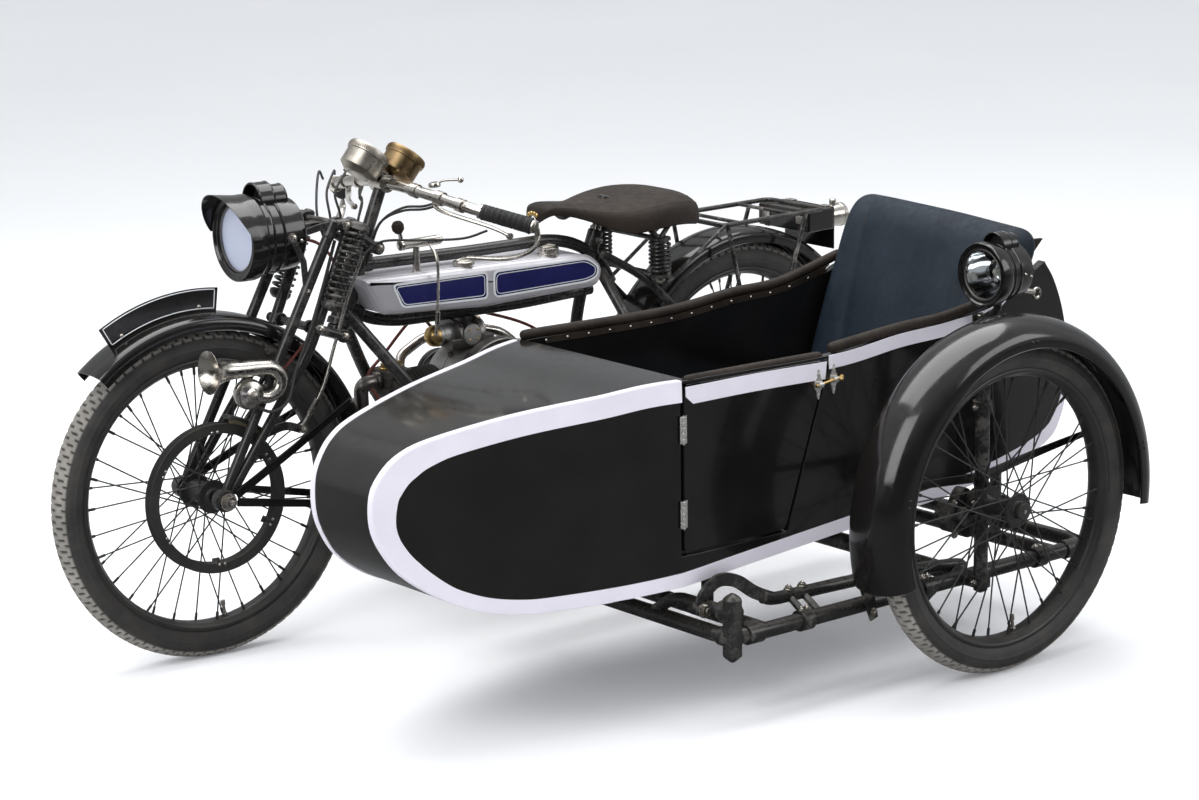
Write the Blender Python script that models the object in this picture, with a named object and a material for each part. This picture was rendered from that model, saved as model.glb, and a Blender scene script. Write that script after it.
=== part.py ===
"""Motorcycle and sidecar of about 1920: flat twin engine, girder fork, belt rims, coachbuilt sidecar.

X points forward, Y to the left where the sidecar is, and Z up. Lengths are in metres. Places on the
motorcycle are shares of the wheelbase, measured from the rear axle. Places on the sidecar's body are
shares of that body's length and height, measured from its tail and its lowest line.
"""

import math

import bmesh
import bpy
from mathutils import Matrix, Vector

# Driving sizes
wheelbase = 1.40
wheel_radius = 0.33
tyre_radius = 0.033
sidecar_wheel_y = 1.125
sidecar_wheel_x_share = 0.2193
seam = 0.0003
running_gap = 0.0055
overrun = 0.02

# Steering
head_angle = math.radians(23.0)
steer_angle = math.radians(-5.3)
head_share = (0.7629, 0.0, 0.2186)
head_radius = 0.023
stem_radius = 0.012
head_length = 0.158
head_drop = 0.01

# Frame tubes and lugs
main_tube_radius = 0.013
stay_radius = 0.009
lug_radius = 0.019
lug_length = 0.045
axle_radius = 0.008
axle_nut_radius = 0.014
axle_nut_length = 0.012
fork_end_thickness = 0.008
rear_stay_y = 0.098
bend_share = 0.05
top_tube_shares = ((0.7293, 0.0, 0.2968), (0.7071, 0.0, 0.2954), (0.5229, 0.0, 0.2893),
                   (0.3714, 0.0, 0.2879), (0.3214, 0.0, 0.2757), (0.2757, 0.0, 0.2471),
                   (0.2514, 0.0, 0.2071))
tank_rail_shares = ((0.7536, 0.0, 0.2393), (0.7143, 0.0, 0.2157), (0.6643, 0.0, 0.2043),
                    (0.4286, 0.0, 0.1979), (0.2929, 0.0, 0.2014))
seat_tube_shares = ((0.28, 0.0, 0.2893), (0.2929, 0.0, 0.2571), (0.3229, 0.0, 0.1557),
                    (0.3343, 0.0, -0.0214))
cradle_shares = ((0.7586, 0.0086, 0.2321), (0.675, 0.0586, 0.1107), (0.5893, 0.0629, -0.0214),
                 (0.5643, 0.0629, -0.03), (0.3143, 0.0629, -0.03),
                 (0.2357, 0.0679, -0.0243))
seat_stay_shares = ((0.2821, 0.0143, 0.2571), (0.2357, 0.0607, 0.2214))
cradle_bridge_x_shares = (0.335, 0.565)
cradle_bridge_z_share = -0.03

# Wheels
tyre_segments = 32
tyre_sides = 7
rim_depth = 0.016
rim_half_width = 0.024
rim_lip = 0.006
rim_wall = 0.005
hub_flange_radius = 0.034
hub_barrel_radius = 0.021
hub_half_width = 0.040
hub_flange = 0.005
spoke_count = 12
spoke_radius = 0.0021
spoke_lean = math.radians(58.0)
spoke_rim_y = 0.006
front_belt_rim_radius = 0.150
rear_belt_rim_radius = 0.205
belt_rim_half_width = 0.0125
belt_rim_depth = 0.020
belt_rim_y = 0.0495
belt_rim_web = 0.005
belt_groove = 0.010
belt_rim_arm_radius = 0.005
belt_rim_arms = 6

# Front fork
blade_y = 0.083
blade_radius = 0.0105
blade_lug_radius = 0.0126
front_blade_shares = ((0.8014, 0.0, 0.3679), (0.8964, 0.0, 0.1943), (0.9943, 0.0, 0.0157))
rear_blade_shares = ((0.7721, 0.0, 0.3679), (0.85, 0.0, 0.1929), (0.9821, 0.0, 0.0157))
fork_tie_share = (0.8729, 0.0, 0.1929)
upper_spindle_share = (0.7857, 0.0, 0.3679)
lower_spindle_share = (0.8371, 0.0, 0.225)
spindle_radius = 0.007
link_thickness = 0.007
link_radius = 0.013
link_y = 0.0625
yoke_thickness = 0.024
yoke_radius = 0.027
yoke_tongue_half = 0.016
spring_radius = 0.015
spring_wire = 0.0028
spring_turns = 6
spring_y = 0.112
spring_eye_radius = 0.0065
spring_ends_shares = ((0.7679, 0.0, 0.3643), (0.8179, 0.0, 0.2557))

# Front mudguard, plate and lamp
guard_gap = 0.036
guard_wall = 0.0025
guard_half_width = 0.052
guard_valance = 0.030
front_guard_angles = (math.radians(49.0), math.radians(196.0))
rear_guard_angles = (math.radians(28.0), math.radians(163.0))
guard_section_shares = ((-1.0, -1.0), (-0.94, -0.25), (-0.60, -0.03), (0.60, -0.03), (0.94, -0.25),
                        (1.0, -1.0))
guard_steps = 14
guard_stay_radius = 0.004
front_plate_height = 0.047
front_plate_thickness = 0.003
front_plate_angles = (math.radians(60.0), math.radians(98.0))
lamp_share = (0.8571, 0.0, 0.3571)
lamp_profile_shares = ((-0.62, 0.0), (-0.60, 0.42), (-0.50, 0.62), (-0.30, 0.78), (0.0, 0.88),
                       (0.28, 0.93),
                       (0.30, 1.0), (0.62, 1.0), (0.62, 0.90), (0.42, 0.88), (0.40, 0.0))
lamp_radius = 0.086
lamp_sides = 16
lamp_glass_thickness = 0.004
lamp_chimney_radius = 0.026
lamp_chimney_height = 0.035
lamp_bracket_half = 0.006
horn_share = (0.9286, 0.0771, 0.175)
horn_bell_radius = 0.034
horn_length = 0.16
horn_throat_radius = 0.008

# Handlebar
bar_radius = 0.0112
grip_radius = 0.0165
bar_clamp_share = (0.6813, 0.0, 0.4107)
bar_shares = ((0.6813, 0.0, 0.4107), (0.6793, 0.0357, 0.4107), (0.6686, 0.1143, 0.4021),
              (0.6557, 0.1821, 0.3907), (0.5921, 0.2657, 0.3629))
grip_from_share = 0.24
lever_radius = 0.0045
lever_shares = ((0.6679, 0.1179, 0.3929), (0.6607, 0.1321, 0.38), (0.625, 0.1929, 0.3607),
                (0.6036, 0.2143, 0.3464))
end_lever_shares = ((0.5921, 0.27, 0.3629), (0.595, 0.2657, 0.3357), (0.6214, 0.2393, 0.32),
                    (0.6607, 0.1893, 0.32))
instrument_shares = ((0.7143, 0.0, 0.4464), (0.6536, 0.0, 0.4357))
instrument_radii = (0.040, 0.036)
instrument_depth = 0.050
instrument_tilt = math.radians(62.0)

# Tank and saddle
tank_half_width = 0.072
tank_outline_shares = ((0.7571, 0.0, 0.2843), (0.7229, 0.0, 0.2286), (0.5321, 0.0, 0.2139),
                       (0.3143, 0.0, 0.2164), (0.3057, 0.0, 0.2443),
                       (0.33, 0.0, 0.2643), (0.3714, 0.0, 0.2704), (0.5307, 0.0, 0.2757), (0.7036, 0.0, 0.2811))
tank_edge_round = 0.014
tank_top_fitting_share = (0.6464, 0.0321, 0.2893)
quadrant_radius = 0.010
quadrant_length = 0.105
knob_radius = 0.012
cap_radius = 0.022
cap_height = 0.012
tank_cap_x_shares = (0.40, 0.56)
saddle_shares = ((0.4, 0.0143, 0.3371), (0.3714, 0.02, 0.3443), (0.3143, 0.0343, 0.3514),
                 (0.2571, 0.0607, 0.3571), (0.2, 0.0843, 0.3586),
                 (0.1429, 0.0943, 0.3464), (0.1107, 0.08, 0.325))
saddle_skirt = 0.045
saddle_wall = 0.012
saddle_spring_radius = 0.021
saddle_spring_wire = 0.0035
saddle_spring_turns = 4
saddle_spring_share = (0.2107, 0.07, 0.2214)
saddle_spring_height = 0.105
saddle_bar_radius = 0.006

# Engine
engine_share = (0.525, 0.0, 0.0893)
crankcase_radius = 0.090
crankcase_half_width = 0.055
crankcase_neck = 0.040
cylinder_reach = 0.215
barrel_radius = 0.040
fin_radius = 0.056
fin_count = 6
fin_thickness = 0.0035
cylinder_spigot = 0.012
valve_chest_half = 0.024
valve_cap_radius = 0.013
valve_cap_height = 0.014
flywheel_radius = 0.112
flywheel_thickness = 0.030
flywheel_y = 0.078
flywheel_hub_radius = 0.030
magneto_size_shares = (0.0786, 0.0643, 0.0335)
magneto_cap_radius = 0.024
magneto_cap_length = 0.035
gearbox_share = (0.4229, -0.0171, 0.0064)
gearbox_half_shares = (0.047, 0.037, 0.0250)
chain_case_thickness = 0.022
chain_case_y = 0.1035
chain_case_radii = (0.055, 0.045)
pulley_radius = 0.046
pulley_half_width = 0.0125
belt_half_width = 0.0095
belt_depth = 0.011
belt_clearance = 0.0008
belt_wheel_steps = 18
carburettor_share = (0.475, -0.0536, 0.1536)
carburettor_radius = 0.019
carburettor_height = 0.062
intake_radius = 0.0105
intake_shares = ((0.6393, -0.0271, 0.1214), (0.625, -0.0429, 0.1393), (0.5714, -0.0536, 0.1586),
                 (0.475, -0.0536, 0.1586),
                 (0.4286, -0.0486, 0.1464), (0.4107, -0.0271, 0.1214))
exhaust_radius = 0.0155
front_exhaust_shares = ((0.7107, -0.0243, 0.0357), (0.6714, -0.0214, -0.0679),
                        (0.6143, -0.0057, -0.0936), (0.5571, 0.0, -0.0936))
rear_exhaust_shares = ((0.375, -0.0986, 0.0), (0.3786, -0.0893, -0.0643), (0.4143, -0.0214, -0.0921),
                       (0.45, 0.0, -0.0921))
silencer_share = (0.475, 0.0, -0.0943)
silencer_radius = 0.043
silencer_length = 0.30
tail_pipe_shares = ((0.3786, -0.0143, -0.0943), (0.3214, -0.0357, -0.0943), (0.2571, -0.0929, -0.0821),
                    (0.0357, -0.1107, -0.0679))
board_share = (0.5429, 0.1357, -0.0443)
board_length = 0.27
board_half_width = 0.042
board_thickness = 0.006
board_rise = 0.05
board_rail_radius = 0.007
board_rail_x_shares = (-0.34, 0.30)

# Rear end
carrier_y = 0.092
carrier_x_shares = (0.075, -0.140)
carrier_height_share = 0.2800
carrier_rail_radius = 0.0055
carrier_bars = 5
lower_post_share = (-0.0214, 0.0743, 0.03)
rear_box_half_shares = (0.028, 0.060, 0.0178)
rear_plate_half_width = 0.080
rear_plate_height = 0.095
rear_plate_thickness = 0.004
rear_lamp_radius = 0.027
rear_lamp_length = 0.055
stand_length = 0.352
stand_radius = 0.0075
stand_y = 0.120
stand_hinge_share = (-0.0086, 0.0, -0.0271)
stand_fold_angle = math.radians(4.0)
stand_clip_length = 0.02

# Sidecar body
body_length = 1.64
body_height = 0.50
body_tail_share = (-0.0593, 0.0, 0.0)
body_floor_share = (0.0, 0.0, -0.0607)
body_centre_y = 0.68
body_half_width = 0.25
body_wall = 0.018
nose_half_width = 0.095
taper_share = 0.634
body_outline_shares = ((0.9988, 0.51), (0.9896, 0.58), (0.9683, 0.65), (0.9305, 0.698), (0.8372, 0.75),
                       (0.7354, 0.78),
                       (0.6372, 0.806), (0.4098, 0.792), (0.2945, 0.82), (0.2091, 0.83), (0.1232, 0.866), (0.0451, 1.),
                       (0.0262, 0.91), (0.0091, 0.766), (0.0, 0.57), (0.0104, 0.348), (0.0512, 0.228), (0.189, 0.132),
                       (0.35, 0.09), (0.55, 0.042), (0.6902, 0.006), (0.7866, 0.0), (0.8335, 0.008), (0.8805, 0.042),
                       (0.9262, 0.112), (0.9652, 0.206), (0.9872, 0.302), (0.9988, 0.398))
cavity_outline_shares = ((0.9854, 0.51), (0.9652, 0.6), (0.9262, 0.658), (0.8372, 0.71), (0.7354, 0.74),
                         (0.6262, 0.77),
                         (0.6262, 1.31), (0.0384, 1.31), (0.139, 0.254), (0.4165, 0.214), (0.4299, 0.114), (0.55, 0.082),
                         (0.6902, 0.046), (0.7866, 0.04), (0.8677, 0.072), (0.9165, 0.138), (0.953, 0.226), (0.9854, 0.39))
boot_outline_shares = ((0.0299, 1.31), (0.014, 1.31), (0.036, 0.91), (0.0195, 0.766), (0.011, 0.57),
                       (0.0213, 0.37),
                       (0.0567, 0.264), (0.1238, 0.214), (0.1345, 0.214))
door_outline_shares = ((0.6335, 0.147), (0.6335, 0.784), (0.4116, 0.772), (0.478, 0.147))
door_gap = 0.0055
door_hinge_z_shares = ((0.0506, 0.622), (0.0506, 0.298))
door_hinge_x_share = (0.6369, -0.49)
hinge_radius = 0.005
hinge_length = 0.052
hinge_stand_off = 0.0065
latch_share = (0.4238, 0.686)
latch_half_length = 0.020
latch_half_height = 0.014
latch_thickness = 0.004
roll_radius = 0.014
far_roll_shares = ((0.1024, 0.91), (0.2091, 0.833), (0.2945, 0.823), (0.4098, 0.795), (0.6329, 0.81))
near_roll_shares = ((0.1189, 0.877), (0.2091, 0.833), (0.2945, 0.823), (0.3982, 0.797))
cushion_shares = ((0.1878, 0.2478), (0.4165, 0.2148), (0.4287, 0.31), (0.4165, 0.4), (0.2335, 0.434),
                  (0.1939, 0.42))
cushion_half_width = 0.222
squab_shares = ((0.1665, 0.45), (0.121, 0.45), (0.0884, 0.79), (0.0582, 1.11), (0.0604, 1.16),
                (0.0738, 1.186),
                (0.0933, 1.166), (0.1116, 1.08), (0.1451, 0.79), (0.1756, 0.49))
squab_half_width = 0.222

# Sidecar chassis
side_tube_radius = 0.0155
cross_tube_radius = 0.0175
outer_tube_y = 1.025
inner_tube_y = 0.345
chassis_z_share = (0.0, 0.0, -0.1157)
chassis_front_share = (0.6607, 0.0, 0.0)
chassis_rear_share = (-0.0321, 0.0, 0.0)
strut_y = 1.066
strut_radius = 0.014
strut_z_shares = ((0.0, 0.0, -0.1286), (0.0, 0.0, 0.2393))
axle_boss_radius = 0.024
mount_radius = 0.012
mount_x_shares = ((0.6, 0.0, 0.0), (0.0357, 0.0, 0.0))
mount_y = (0.50, 0.86)
body_rail_half = 0.008
tie_radius = 0.012
lower_tie_front_shares = ((0.6607, 0.2464, -0.1157), (0.5714, 0.1429, -0.0771), (0.5143, 0.0629, -0.03))
lower_tie_rear_shares = ((-0.0321, 0.2464, -0.1157), (0.0143, 0.1786, -0.0929), (0.0714, 0.07, -0.0107))
upper_tie_shares = ((0.3, 0.2464, -0.1157), (0.2857, 0.2143, 0.0214), (0.2893, 0.0214, 0.2321))
side_guard_half_width = 0.070
side_guard_valance = 0.055
side_guard_gap = 0.048
side_guard_angles = (math.radians(-16.0), math.radians(187.0))
side_guard_section_shares = ((-1.0, -1.0), (-0.94, -0.55), (-0.70, -0.18), (-0.35, -0.03), (0.0, 0.0),
                             (0.35, -0.03), (0.70, -0.18), (0.94, -0.55), (1.0, -1.0))
side_lamp_share = (0.1357, 0.7107, 0.3071)
side_lamp_radius = 0.064
side_lamp_chimney_radius = 0.017
side_lamp_chimney_height = 0.022
lamp_post_radius = 0.008

# Small values shared by several pieces
weld = 0.00001
smooth_angle = math.radians(35.0)
flat_angle = math.radians(0.05)
stand_pin_radius = 0.005
hinge_leaf = 0.002

# Colour, roughness and metallic value of each finish
finishes = {
    "black enamel": ((0.012, 0.012, 0.013), 0.25, 0.0),
    "silver enamel": ((0.55, 0.56, 0.58), 0.35, 0.4),
    "nickel": ((0.62, 0.60, 0.56), 0.28, 1.0),
    "brass": ((0.60, 0.42, 0.16), 0.35, 1.0),
    "cast iron": ((0.10, 0.10, 0.10), 0.65, 0.8),
    "aluminium": ((0.55, 0.55, 0.54), 0.45, 1.0),
    "steel": ((0.30, 0.29, 0.28), 0.4, 1.0),
    "tyre rubber": ((0.035, 0.034, 0.032), 0.85, 0.0),
    "grip rubber": ((0.02, 0.02, 0.02), 0.75, 0.0),
    "belt": ((0.09, 0.06, 0.04), 0.8, 0.0),
    "brown leather": ((0.060, 0.038, 0.024), 0.5, 0.0),
    "blue leather": ((0.018, 0.024, 0.034), 0.5, 0.0),
    "glass": ((0.75, 0.78, 0.80), 0.08, 0.0),
}

joint_empties = {}
joint_points = {}


def at(share, y=None):
    """Place on the motorcycle, from shares of the wheelbase measured from the rear axle."""
    x_share, y_share, z_share = share
    across = y_share * wheelbase if y is None else y
    return Vector((x_share * wheelbase, across, wheel_radius + z_share * wheelbase))


def body_at(share, y=body_centre_y):
    """Place on the sidecar's body, from shares of its length and height."""
    x_share, z_share = share
    tail = body_tail_share[0] * wheelbase
    floor = wheel_radius + body_floor_share[2] * wheelbase
    return Vector((tail + x_share * body_length, y, floor + z_share * body_height))


def mirrored(path):
    """The same path on the other side of the middle plane."""
    return [Vector((point.x, -point.y, point.z)) for point in path]


def rounded(path, radius, steps=2):
    """Path with each corner replaced by an arc that touches both runs."""
    points = [Vector(point) for point in path]
    smooth = [points[0]]
    for before, corner, after in zip(points, points[1:], points[2:]):
        back = (before - corner).normalized()
        ahead = (after - corner).normalized()
        half = back.angle(ahead) / 2
        reach = min(radius / math.tan(half), (before - corner).length * 0.45, (after - corner).length * 0.45)
        middle = corner + (back + ahead).normalized() * (reach / math.cos(half))
        start = corner + back * reach - middle
        end = corner + ahead * reach - middle
        turn = start.angle(end)
        for step in range(steps + 1):
            swing = Matrix.Rotation(turn * step / steps, 3, start.cross(end))
            smooth.append(middle + swing @ start)
    smooth.append(points[-1])
    return smooth


def tube(path, radius, sides=8):
    """Closed round bar along a path, mitred at each corner."""
    points = [Vector(point) for point in path]
    runs = [(b - a).normalized() for a, b in zip(points, points[1:])]
    across = runs[0].orthogonal().normalized()
    up = runs[0].cross(across)
    ring = []
    for side in range(sides):
        angle = 2 * math.pi * side / sides
        ring.append(points[0] + (across * math.cos(angle) + up * math.sin(angle)) * radius)
    rings = [ring]
    for index, run in enumerate(runs):
        goal = points[index + 1]
        normal = run + runs[index + 1] if index + 1 < len(runs) else run
        ring = [point + run * ((goal - point).dot(normal) / run.dot(normal)) for point in ring]
        rings.append(ring)
    return loft(rings)


def loft(rings, closed=False):
    """Skin over rings of equally many points, with flat ends unless it closes on itself."""
    count = len(rings[0])
    points = [point for ring in rings for point in ring]
    faces = []
    spans = len(rings) if closed else len(rings) - 1
    for span in range(spans):
        low = span * count
        high = (span + 1) % len(rings) * count
        for side in range(count):
            nxt = (side + 1) % count
            faces.append((low + side, low + nxt, high + nxt, high + side))
    if not closed:
        faces.append(tuple(range(count)))
        faces.append(tuple((len(rings) - 1) * count + side for side in range(count)))
    return points, faces


def slab(outline, low, high, plane="xz"):
    """Flat outline given thickness across its plane, from low to high."""
    def lifted(point, level):
        if plane == "xz":
            return Vector((point[0], level, point[1]))
        if plane == "xy":
            return Vector((point[0], point[1], level))
        return Vector((level, point[0], point[1]))
    return loft([[lifted(point, low) for point in outline], [lifted(point, high) for point in outline]])


def block(low, high):
    """Box between two corners."""
    outline = ((low[0], low[1]), (high[0], low[1]), (high[0], high[1]), (low[0], high[1]))
    return slab(outline, low[2], high[2], "xy")


def turned(profile, centre, axis, steps=24, solid_core=True):
    """Profile of (along, radius) points turned about an axis through centre."""
    axis = Vector(axis).normalized()
    across = axis.orthogonal().normalized()
    up = axis.cross(across)
    if not solid_core:
        rings = []
        for step in range(steps):
            angle = 2 * math.pi * step / steps
            out = across * math.cos(angle) + up * math.sin(angle)
            rings.append([centre + axis * along + out * radius for along, radius in profile])
        return loft(rings, closed=True)
    rings = []
    for along, radius in profile:
        ring = []
        for step in range(steps):
            angle = 2 * math.pi * step / steps
            ring.append(centre + axis * along + (across * math.cos(angle) + up * math.sin(angle)) * radius)
        rings.append(ring)
    return loft(rings)


def rod(start, end, radius, sides=8):
    """Straight round bar."""
    return tube((start, end), radius, sides)


def clear_radius(radius, sides=8):
    """Radius of a many-sided bore whose flats clear a round bar whichever way it is turned."""
    return (radius + seam) / math.cos(math.pi / sides)


def helix(start, end, radius, turns, per_turn=9):
    """Points of a coil from start to end."""
    axis = (end - start).normalized()
    across = axis.orthogonal().normalized()
    up = axis.cross(across)
    count = turns * per_turn
    points = []
    for index in range(count + 1):
        angle = 2 * math.pi * index / per_turn
        middle = start.lerp(end, index / count)
        points.append(middle + (across * math.cos(angle) + up * math.sin(angle)) * radius)
    return points


def as_mesh(name, shapes):
    """One mesh from closed shapes, with their faces turned outwards."""
    build = bmesh.new()
    for points, faces in shapes:
        verts = [build.verts.new(point) for point in points]
        for face in faces:
            build.faces.new([verts[index] for index in face])
    bmesh.ops.recalc_face_normals(build, faces=build.faces)
    mesh = bpy.data.meshes.new(name)
    build.to_mesh(mesh)
    build.free()
    return mesh


def boolean(base, shapes, operation):
    """Base mesh with shapes joined to it, cut from it or kept in common with it."""
    target = bpy.data.objects.new("target", base)
    tool = bpy.data.objects.new("tool", as_mesh("tool", shapes))
    for helper in (target, tool):
        bpy.context.scene.collection.objects.link(helper)
    step = target.modifiers.new("step", 'BOOLEAN')
    step.operation = operation
    step.solver = 'EXACT'
    step.use_self = len(shapes) > 1
    step.object = tool
    depsgraph = bpy.context.evaluated_depsgraph_get()
    result = bpy.data.meshes.new_from_object(target.evaluated_get(depsgraph))
    for helper in (target, tool):
        mesh = helper.data
        bpy.data.objects.remove(helper)
        bpy.data.meshes.remove(mesh)
    return result


def joint_empty(name, point, parent=None):
    """Empty on a joint's axis, which carries the pieces of one body."""
    empty = bpy.data.objects.new(name, None)
    bpy.context.scene.collection.objects.link(empty)
    joint_points[name] = point
    joint_empties[name] = empty
    if parent:
        empty.parent = joint_empties[parent]
        empty.location = point - joint_points[parent]
    return empty


def solid(name, shapes, finish, body="outfit", cuts=(), common=()):
    """Named piece: the union of its shapes, less its cuts, on the body that carries it."""
    mesh = as_mesh(name, shapes[:1])
    if len(shapes) > 1:
        mesh = boolean(mesh, shapes[1:], 'UNION')
    if common:
        mesh = boolean(mesh, common, 'INTERSECT')
    for cut in cuts:
        mesh = boolean(mesh, [cut], 'DIFFERENCE')
    mesh.transform(Matrix.Translation(-joint_points[body]))
    build = bmesh.new()
    build.from_mesh(mesh)
    bmesh.ops.remove_doubles(build, verts=build.verts, dist=weld)
    bmesh.ops.dissolve_limit(build, angle_limit=flat_angle, verts=build.verts, edges=build.edges)
    build.to_mesh(mesh)
    build.free()
    mesh.name = name
    colour, roughness, metallic = finishes[finish]
    material = bpy.data.materials.new(f"{name} {finish}")
    material.use_nodes = True
    shader = material.node_tree.nodes["Principled BSDF"]
    shader.inputs["Base Color"].default_value = (*colour, 1.0)
    shader.inputs["Roughness"].default_value = roughness
    shader.inputs["Metallic"].default_value = metallic
    mesh.materials.clear()
    mesh.materials.append(material)
    mesh.shade_smooth()
    mesh.set_sharp_from_angle(angle=smooth_angle)
    piece = bpy.data.objects.new(name, mesh)
    bpy.context.scene.collection.objects.link(piece)
    piece.parent = joint_empties[body]
    return piece


def steering_axis():
    """Unit vector up the steering axis, which leans back."""
    return Vector((-math.sin(head_angle), 0.0, math.cos(head_angle)))


def make_joints():
    """Empties for the whole outfit and for each moving body."""
    rear_axle = Vector((0.0, 0.0, wheel_radius))
    front_axle = Vector((wheelbase, 0.0, wheel_radius))
    side_axle = Vector((sidecar_wheel_x_share * wheelbase, sidecar_wheel_y, wheel_radius))
    outfit = joint_empty("outfit", Vector((0.0, 0.0, 0.0)))
    front_reach = wheelbase + wheel_radius
    rear_reach = stand_length + stand_radius - at(stand_hinge_share).x
    right_reach = -at(bar_shares[-1]).y - bar_radius
    left_reach = sidecar_wheel_y + side_guard_half_width
    outfit.location = Vector(((rear_reach - front_reach) / 2, (right_reach + left_reach) / -2, 0.0))
    steering = joint_empty("steering", at(head_share), "outfit")
    steering.rotation_mode = 'AXIS_ANGLE'
    steering.rotation_axis_angle = (steer_angle, *steering_axis())
    joint_empty("front_wheel", front_axle, "steering")
    joint_empty("rear_wheel", rear_axle, "outfit")
    joint_empty("sidecar_wheel", side_axle, "outfit")
    joint_empty("rear_stand", at(stand_hinge_share), "outfit")
    hinge = body_at((door_hinge_x_share[0], 0.5), body_centre_y + body_half_width + hinge_stand_off)
    joint_empty("door", hinge, "outfit")


def along(point, direction, distance):
    """Point moved a distance along a direction."""
    return point + direction.normalized() * distance


def frame_tubes(gap=0.0):
    """Main tubes and stays of the frame, each thicker by a gap where they cut a neighbour."""
    bend = wheelbase * bend_share
    tubes = []
    for shares in (top_tube_shares, tank_rail_shares, seat_tube_shares):
        tubes.append(tube(rounded([at(share) for share in shares], bend), main_tube_radius + gap, 8))
    fork_end = Vector((0.0, rear_stay_y, wheel_radius))
    cradle = rounded([at(share) for share in cradle_shares] + [fork_end], bend)
    stay = rounded([at(share) for share in seat_stay_shares] + [fork_end], bend)
    for side in (1, -1):
        for path, radius in ((cradle, main_tube_radius), (stay, stay_radius)):
            tubes.append(tube([Vector((p.x, p.y * side, p.z)) for p in path], radius + gap, 8))
    return tubes


def seat_lugs(radius=lug_radius, gap=0.0):
    """Lugs that join the seat tube to the top tube and the tank rail."""
    top, knee, low = (at(share) for share in seat_tube_shares[:3])
    return [rod(along(top, top - knee, gap), knee, radius),
            rod(knee, along(knee, low - knee, lug_length + gap), radius)]


def make_frame():
    """Brazed frame: head lug, tubes, rear fork ends and the axle that carries the rear wheel."""
    axis = steering_axis()
    head = at(head_share)
    head_low = along(head, axis, -head_drop)
    head_high = along(head_low, axis, head_length)
    shapes = [rod(head_low, head_high, head_radius, 10)]
    shapes += frame_tubes()
    pin = at(stand_hinge_share)
    for side in (1, -1):
        lug = Vector((0.0, side * rear_stay_y, wheel_radius))
        shapes.append(rod(lug, Vector((pin.x, lug.y, pin.z)), stay_radius * 1.1))
        shapes.append(rod(Vector((pin.x, lug.y - side * stand_pin_radius, pin.z)),
                          Vector((pin.x, side * (stand_y + stand_radius * 1.4), pin.z)), stand_pin_radius))
        shapes.append(rod(Vector((0.0, side * (rear_stay_y - fork_end_thickness), wheel_radius)),
                          Vector((0.0, side * (rear_stay_y + fork_end_thickness), wheel_radius)), lug_radius * 1.3))
    for x_share in cradle_bridge_x_shares:
        reach = at(cradle_shares[3]).y
        level = at((0.0, 0.0, cradle_bridge_z_share))
        shapes.append(rod(Vector((x_share * wheelbase, -reach, level.z)), Vector((x_share * wheelbase, reach, level.z)),
                          stay_radius))
    nut = rear_stay_y + fork_end_thickness + axle_nut_length
    shapes.append(rod(Vector((0.0, -nut, wheel_radius)), Vector((0.0, nut, wheel_radius)), axle_radius))
    for side in (1, -1):
        shapes.append(rod(Vector((0.0, side * (nut - axle_nut_length), wheel_radius)), Vector((0.0, side * nut, wheel_radius)),
                          axle_nut_radius, 6))
    shapes += seat_lugs()
    bore = rod(along(head_low, axis, -overrun), along(head_high, axis, overrun), clear_radius(stem_radius, 12), 12)
    solid("frame", shapes, "black enamel", cuts=[bore])


def tyre_profile():
    """Round section cut flat where the rim fills it."""
    seat = wheel_radius - 2 * tyre_radius + rim_lip
    middle = wheel_radius - tyre_radius
    half = math.acos((middle - seat) / tyre_radius)
    points = []
    for side in range(tyre_sides):
        angle = half + (2 * math.pi - 2 * half) * side / (tyre_sides - 1)
        points.append((tyre_radius * math.sin(angle), middle - tyre_radius * math.cos(angle)))
    return points, seat


def rim_profile(seat):
    """Well of the rim under the tyre."""
    outer = seat - seam
    return ((-rim_half_width, outer), (-rim_half_width, outer - rim_wall), (-rim_half_width / 2, outer - rim_depth),
            (rim_half_width / 2, outer - rim_depth), (rim_half_width, outer - rim_wall), (rim_half_width, outer))


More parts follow.
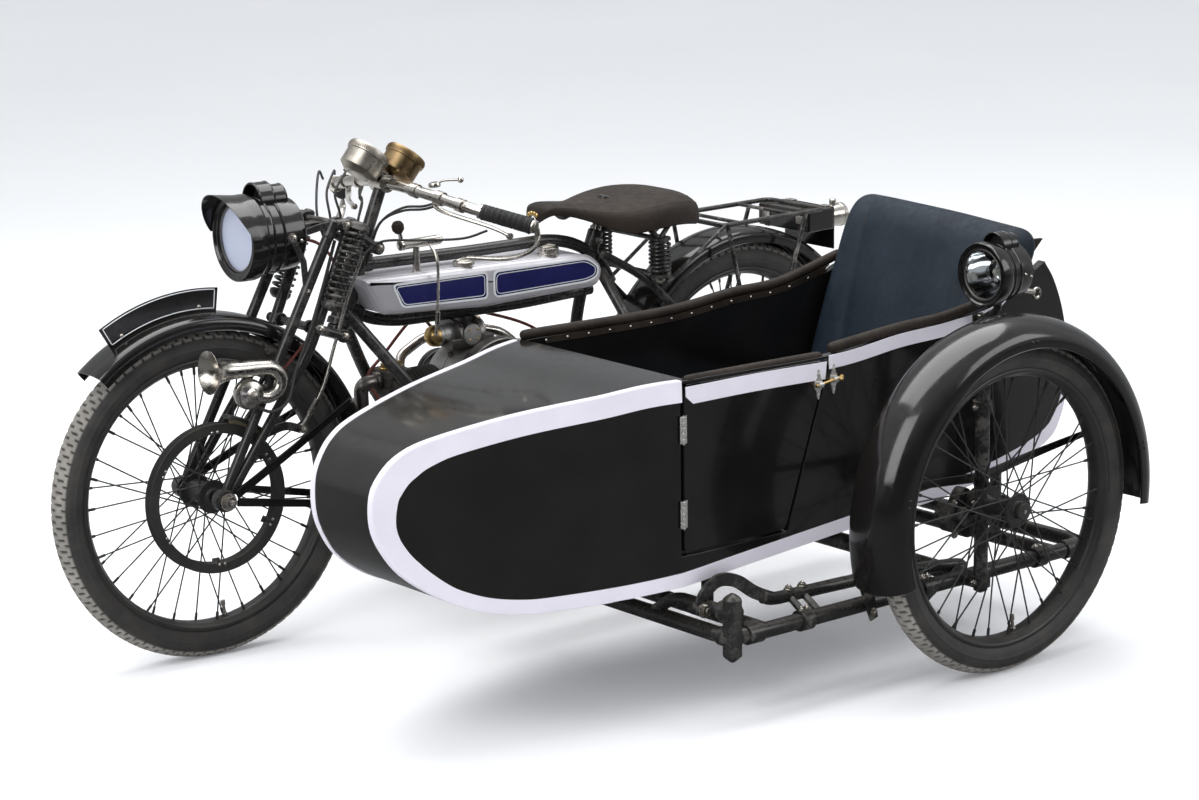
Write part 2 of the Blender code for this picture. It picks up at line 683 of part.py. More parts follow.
def make_wheel(body, belt_radius=None, belt_side_steps=24):
    """Tyre, and rim with spokes, bored hub and belt rim, about the wheel's own axle."""
    centre = joint_points[body]
    axis = Vector((0.0, 1.0, 0.0))
    section, seat = tyre_profile()
    solid(f"{body}_tyre", [turned(section, centre, axis, tyre_segments, False)], "tyre rubber", body)
    bore = clear_radius(axle_radius, 12)
    hub = ((-hub_half_width, bore), (hub_half_width, bore), (hub_half_width, hub_flange_radius),
           (hub_half_width - hub_flange, hub_flange_radius), (hub_half_width - hub_flange, hub_barrel_radius),
           (hub_flange - hub_half_width, hub_barrel_radius), (hub_flange - hub_half_width, hub_flange_radius),
           (-hub_half_width, hub_flange_radius))
    shapes = [turned(rim_profile(seat), centre, axis, tyre_segments, False), turned(hub, centre, axis, 12, False)]
    inner = hub_flange_radius - hub_flange
    outer = seat - rim_depth / 2
    for index in range(spoke_count):
        side = 1 if index % 2 else -1
        lean = spoke_lean if index // 2 % 2 else -spoke_lean
        angle = 2 * math.pi * index / spoke_count
        start = Vector((math.cos(angle + lean) * inner, side * (hub_half_width - hub_flange / 2),
                        math.sin(angle + lean) * inner))
        end = Vector((math.cos(angle) * outer, side * spoke_rim_y, math.sin(angle) * outer))
        shapes.append(tube((centre + start, centre + end), spoke_radius, 3))
    if belt_radius:
        low = belt_rim_y - belt_rim_half_width
        high = belt_rim_y + belt_rim_half_width
        floor = belt_radius - belt_groove
        inside = belt_radius - belt_rim_depth
        belt_rim = ((low, inside), (high, inside), (high, belt_radius), (high - belt_rim_web, belt_radius),
                    (belt_rim_y, floor), (low + belt_rim_web, belt_radius), (low, belt_radius))
        shapes.append(turned(belt_rim, centre, axis, belt_side_steps, False))
        for index in range(belt_rim_arms):
            angle = 2 * math.pi * (index + 0.5) / belt_rim_arms
            out = Vector((math.cos(angle), 0.0, math.sin(angle)))
            start = centre + out * (hub_flange_radius - hub_flange) + axis * (hub_half_width - hub_flange / 2)
            end = centre + out * (inside + hub_flange / 2) + axis * belt_rim_y
            shapes.append(tube((start, end), belt_rim_arm_radius, 4))
    solid(f"{body}_rim", shapes, "black enamel", body)


def fork_blades(gap=0.0):
    """Blades and top lugs of the fork on both sides, each thicker by a gap where they cut a neighbour."""
    front = [at(share) for share in front_blade_shares]
    rear = [at(share) for share in rear_blade_shares]
    axle = joint_points["front_wheel"]
    shapes = []
    for side in (1, -1):
        offset = Vector((0.0, side * blade_y, 0.0))
        for knee, path in ((front[1], front), (rear[1], rear)):
            top = along(path[0], path[0] - knee, gap)
            run = [top] + path[1:] + [axle]
            shapes.append(tube([point + offset for point in run], blade_radius + gap, 6))
        reach = (rear[0] - front[0]).normalized() * gap
        shapes.append(rod(front[0] + offset - reach, rear[0] + offset + reach, blade_lug_radius + gap, 6))
    return shapes


def make_fork():
    """Girder fork: stem and yokes in the head, links, blades, springs and the front axle."""
    axis = steering_axis()
    head = at(head_share)
    low = along(head, axis, -head_drop - seam)
    high = along(head, axis, head_length - head_drop + seam)
    stem_low = along(low, axis, -yoke_thickness)
    stem_high = along(high, axis, yoke_thickness)
    shapes = [rod(stem_low, stem_high, stem_radius, 12)]
    for start, end, spindle_share in ((stem_low, low, lower_spindle_share), (high, stem_high, upper_spindle_share)):
        spindle = at(spindle_share)
        middle = (start + end) / 2
        shapes.append(rod(start, end, yoke_radius, 12))
        lug = Vector((0.0, link_y - link_thickness / 2, 0.0))
        for side in (1, -1):
            shapes.append(rod(middle + lug * side, spindle + lug * side, link_radius * 0.7, 6))
        shapes.append(rod(middle - lug, middle + lug, link_radius * 0.8, 8))
        reach = Vector((0.0, blade_y + blade_radius + link_thickness, 0.0))
        shapes.append(rod(spindle - reach, spindle + reach, spindle_radius, 6))
    top = at(bar_clamp_share)
    shapes.append(rod(stem_high, top, stem_radius * 1.1, 10))
    front = [at(share) for share in front_blade_shares]
    rear = [at(share) for share in rear_blade_shares]
    axle = joint_points["front_wheel"]
    shapes += fork_blades()
    for side in (1, -1):
        offset = Vector((0.0, side * blade_y, 0.0))
        half = Vector((0.0, blade_radius, 0.0))
        shapes.append(rod(axle + offset - half, axle + offset + half, lug_radius * 1.2))
        eye = Vector((0.0, side * (blade_y + blade_radius + guard_stay_radius * 2 + seam * 2), 0.0))
        nut = Vector((0.0, side * axle_nut_length, 0.0))
        shapes.append(rod(axle + eye, axle + eye + nut, axle_nut_radius, 6))
        shapes.append(rod(axle + offset, axle + eye + nut * 1.2, axle_radius))
    reach = Vector((0.0, blade_y, 0.0))
    for side in (1, -1):
        shapes.append(rod(rear[1] + reach * side, front[1] + reach * side, blade_radius * 0.8, 6))
    shapes.append(rod(axle - reach, axle + reach, axle_radius))
    solid("girder_fork", shapes, "black enamel", "steering")
    for side, name in ((1, "left_fork_spring"), (-1, "right_fork_spring")):
        offset = Vector((0.0, side * spring_y, 0.0))
        start, end = (at(share) + offset for share in spring_ends_shares)
        coil = tube(helix(start, end, spring_radius, spring_turns, 6), spring_wire, 4)
        inward = Vector((0.0, side * (blade_y - spring_y), 0.0))
        cap = (end - start).normalized() * spring_wire * 2
        ends = []
        for middle in (start, end):
            ends.append(rod(middle - cap, middle + cap, spring_radius * 1.2, 8))
            ends.append(rod(middle, middle + inward, spring_eye_radius, 6))
        solid(name, [coil] + ends, "nickel", "steering", cuts=fork_blades(seam))


def arch_ring(centre, angle, outer, half_width, valance, section, wall, y):
    """Closed section of a mudguard at one angle round its wheel."""
    out = Vector((math.cos(angle), 0.0, math.sin(angle)))
    ring = []
    for across, drop in section:
        ring.append(centre + out * (outer + drop * valance) + Vector((0.0, y + across * half_width, 0.0)))
    for across, drop in reversed(section):
        level = outer - wall + drop * (valance - wall)
        ring.append(centre + out * level + Vector((0.0, y + across * (half_width - wall), 0.0)))
    return ring


def mudguard(centre, angles, outer, half_width, valance, section, y=0.0, steps=guard_steps):
    """Arched guard with turned-down edges, from one angle to the other."""
    first, last = angles
    rings = []
    for step in range(steps + 1):
        angle = first + (last - first) * step / steps
        rings.append(arch_ring(centre, angle, outer, half_width, valance, section, guard_wall, y))
    return loft(rings)


def round_place(centre, angle, radius, y=0.0):
    """Point round a wheel's centre at an angle from straight ahead."""
    return centre + Vector((math.cos(angle) * radius, y, math.sin(angle) * radius))


def make_front_guard():
    """Front mudguard with its stays, and the blank plate that stands along its top."""
    centre = joint_points["front_wheel"]
    outer = wheel_radius + guard_gap
    guard = mudguard(centre, front_guard_angles, outer, guard_half_width, guard_valance, guard_section_shares)
    shapes = [guard]
    first, last = front_guard_angles
    seat = outer - guard_valance / 2
    stay_end = blade_y + blade_radius + guard_stay_radius + seam
    for angle in (first + math.radians(4.0), last - math.radians(5.0), (first + last) / 2 + math.radians(32.0)):
        for side in (1, -1):
            foot = round_place(centre, angle, lug_radius * 1.2 + guard_stay_radius, side * stay_end)
            tip = round_place(centre, angle, seat, side * (guard_half_width - guard_wall / 2))
            shapes.append(tube((foot, tip), guard_stay_radius, 6))
            shapes.append(tube((foot, round_place(centre, angle, lug_radius, side * stay_end)), guard_stay_radius, 6))
    for side in (1, -1):
        inner = Vector((0.0, side * (blade_y + blade_radius + seam), 0.0))
        outer_face = inner + Vector((0.0, side * guard_stay_radius * 2, 0.0))
        shapes.append(rod(centre + inner, centre + outer_face, lug_radius * 1.2))
    hole = Vector((0.0, stay_end + overrun, 0.0))
    cuts = [rod(centre - hole, centre + hole, clear_radius(axle_radius), 8)]
    solid("front_mudguard", shapes, "black enamel", "steering", cuts=cuts)
    start, end = front_plate_angles
    rings = []
    for step in range(guard_steps // 2 + 1):
        angle = start + (end - start) * step / (guard_steps // 2)
        low = outer - guard_wall * 0.9
        high = outer + front_plate_height
        half = front_plate_thickness / 2
        rings.append([round_place(centre, angle, low, -half), round_place(centre, angle, high, -half),
                      round_place(centre, angle, high, half), round_place(centre, angle, low, half)])
    clear_guard = mudguard(centre, front_guard_angles, outer + seam, guard_half_width, guard_valance, guard_section_shares)
    solid("front_plate", [loft(rings)], "black enamel", "steering", cuts=[clear_guard])


def lamp_profile(radius):
    """Bell of a lamp from its back to its hooded rim, as (along, radius) points."""
    points = [(along_share * radius, max(radius_share, 0.04) * radius) for along_share, radius_share in lamp_profile_shares]
    return points


def make_lamp(name, share, radius, body, chimney_radius, chimney_height, stem):
    """Lamp shell facing forward with a vent on top, its glass and the post or arm that holds it."""
    centre = at(share)
    forward = Vector((1.0, 0.0, 0.0))
    up = Vector((0.0, 0.0, 1.0))
    shell = turned(lamp_profile(radius), centre, forward, lamp_sides)
    vent = turned(((0.0, chimney_radius), (chimney_height, chimney_radius), (chimney_height * 1.3, chimney_radius * 0.5)),
                  centre + up * radius * 0.72 - forward * radius * 0.15, up, 10)
    solid(name, [shell, vent] + stem, "black enamel", body)
    front = radius * lamp_profile_shares[-2][0] + seam
    glass = turned(((front, radius * 0.86), (front + lamp_glass_thickness, radius * 0.86)), centre, forward, lamp_sides)
    solid(f"{name}_glass", [glass], "glass", body)


def make_headlamp():
    """Headlamp on a flat arm from the fork's upper spindle."""
    centre = at(lamp_share)
    spindle = at(upper_spindle_share)
    arm_end = Vector((spindle.x, 0.0, centre.z - lamp_bracket_half))
    half = lamp_bracket_half
    start = spindle.x + spindle_radius + seam
    arm = block((start, -half * 3, spindle.z - half * 2), (centre.x, half * 3, spindle.z + half))
    make_lamp("headlamp", lamp_share, lamp_radius, "steering", lamp_chimney_radius, lamp_chimney_height, [arm])


def make_horn():
    """Bulbless horn: a flared bell on a straight trumpet, with a clip to the fork."""
    tip = at(horn_share)
    forward = Vector((1.0, 0.0, 0.0))
    bell = ((0.0, horn_throat_radius), (horn_length * 0.6, horn_throat_radius * 1.4),
            (horn_length * 0.85, horn_bell_radius * 0.6), (horn_length, horn_bell_radius),
            (horn_length * 0.97, horn_bell_radius * 0.9))
    shapes = [turned(bell, tip, forward, 12)]
    clip_from = tip + forward * horn_length * 0.1
    knee, foot = (at(share, blade_y) for share in front_blade_shares[1:])
    blade = knee.lerp(foot, (knee.z - tip.z) / (knee.z - foot.z))
    shapes.append(rod(clip_from, blade, horn_throat_radius * 0.8, 6))
    solid("horn", shapes, "nickel", "steering", cuts=fork_blades(seam))


def make_handlebar():
    """Swept bar with its clamp, levers, grips and two instruments."""
    half = [at(share) for share in bar_shares]
    right = list(reversed(mirrored(half[1:])))
    bend = wheelbase * 0.04
    whole = rounded(right + half, bend)
    clamp = at(bar_clamp_share)
    stem_top = clamp
    shapes = [tube(whole, bar_radius, 6)]
    shapes.append(rod(clamp - Vector((0.0, bar_radius * 2, 0.0)), clamp + Vector((0.0, bar_radius * 2, 0.0)), bar_radius * 1.7))
    run = (half[-1] - half[-2]).normalized()
    for side in (1, -1):
        plug = [half[-1] - run * lever_radius, half[-1] + run * lever_radius * 2]
        lever = [half[-1] + run * lever_radius * 0.6] + [at(share) for share in end_lever_shares[1:]]
        for path, radius in ((plug, bar_radius * 1.1), (lever, lever_radius), ([at(s) for s in lever_shares], lever_radius)):
            path = [Vector((p.x, p.y * side, p.z)) for p in path]
            shapes.append(tube(rounded(path, bend / 2, 2), radius, 8 if path is plug else 6))
    axis = steering_axis()
    head = at(head_share)
    top = at(bar_clamp_share)
    cut = rod(along(head, axis, head_length / 2), along(top, axis, seam), clear_radius(stem_radius * 1.1), 8)
    solid("handlebar", shapes, "nickel", "steering", cuts=[cut])
    for side, name in ((1, "left_grip"), (-1, "right_grip")):
        inner, end = (at(share) for share in bar_shares[-2:])
        inner, end = (Vector((p.x, p.y * side, p.z)) for p in (inner, end))
        run = (end - inner).normalized()
        start = inner.lerp(end, grip_from_share)
        stop = end - run * lever_radius * 2
        solid(name, [rod(start, stop, grip_radius, 10)], "grip rubber", "steering",
              cuts=[rod(inner.lerp(end, grip_from_share / 2), end + run * overrun, clear_radius(bar_radius), 8)])
    tilt = Vector((-math.cos(instrument_tilt), 0.0, math.sin(instrument_tilt)))
    names = ("speed_instrument", "charge_instrument")
    tops = (clamp + Vector((bar_radius, 0.0, bar_radius)), clamp + Vector((-bar_radius, 0.0, bar_radius)))
    for name, share, radius, seat, finish in zip(names, instrument_shares, instrument_radii, tops, ("nickel", "brass")):
        centre = at(share)
        profile = ((-instrument_depth / 2, radius * 0.7), (-instrument_depth / 3, radius * 0.95), (instrument_depth / 3, radius * 0.95),
                   (instrument_depth / 3, radius), (instrument_depth / 2, radius), (instrument_depth / 2, radius * 0.88),
                   (instrument_depth * 0.42, radius * 0.86))
        pot = turned(profile, centre, tilt, 14)
        leg = rod(centre - tilt * instrument_depth * 0.4, clamp, lever_radius * 1.3, 6)
        reach = Vector((0.0, bar_radius * 2 + overrun, 0.0))
        cuts = [rod(clamp - reach, clamp + reach, bar_radius * 1.7 + seam)]
        solid(name, [pot, leg], finish, "steering", cuts=cuts)


def make_tank():
    """Wedge tank hung between the top tube and the tank rail, with filler caps and the oil quadrant."""
    outline = [at(share) for share in tank_outline_shares]
    flat = [(point.x, point.z) for point in outline]
    shapes = [slab(flat, -tank_half_width, tank_half_width)]
    cuts = frame_tubes(seam) + seat_lugs(clear_radius(lug_radius), seam)
    head = at(head_share)
    axis = steering_axis()
    cuts.append(rod(along(head, axis, -head_drop * 2), along(head, axis, head_length), clear_radius(head_radius, 14), 14))
    for x_share in tank_cap_x_shares:
        foot = Vector((x_share * wheelbase, tank_half_width * 0.62, at(tank_outline_shares[7]).z - cap_height))
        shapes.append(rod(foot, foot + Vector((0.0, 0.0, cap_height * 2.2)), cap_radius, 12))
    solid("fuel_tank", shapes, "silver enamel", cuts=cuts)
    foot = at(tank_top_fitting_share)
    ahead = Vector((1.0, 0.0, 0.0))
    up = Vector((0.0, 0.0, 1.0))
    middle = foot + up * (quadrant_radius * 4.6)
    barrel = rod(middle - ahead * quadrant_length * 0.6, middle + ahead * quadrant_length * 0.4, quadrant_radius, 10)
    rear_top, front_top = outline[-2:]
    top = rear_top.lerp(front_top, (foot.x - rear_top.x) / (front_top.x - rear_top.x))
    base = rod(Vector((foot.x, foot.y, top.z + seam * 2)), middle, quadrant_radius * 0.5, 6)
    knob = rod(middle + ahead * quadrant_length * 0.35, middle + ahead * quadrant_length * 0.35 + up * knob_radius * 2.6,
               knob_radius * 0.4, 6)
    ball = turned(((-knob_radius, knob_radius * 0.4), (-knob_radius * 0.4, knob_radius), (knob_radius * 0.6, knob_radius * 0.8),
                   (knob_radius, knob_radius * 0.3)), middle + ahead * quadrant_length * 0.35 + up * knob_radius * 3, up, 10)
    solid("oil_pump", [barrel, base, knob, ball], "nickel")


def make_saddle():
    """Leather saddle on its frame bar and coil springs."""
    rings = []
    for share in saddle_shares:
        point = at(share)
        half = point.y
        top = point.z
        skirt = saddle_skirt * min(1.0, half / at(saddle_shares[3]).y) * 0.9
        ring = []
        outer = ((-1.0, -1.0), (-0.97, -0.45), (-0.72, -0.08), (-0.3, 0.0), (0.0, -0.03), (0.3, 0.0), (0.72, -0.08),
                 (0.97, -0.45), (1.0, -1.0))
        for across, drop in outer:
            ring.append(Vector((point.x, across * half, top + drop * skirt)))
        for across, drop in reversed(outer):
            inner = max(half - saddle_wall * 0.6, half * 0.5)
            ring.append(Vector((point.x, across * inner, top - saddle_wall + drop * (skirt - saddle_wall))))
        rings.append(ring)
    spring = at(saddle_spring_share)
    top = Vector((0.0, 0.0, saddle_spring_height))
    middle = at(saddle_shares[3])
    nose = at(saddle_shares[1])
    rear = at(saddle_shares[5])
    sunk = saddle_wall + saddle_bar_radius * 0.6
    bars = []
    for side in (1, -1):
        seat = Vector((spring.x, spring.y * side, spring.z)) + top
        nose_end = Vector((nose.x, saddle_bar_radius * side, nose.z - sunk))
        bars.append([seat, Vector((middle.x, side * middle.y * 0.6, nose.z - sunk)), nose_end])
        bars.append([seat, Vector((rear.x, side * rear.y * 0.6, rear.z - sunk - saddle_skirt * 0.06))])
    cuts = []
    for bar in bars:
        clear_bar = [along(bar[0], bar[0] - bar[1], seam)] + bar[1:-1] + [along(bar[-1], bar[-1] - bar[-2], seam)]
        cuts.append(tube(clear_bar, saddle_bar_radius + seam, 6))
    solid("saddle", [loft(rings)], "brown leather", cuts=cuts)
    shapes = [tube(bar, saddle_bar_radius, 6) for bar in bars]
    lift = Vector((0.0, 0.0, saddle_spring_wire * 1.5))
    for side in (1, -1):
        foot = Vector((spring.x, spring.y * side, spring.z))
        coil = tube(helix(foot, foot + top, saddle_spring_radius, saddle_spring_turns, 6), saddle_spring_wire, 4)
        shapes.append(coil)
        shapes.append(rod(foot - lift, foot + lift, saddle_spring_radius * 1.15, 8))
        shapes.append(rod(foot + top - lift, foot + top + lift, saddle_spring_radius * 1.15, 8))
    low = Vector((spring.x, spring.y, spring.z))
    shapes.append(rod(low, Vector((low.x, -low.y, low.z)), saddle_bar_radius, 6))
    top_bar = low + top
    shapes.append(rod(top_bar, Vector((top_bar.x, -top_bar.y, top_bar.z)), saddle_bar_radius, 6))
    post = at(seat_tube_shares[0])
    run = (post - at(seat_tube_shares[1])).normalized()
    clamp = post + run * ((nose.z - sunk - post.z) / run.z)
    reach = Vector((0.0, middle.y * 0.6, 0.0))
    shapes.append(rod(clamp - reach, clamp + reach, saddle_bar_radius * 1.4, 6))
    shapes.append(rod(post + run * seam, clamp, main_tube_radius * 0.8, 8))
    cuts = [rod(post - run * lug_length, post + run * seam, clear_radius(lug_radius), 8)] + frame_tubes(seam)
    solid("saddle_springs", shapes, "nickel", cuts=cuts)


def valve_chest(direction):
    """Lowest and highest corners of a cylinder's valve chest."""
    centre = at(engine_share)
    middle = centre.x + direction * (cylinder_reach - valve_chest_half)
    low = Vector((middle - valve_chest_half * 1.3, -valve_chest_half * 2.45, centre.z))
    high = Vector((middle + valve_chest_half * 1.3, valve_chest_half * 0.4, centre.z + fin_radius))
    return low, high


def valve_feet(direction):
    """Centres of the two valve caps on top of a valve chest."""
    low, high = valve_chest(direction)
    middle = (low + high) / 2
    return [Vector((middle.x + shift * valve_chest_half, middle.y, high.z)) for shift in (-0.6, 0.6)]


def make_cylinder(name, direction):
    """Finned cylinder lying along the motorcycle, with its valve chest and caps."""
    centre = at(engine_share)
    out = Vector((direction, 0.0, 0.0))
    start = crankcase_radius + seam
    first = start + cylinder_spigot
    pitch = (cylinder_reach - first) / fin_count
    profile = [(start, barrel_radius), (first, barrel_radius)]
    for fin in range(fin_count):
        low = first + fin * pitch
        profile += [(low, fin_radius), (low + fin_thickness, fin_radius), (low + fin_thickness, barrel_radius)]
        if fin < fin_count - 1:
            profile.append((low + pitch, barrel_radius))
    profile.append((cylinder_reach, barrel_radius))
    shapes = [turned(profile, centre, out, 10)]
    up = Vector((0.0, 0.0, 1.0))
    shapes.append(block(*valve_chest(direction)))
    for foot in valve_feet(direction):
        shapes.append(rod(foot - up * valve_cap_height, foot + up * valve_cap_height, valve_cap_radius, 8))
    cuts = [turned(((-crankcase_half_width - seam, crankcase_radius + seam), (crankcase_half_width + seam, crankcase_radius + seam)),
                   centre, (0.0, 1.0, 0.0), 24)]
    solid(name, shapes, "cast iron", cuts=cuts)


def make_engine():
    """Flat twin: crankcase, two cylinders, outside flywheel, magneto and carburettor."""
    centre = at(engine_share)
    across = Vector((0.0, 1.0, 0.0))
    case = turned(((-crankcase_half_width, crankcase_radius), (crankcase_half_width, crankcase_radius)), centre, across, 18)
    boss = rod(centre - across * (crankcase_half_width + crankcase_neck / 2), centre + across * (flywheel_y - seam), flywheel_hub_radius * 0.9, 12)
    foot_z = at(cradle_shares[3]).z + main_tube_radius + seam
    foot = block((centre.x - crankcase_radius * 0.5, -at(cradle_shares[3]).y, foot_z),
                 (centre.x + crankcase_radius * 0.5, at(cradle_shares[3]).y, foot_z + cylinder_spigot))
    web = block((centre.x - crankcase_radius * 0.35, -crankcase_half_width * 0.8, foot_z),
                (centre.x + crankcase_radius * 0.35, crankcase_half_width * 0.8, centre.z))
    solid("crankcase", [case, boss, foot, web], "aluminium")
    make_cylinder("front_cylinder", 1)
    make_cylinder("rear_cylinder", -1)
    wheel = ((flywheel_y, flywheel_radius), (flywheel_y + flywheel_thickness, flywheel_radius),
             (flywheel_y + flywheel_thickness, flywheel_radius * 0.84), (flywheel_y + flywheel_thickness * 0.5, flywheel_radius * 0.8),
             (flywheel_y + flywheel_thickness * 0.5, flywheel_hub_radius), (flywheel_y + flywheel_thickness * 1.1, flywheel_hub_radius))
    solid("flywheel", [turned(wheel, centre, across, 18)], "steel")
    length, width, height = (share * wheelbase for share in magneto_size_shares)
    low = centre + Vector((-length * 0.25, -width / 2, crankcase_radius + seam))
    high = low + Vector((length, width, height))
    middle = Vector((high.x, 0.0, (low.z + high.z) / 2 + seam))
    cap = rod(middle - Vector((magneto_cap_length / 2, 0.0, 0.0)), middle + Vector((magneto_cap_length, 0.0, 0.0)), height / 2, 16)
    solid("magneto", [block(low, high), cap], "brass")
    mixer = at(carburettor_share)
    up = Vector((0.0, 0.0, 1.0))
    body = turned(((-carburettor_height, carburettor_radius * 0.8), (-carburettor_height * 0.2, carburettor_radius),
                   (carburettor_height * 0.3, carburettor_radius * 0.9), (carburettor_height * 0.5, carburettor_radius * 0.5)),
                  mixer, up, 10)
    pipe = tube(rounded([at(share) for share in intake_shares], wheelbase * 0.02), intake_radius, 6)
    chest_cuts = []
    for direction in (1, -1):
        low, high = valve_chest(direction)
        gap = Vector((seam, seam, seam))
        chest_cuts.append(block(low - gap, high + gap))
        for foot in valve_feet(direction):
            chest_cuts.append(rod(foot - up * valve_cap_height, foot + up * (valve_cap_height + seam),
                                  clear_radius(valve_cap_radius), 8))
    solid("carburettor", [body, pipe], "brass", cuts=chest_cuts)


def make_exhaust():
    """Two exhaust pipes, the silencer under the engine and its tail pipe."""
    bend = wheelbase * 0.03
    pipes = []
    for direction, shares in ((1, front_exhaust_shares), (-1, rear_exhaust_shares)):
        low, high = valve_chest(direction)
        port = Vector((high.x + seam, (low.y + high.y) / 2, (low.z + high.z) / 2 + exhaust_radius * 0.4))
        out = Vector((exhaust_radius * 3, 0.0, 0.0))
        if direction < 0:
            port = Vector(((low.x + high.x) / 2 - exhaust_radius, low.y - seam, port.z))
            out = Vector((0.0, -exhaust_radius * 4, 0.0))
        pipes.append(tube(rounded([port, port + out] + [at(share) for share in shares], bend), exhaust_radius, 8))
    pipes.append(tube(rounded([at(share) for share in tail_pipe_shares], bend), exhaust_radius, 8))
    box = at(silencer_share)
    half = Vector((silencer_length / 2, 0.0, 0.0))
    pipes.append(rod(box - half, box + half, silencer_radius, 10))
    solid("exhaust", pipes, "steel")


def make_drive():
    """Gearbox, the belt pulley on its shaft, the primary chain case and the belt to the rear wheel."""
    box = at(gearbox_share)
    half_x, half_y, half_z = (share * wheelbase for share in gearbox_half_shares)
    across = Vector((0.0, 1.0, 0.0))
    tube_y = at(cradle_shares[3]).y
    tube_top = at(cradle_shares[3]).z + main_tube_radius + seam
    case = block(box - Vector((half_x, half_y, half_z)), box + Vector((half_x, half_y, half_z)))
    low = belt_rim_y - pulley_half_width
    high = belt_rim_y + pulley_half_width
    floor = pulley_radius - belt_depth
    core = pulley_radius * 0.4
    shaft = Vector((box.x, 0.0, box.z))
    groove = ((low, core), (low, pulley_radius), (belt_rim_y, floor), (high, pulley_radius), (high, core))
    pulley = turned(((box.y + half_y * 0.5, core),) + groove, shaft, across, 20)
    foot = block((box.x - half_x * 0.6, -tube_y, tube_top), (box.x + half_x * 0.6, box.y, tube_top + board_thickness))
    clutch = rod(shaft + across * (box.y - half_y * 0.5), shaft - across * (chain_case_y - seam), core, 16)
    solid("gearbox", [case, pulley, foot, clutch], "aluminium")
    crank = at(engine_share)
    outer = -chain_case_y - chain_case_thickness
    front, rear = chain_case_radii
    run = Vector((crank.x - box.x, 0.0, crank.z - box.z))
    tilt = math.atan2(run.z, run.x)
    lean = math.acos((front - rear) / run.length)
    outline = []
    for middle, radius, first, last in ((crank, front, tilt - lean, tilt + lean),
                                        (box, rear, tilt + lean, tilt + 2 * math.pi - lean)):
        for step in range(9):
            angle = first + (last - first) * step / 8
            outline.append((middle.x + radius * math.cos(angle), middle.z + radius * math.sin(angle)))
    solid("chain_case", [slab(outline, outer, -chain_case_y)], "black enamel")
    wheel = joint_points["rear_wheel"]
    big = (rear_belt_rim_radius + belt_clearance) / math.cos(math.pi / belt_wheel_steps)
    small = (pulley_radius - belt_depth * 0.3) / math.cos(math.pi / belt_wheel_steps)
    run = Vector((box.x - wheel.x, 0.0, box.z - wheel.z))
    tilt = math.atan2(run.z, run.x)
    lean = math.acos((big - small) / run.length)
    loops = []
    for extra in (0.0, belt_depth * 0.6):
        loop = []
        for middle, radius, first, last, steps in ((box, small, tilt - lean, tilt + lean, 8),
                                                   (wheel, big, tilt + lean, tilt + 2 * math.pi - lean, 20)):
            for step in range(steps + 1):
                angle = first + (last - first) * step / steps
                loop.append((middle.x + (radius + extra) * math.cos(angle), middle.z + (radius + extra) * math.sin(angle)))
        loops.append(loop)
    rings = []
    for (inner_x, inner_z), (outer_x, outer_z) in zip(*loops):
        rings.append([Vector((inner_x, belt_rim_y - belt_half_width, inner_z)),
                      Vector((inner_x, belt_rim_y + belt_half_width, inner_z)),
                      Vector((outer_x, belt_rim_y + belt_half_width, outer_z)),
                      Vector((outer_x, belt_rim_y - belt_half_width, outer_z))])
    clear_groove = tuple((level, radius + seam * 1.6) for level, radius in groove)
    solid("drive_belt", [loft(rings, closed=True)], "belt", cuts=[turned(clear_groove, shaft, across, 20)])


def make_boards():
    """Ribbed footboards on two cross rails under the frame."""
    middle = at(board_share)
    shapes = []
    rail_z = at(cradle_shares[3]).z - main_tube_radius - seam - board_rail_radius
    for side in (1, -1):
        y_low = side * middle.y - board_half_width
        y_high = side * middle.y + board_half_width
        half = board_length / 2
        outline = ((middle.x - half, middle.z), (middle.x + half * 0.7, middle.z), (middle.x + half, middle.z + board_rise),
                   (middle.x + half - board_thickness, middle.z + board_rise), (middle.x + half * 0.66, middle.z + board_thickness),
                   (middle.x - half, middle.z + board_thickness))
        shapes.append(slab(outline, y_low, y_high))
    for x_share in board_rail_x_shares:
        x = middle.x + x_share * board_length
        reach = middle.y + board_half_width * 0.8
        shapes.append(rod(Vector((x, -reach, rail_z)), Vector((x, reach, rail_z)), board_rail_radius, 6))
    solid("footboards", shapes, "aluminium")


def carrier_bars_at(level, gap=0.0):
    """Cross bars of the carrier, each thicker by a gap where they cut a neighbour."""
    front_x, rear_x = (share * wheelbase for share in carrier_x_shares)
    bars = []
    for bar in range(carrier_bars + 1):
        x = rear_x + (front_x - rear_x) * bar / carrier_bars
        bars.append(rod(Vector((x, -carrier_y, level)), Vector((x, carrier_y, level)), carrier_rail_radius * 0.8 + gap, 6))
    return bars


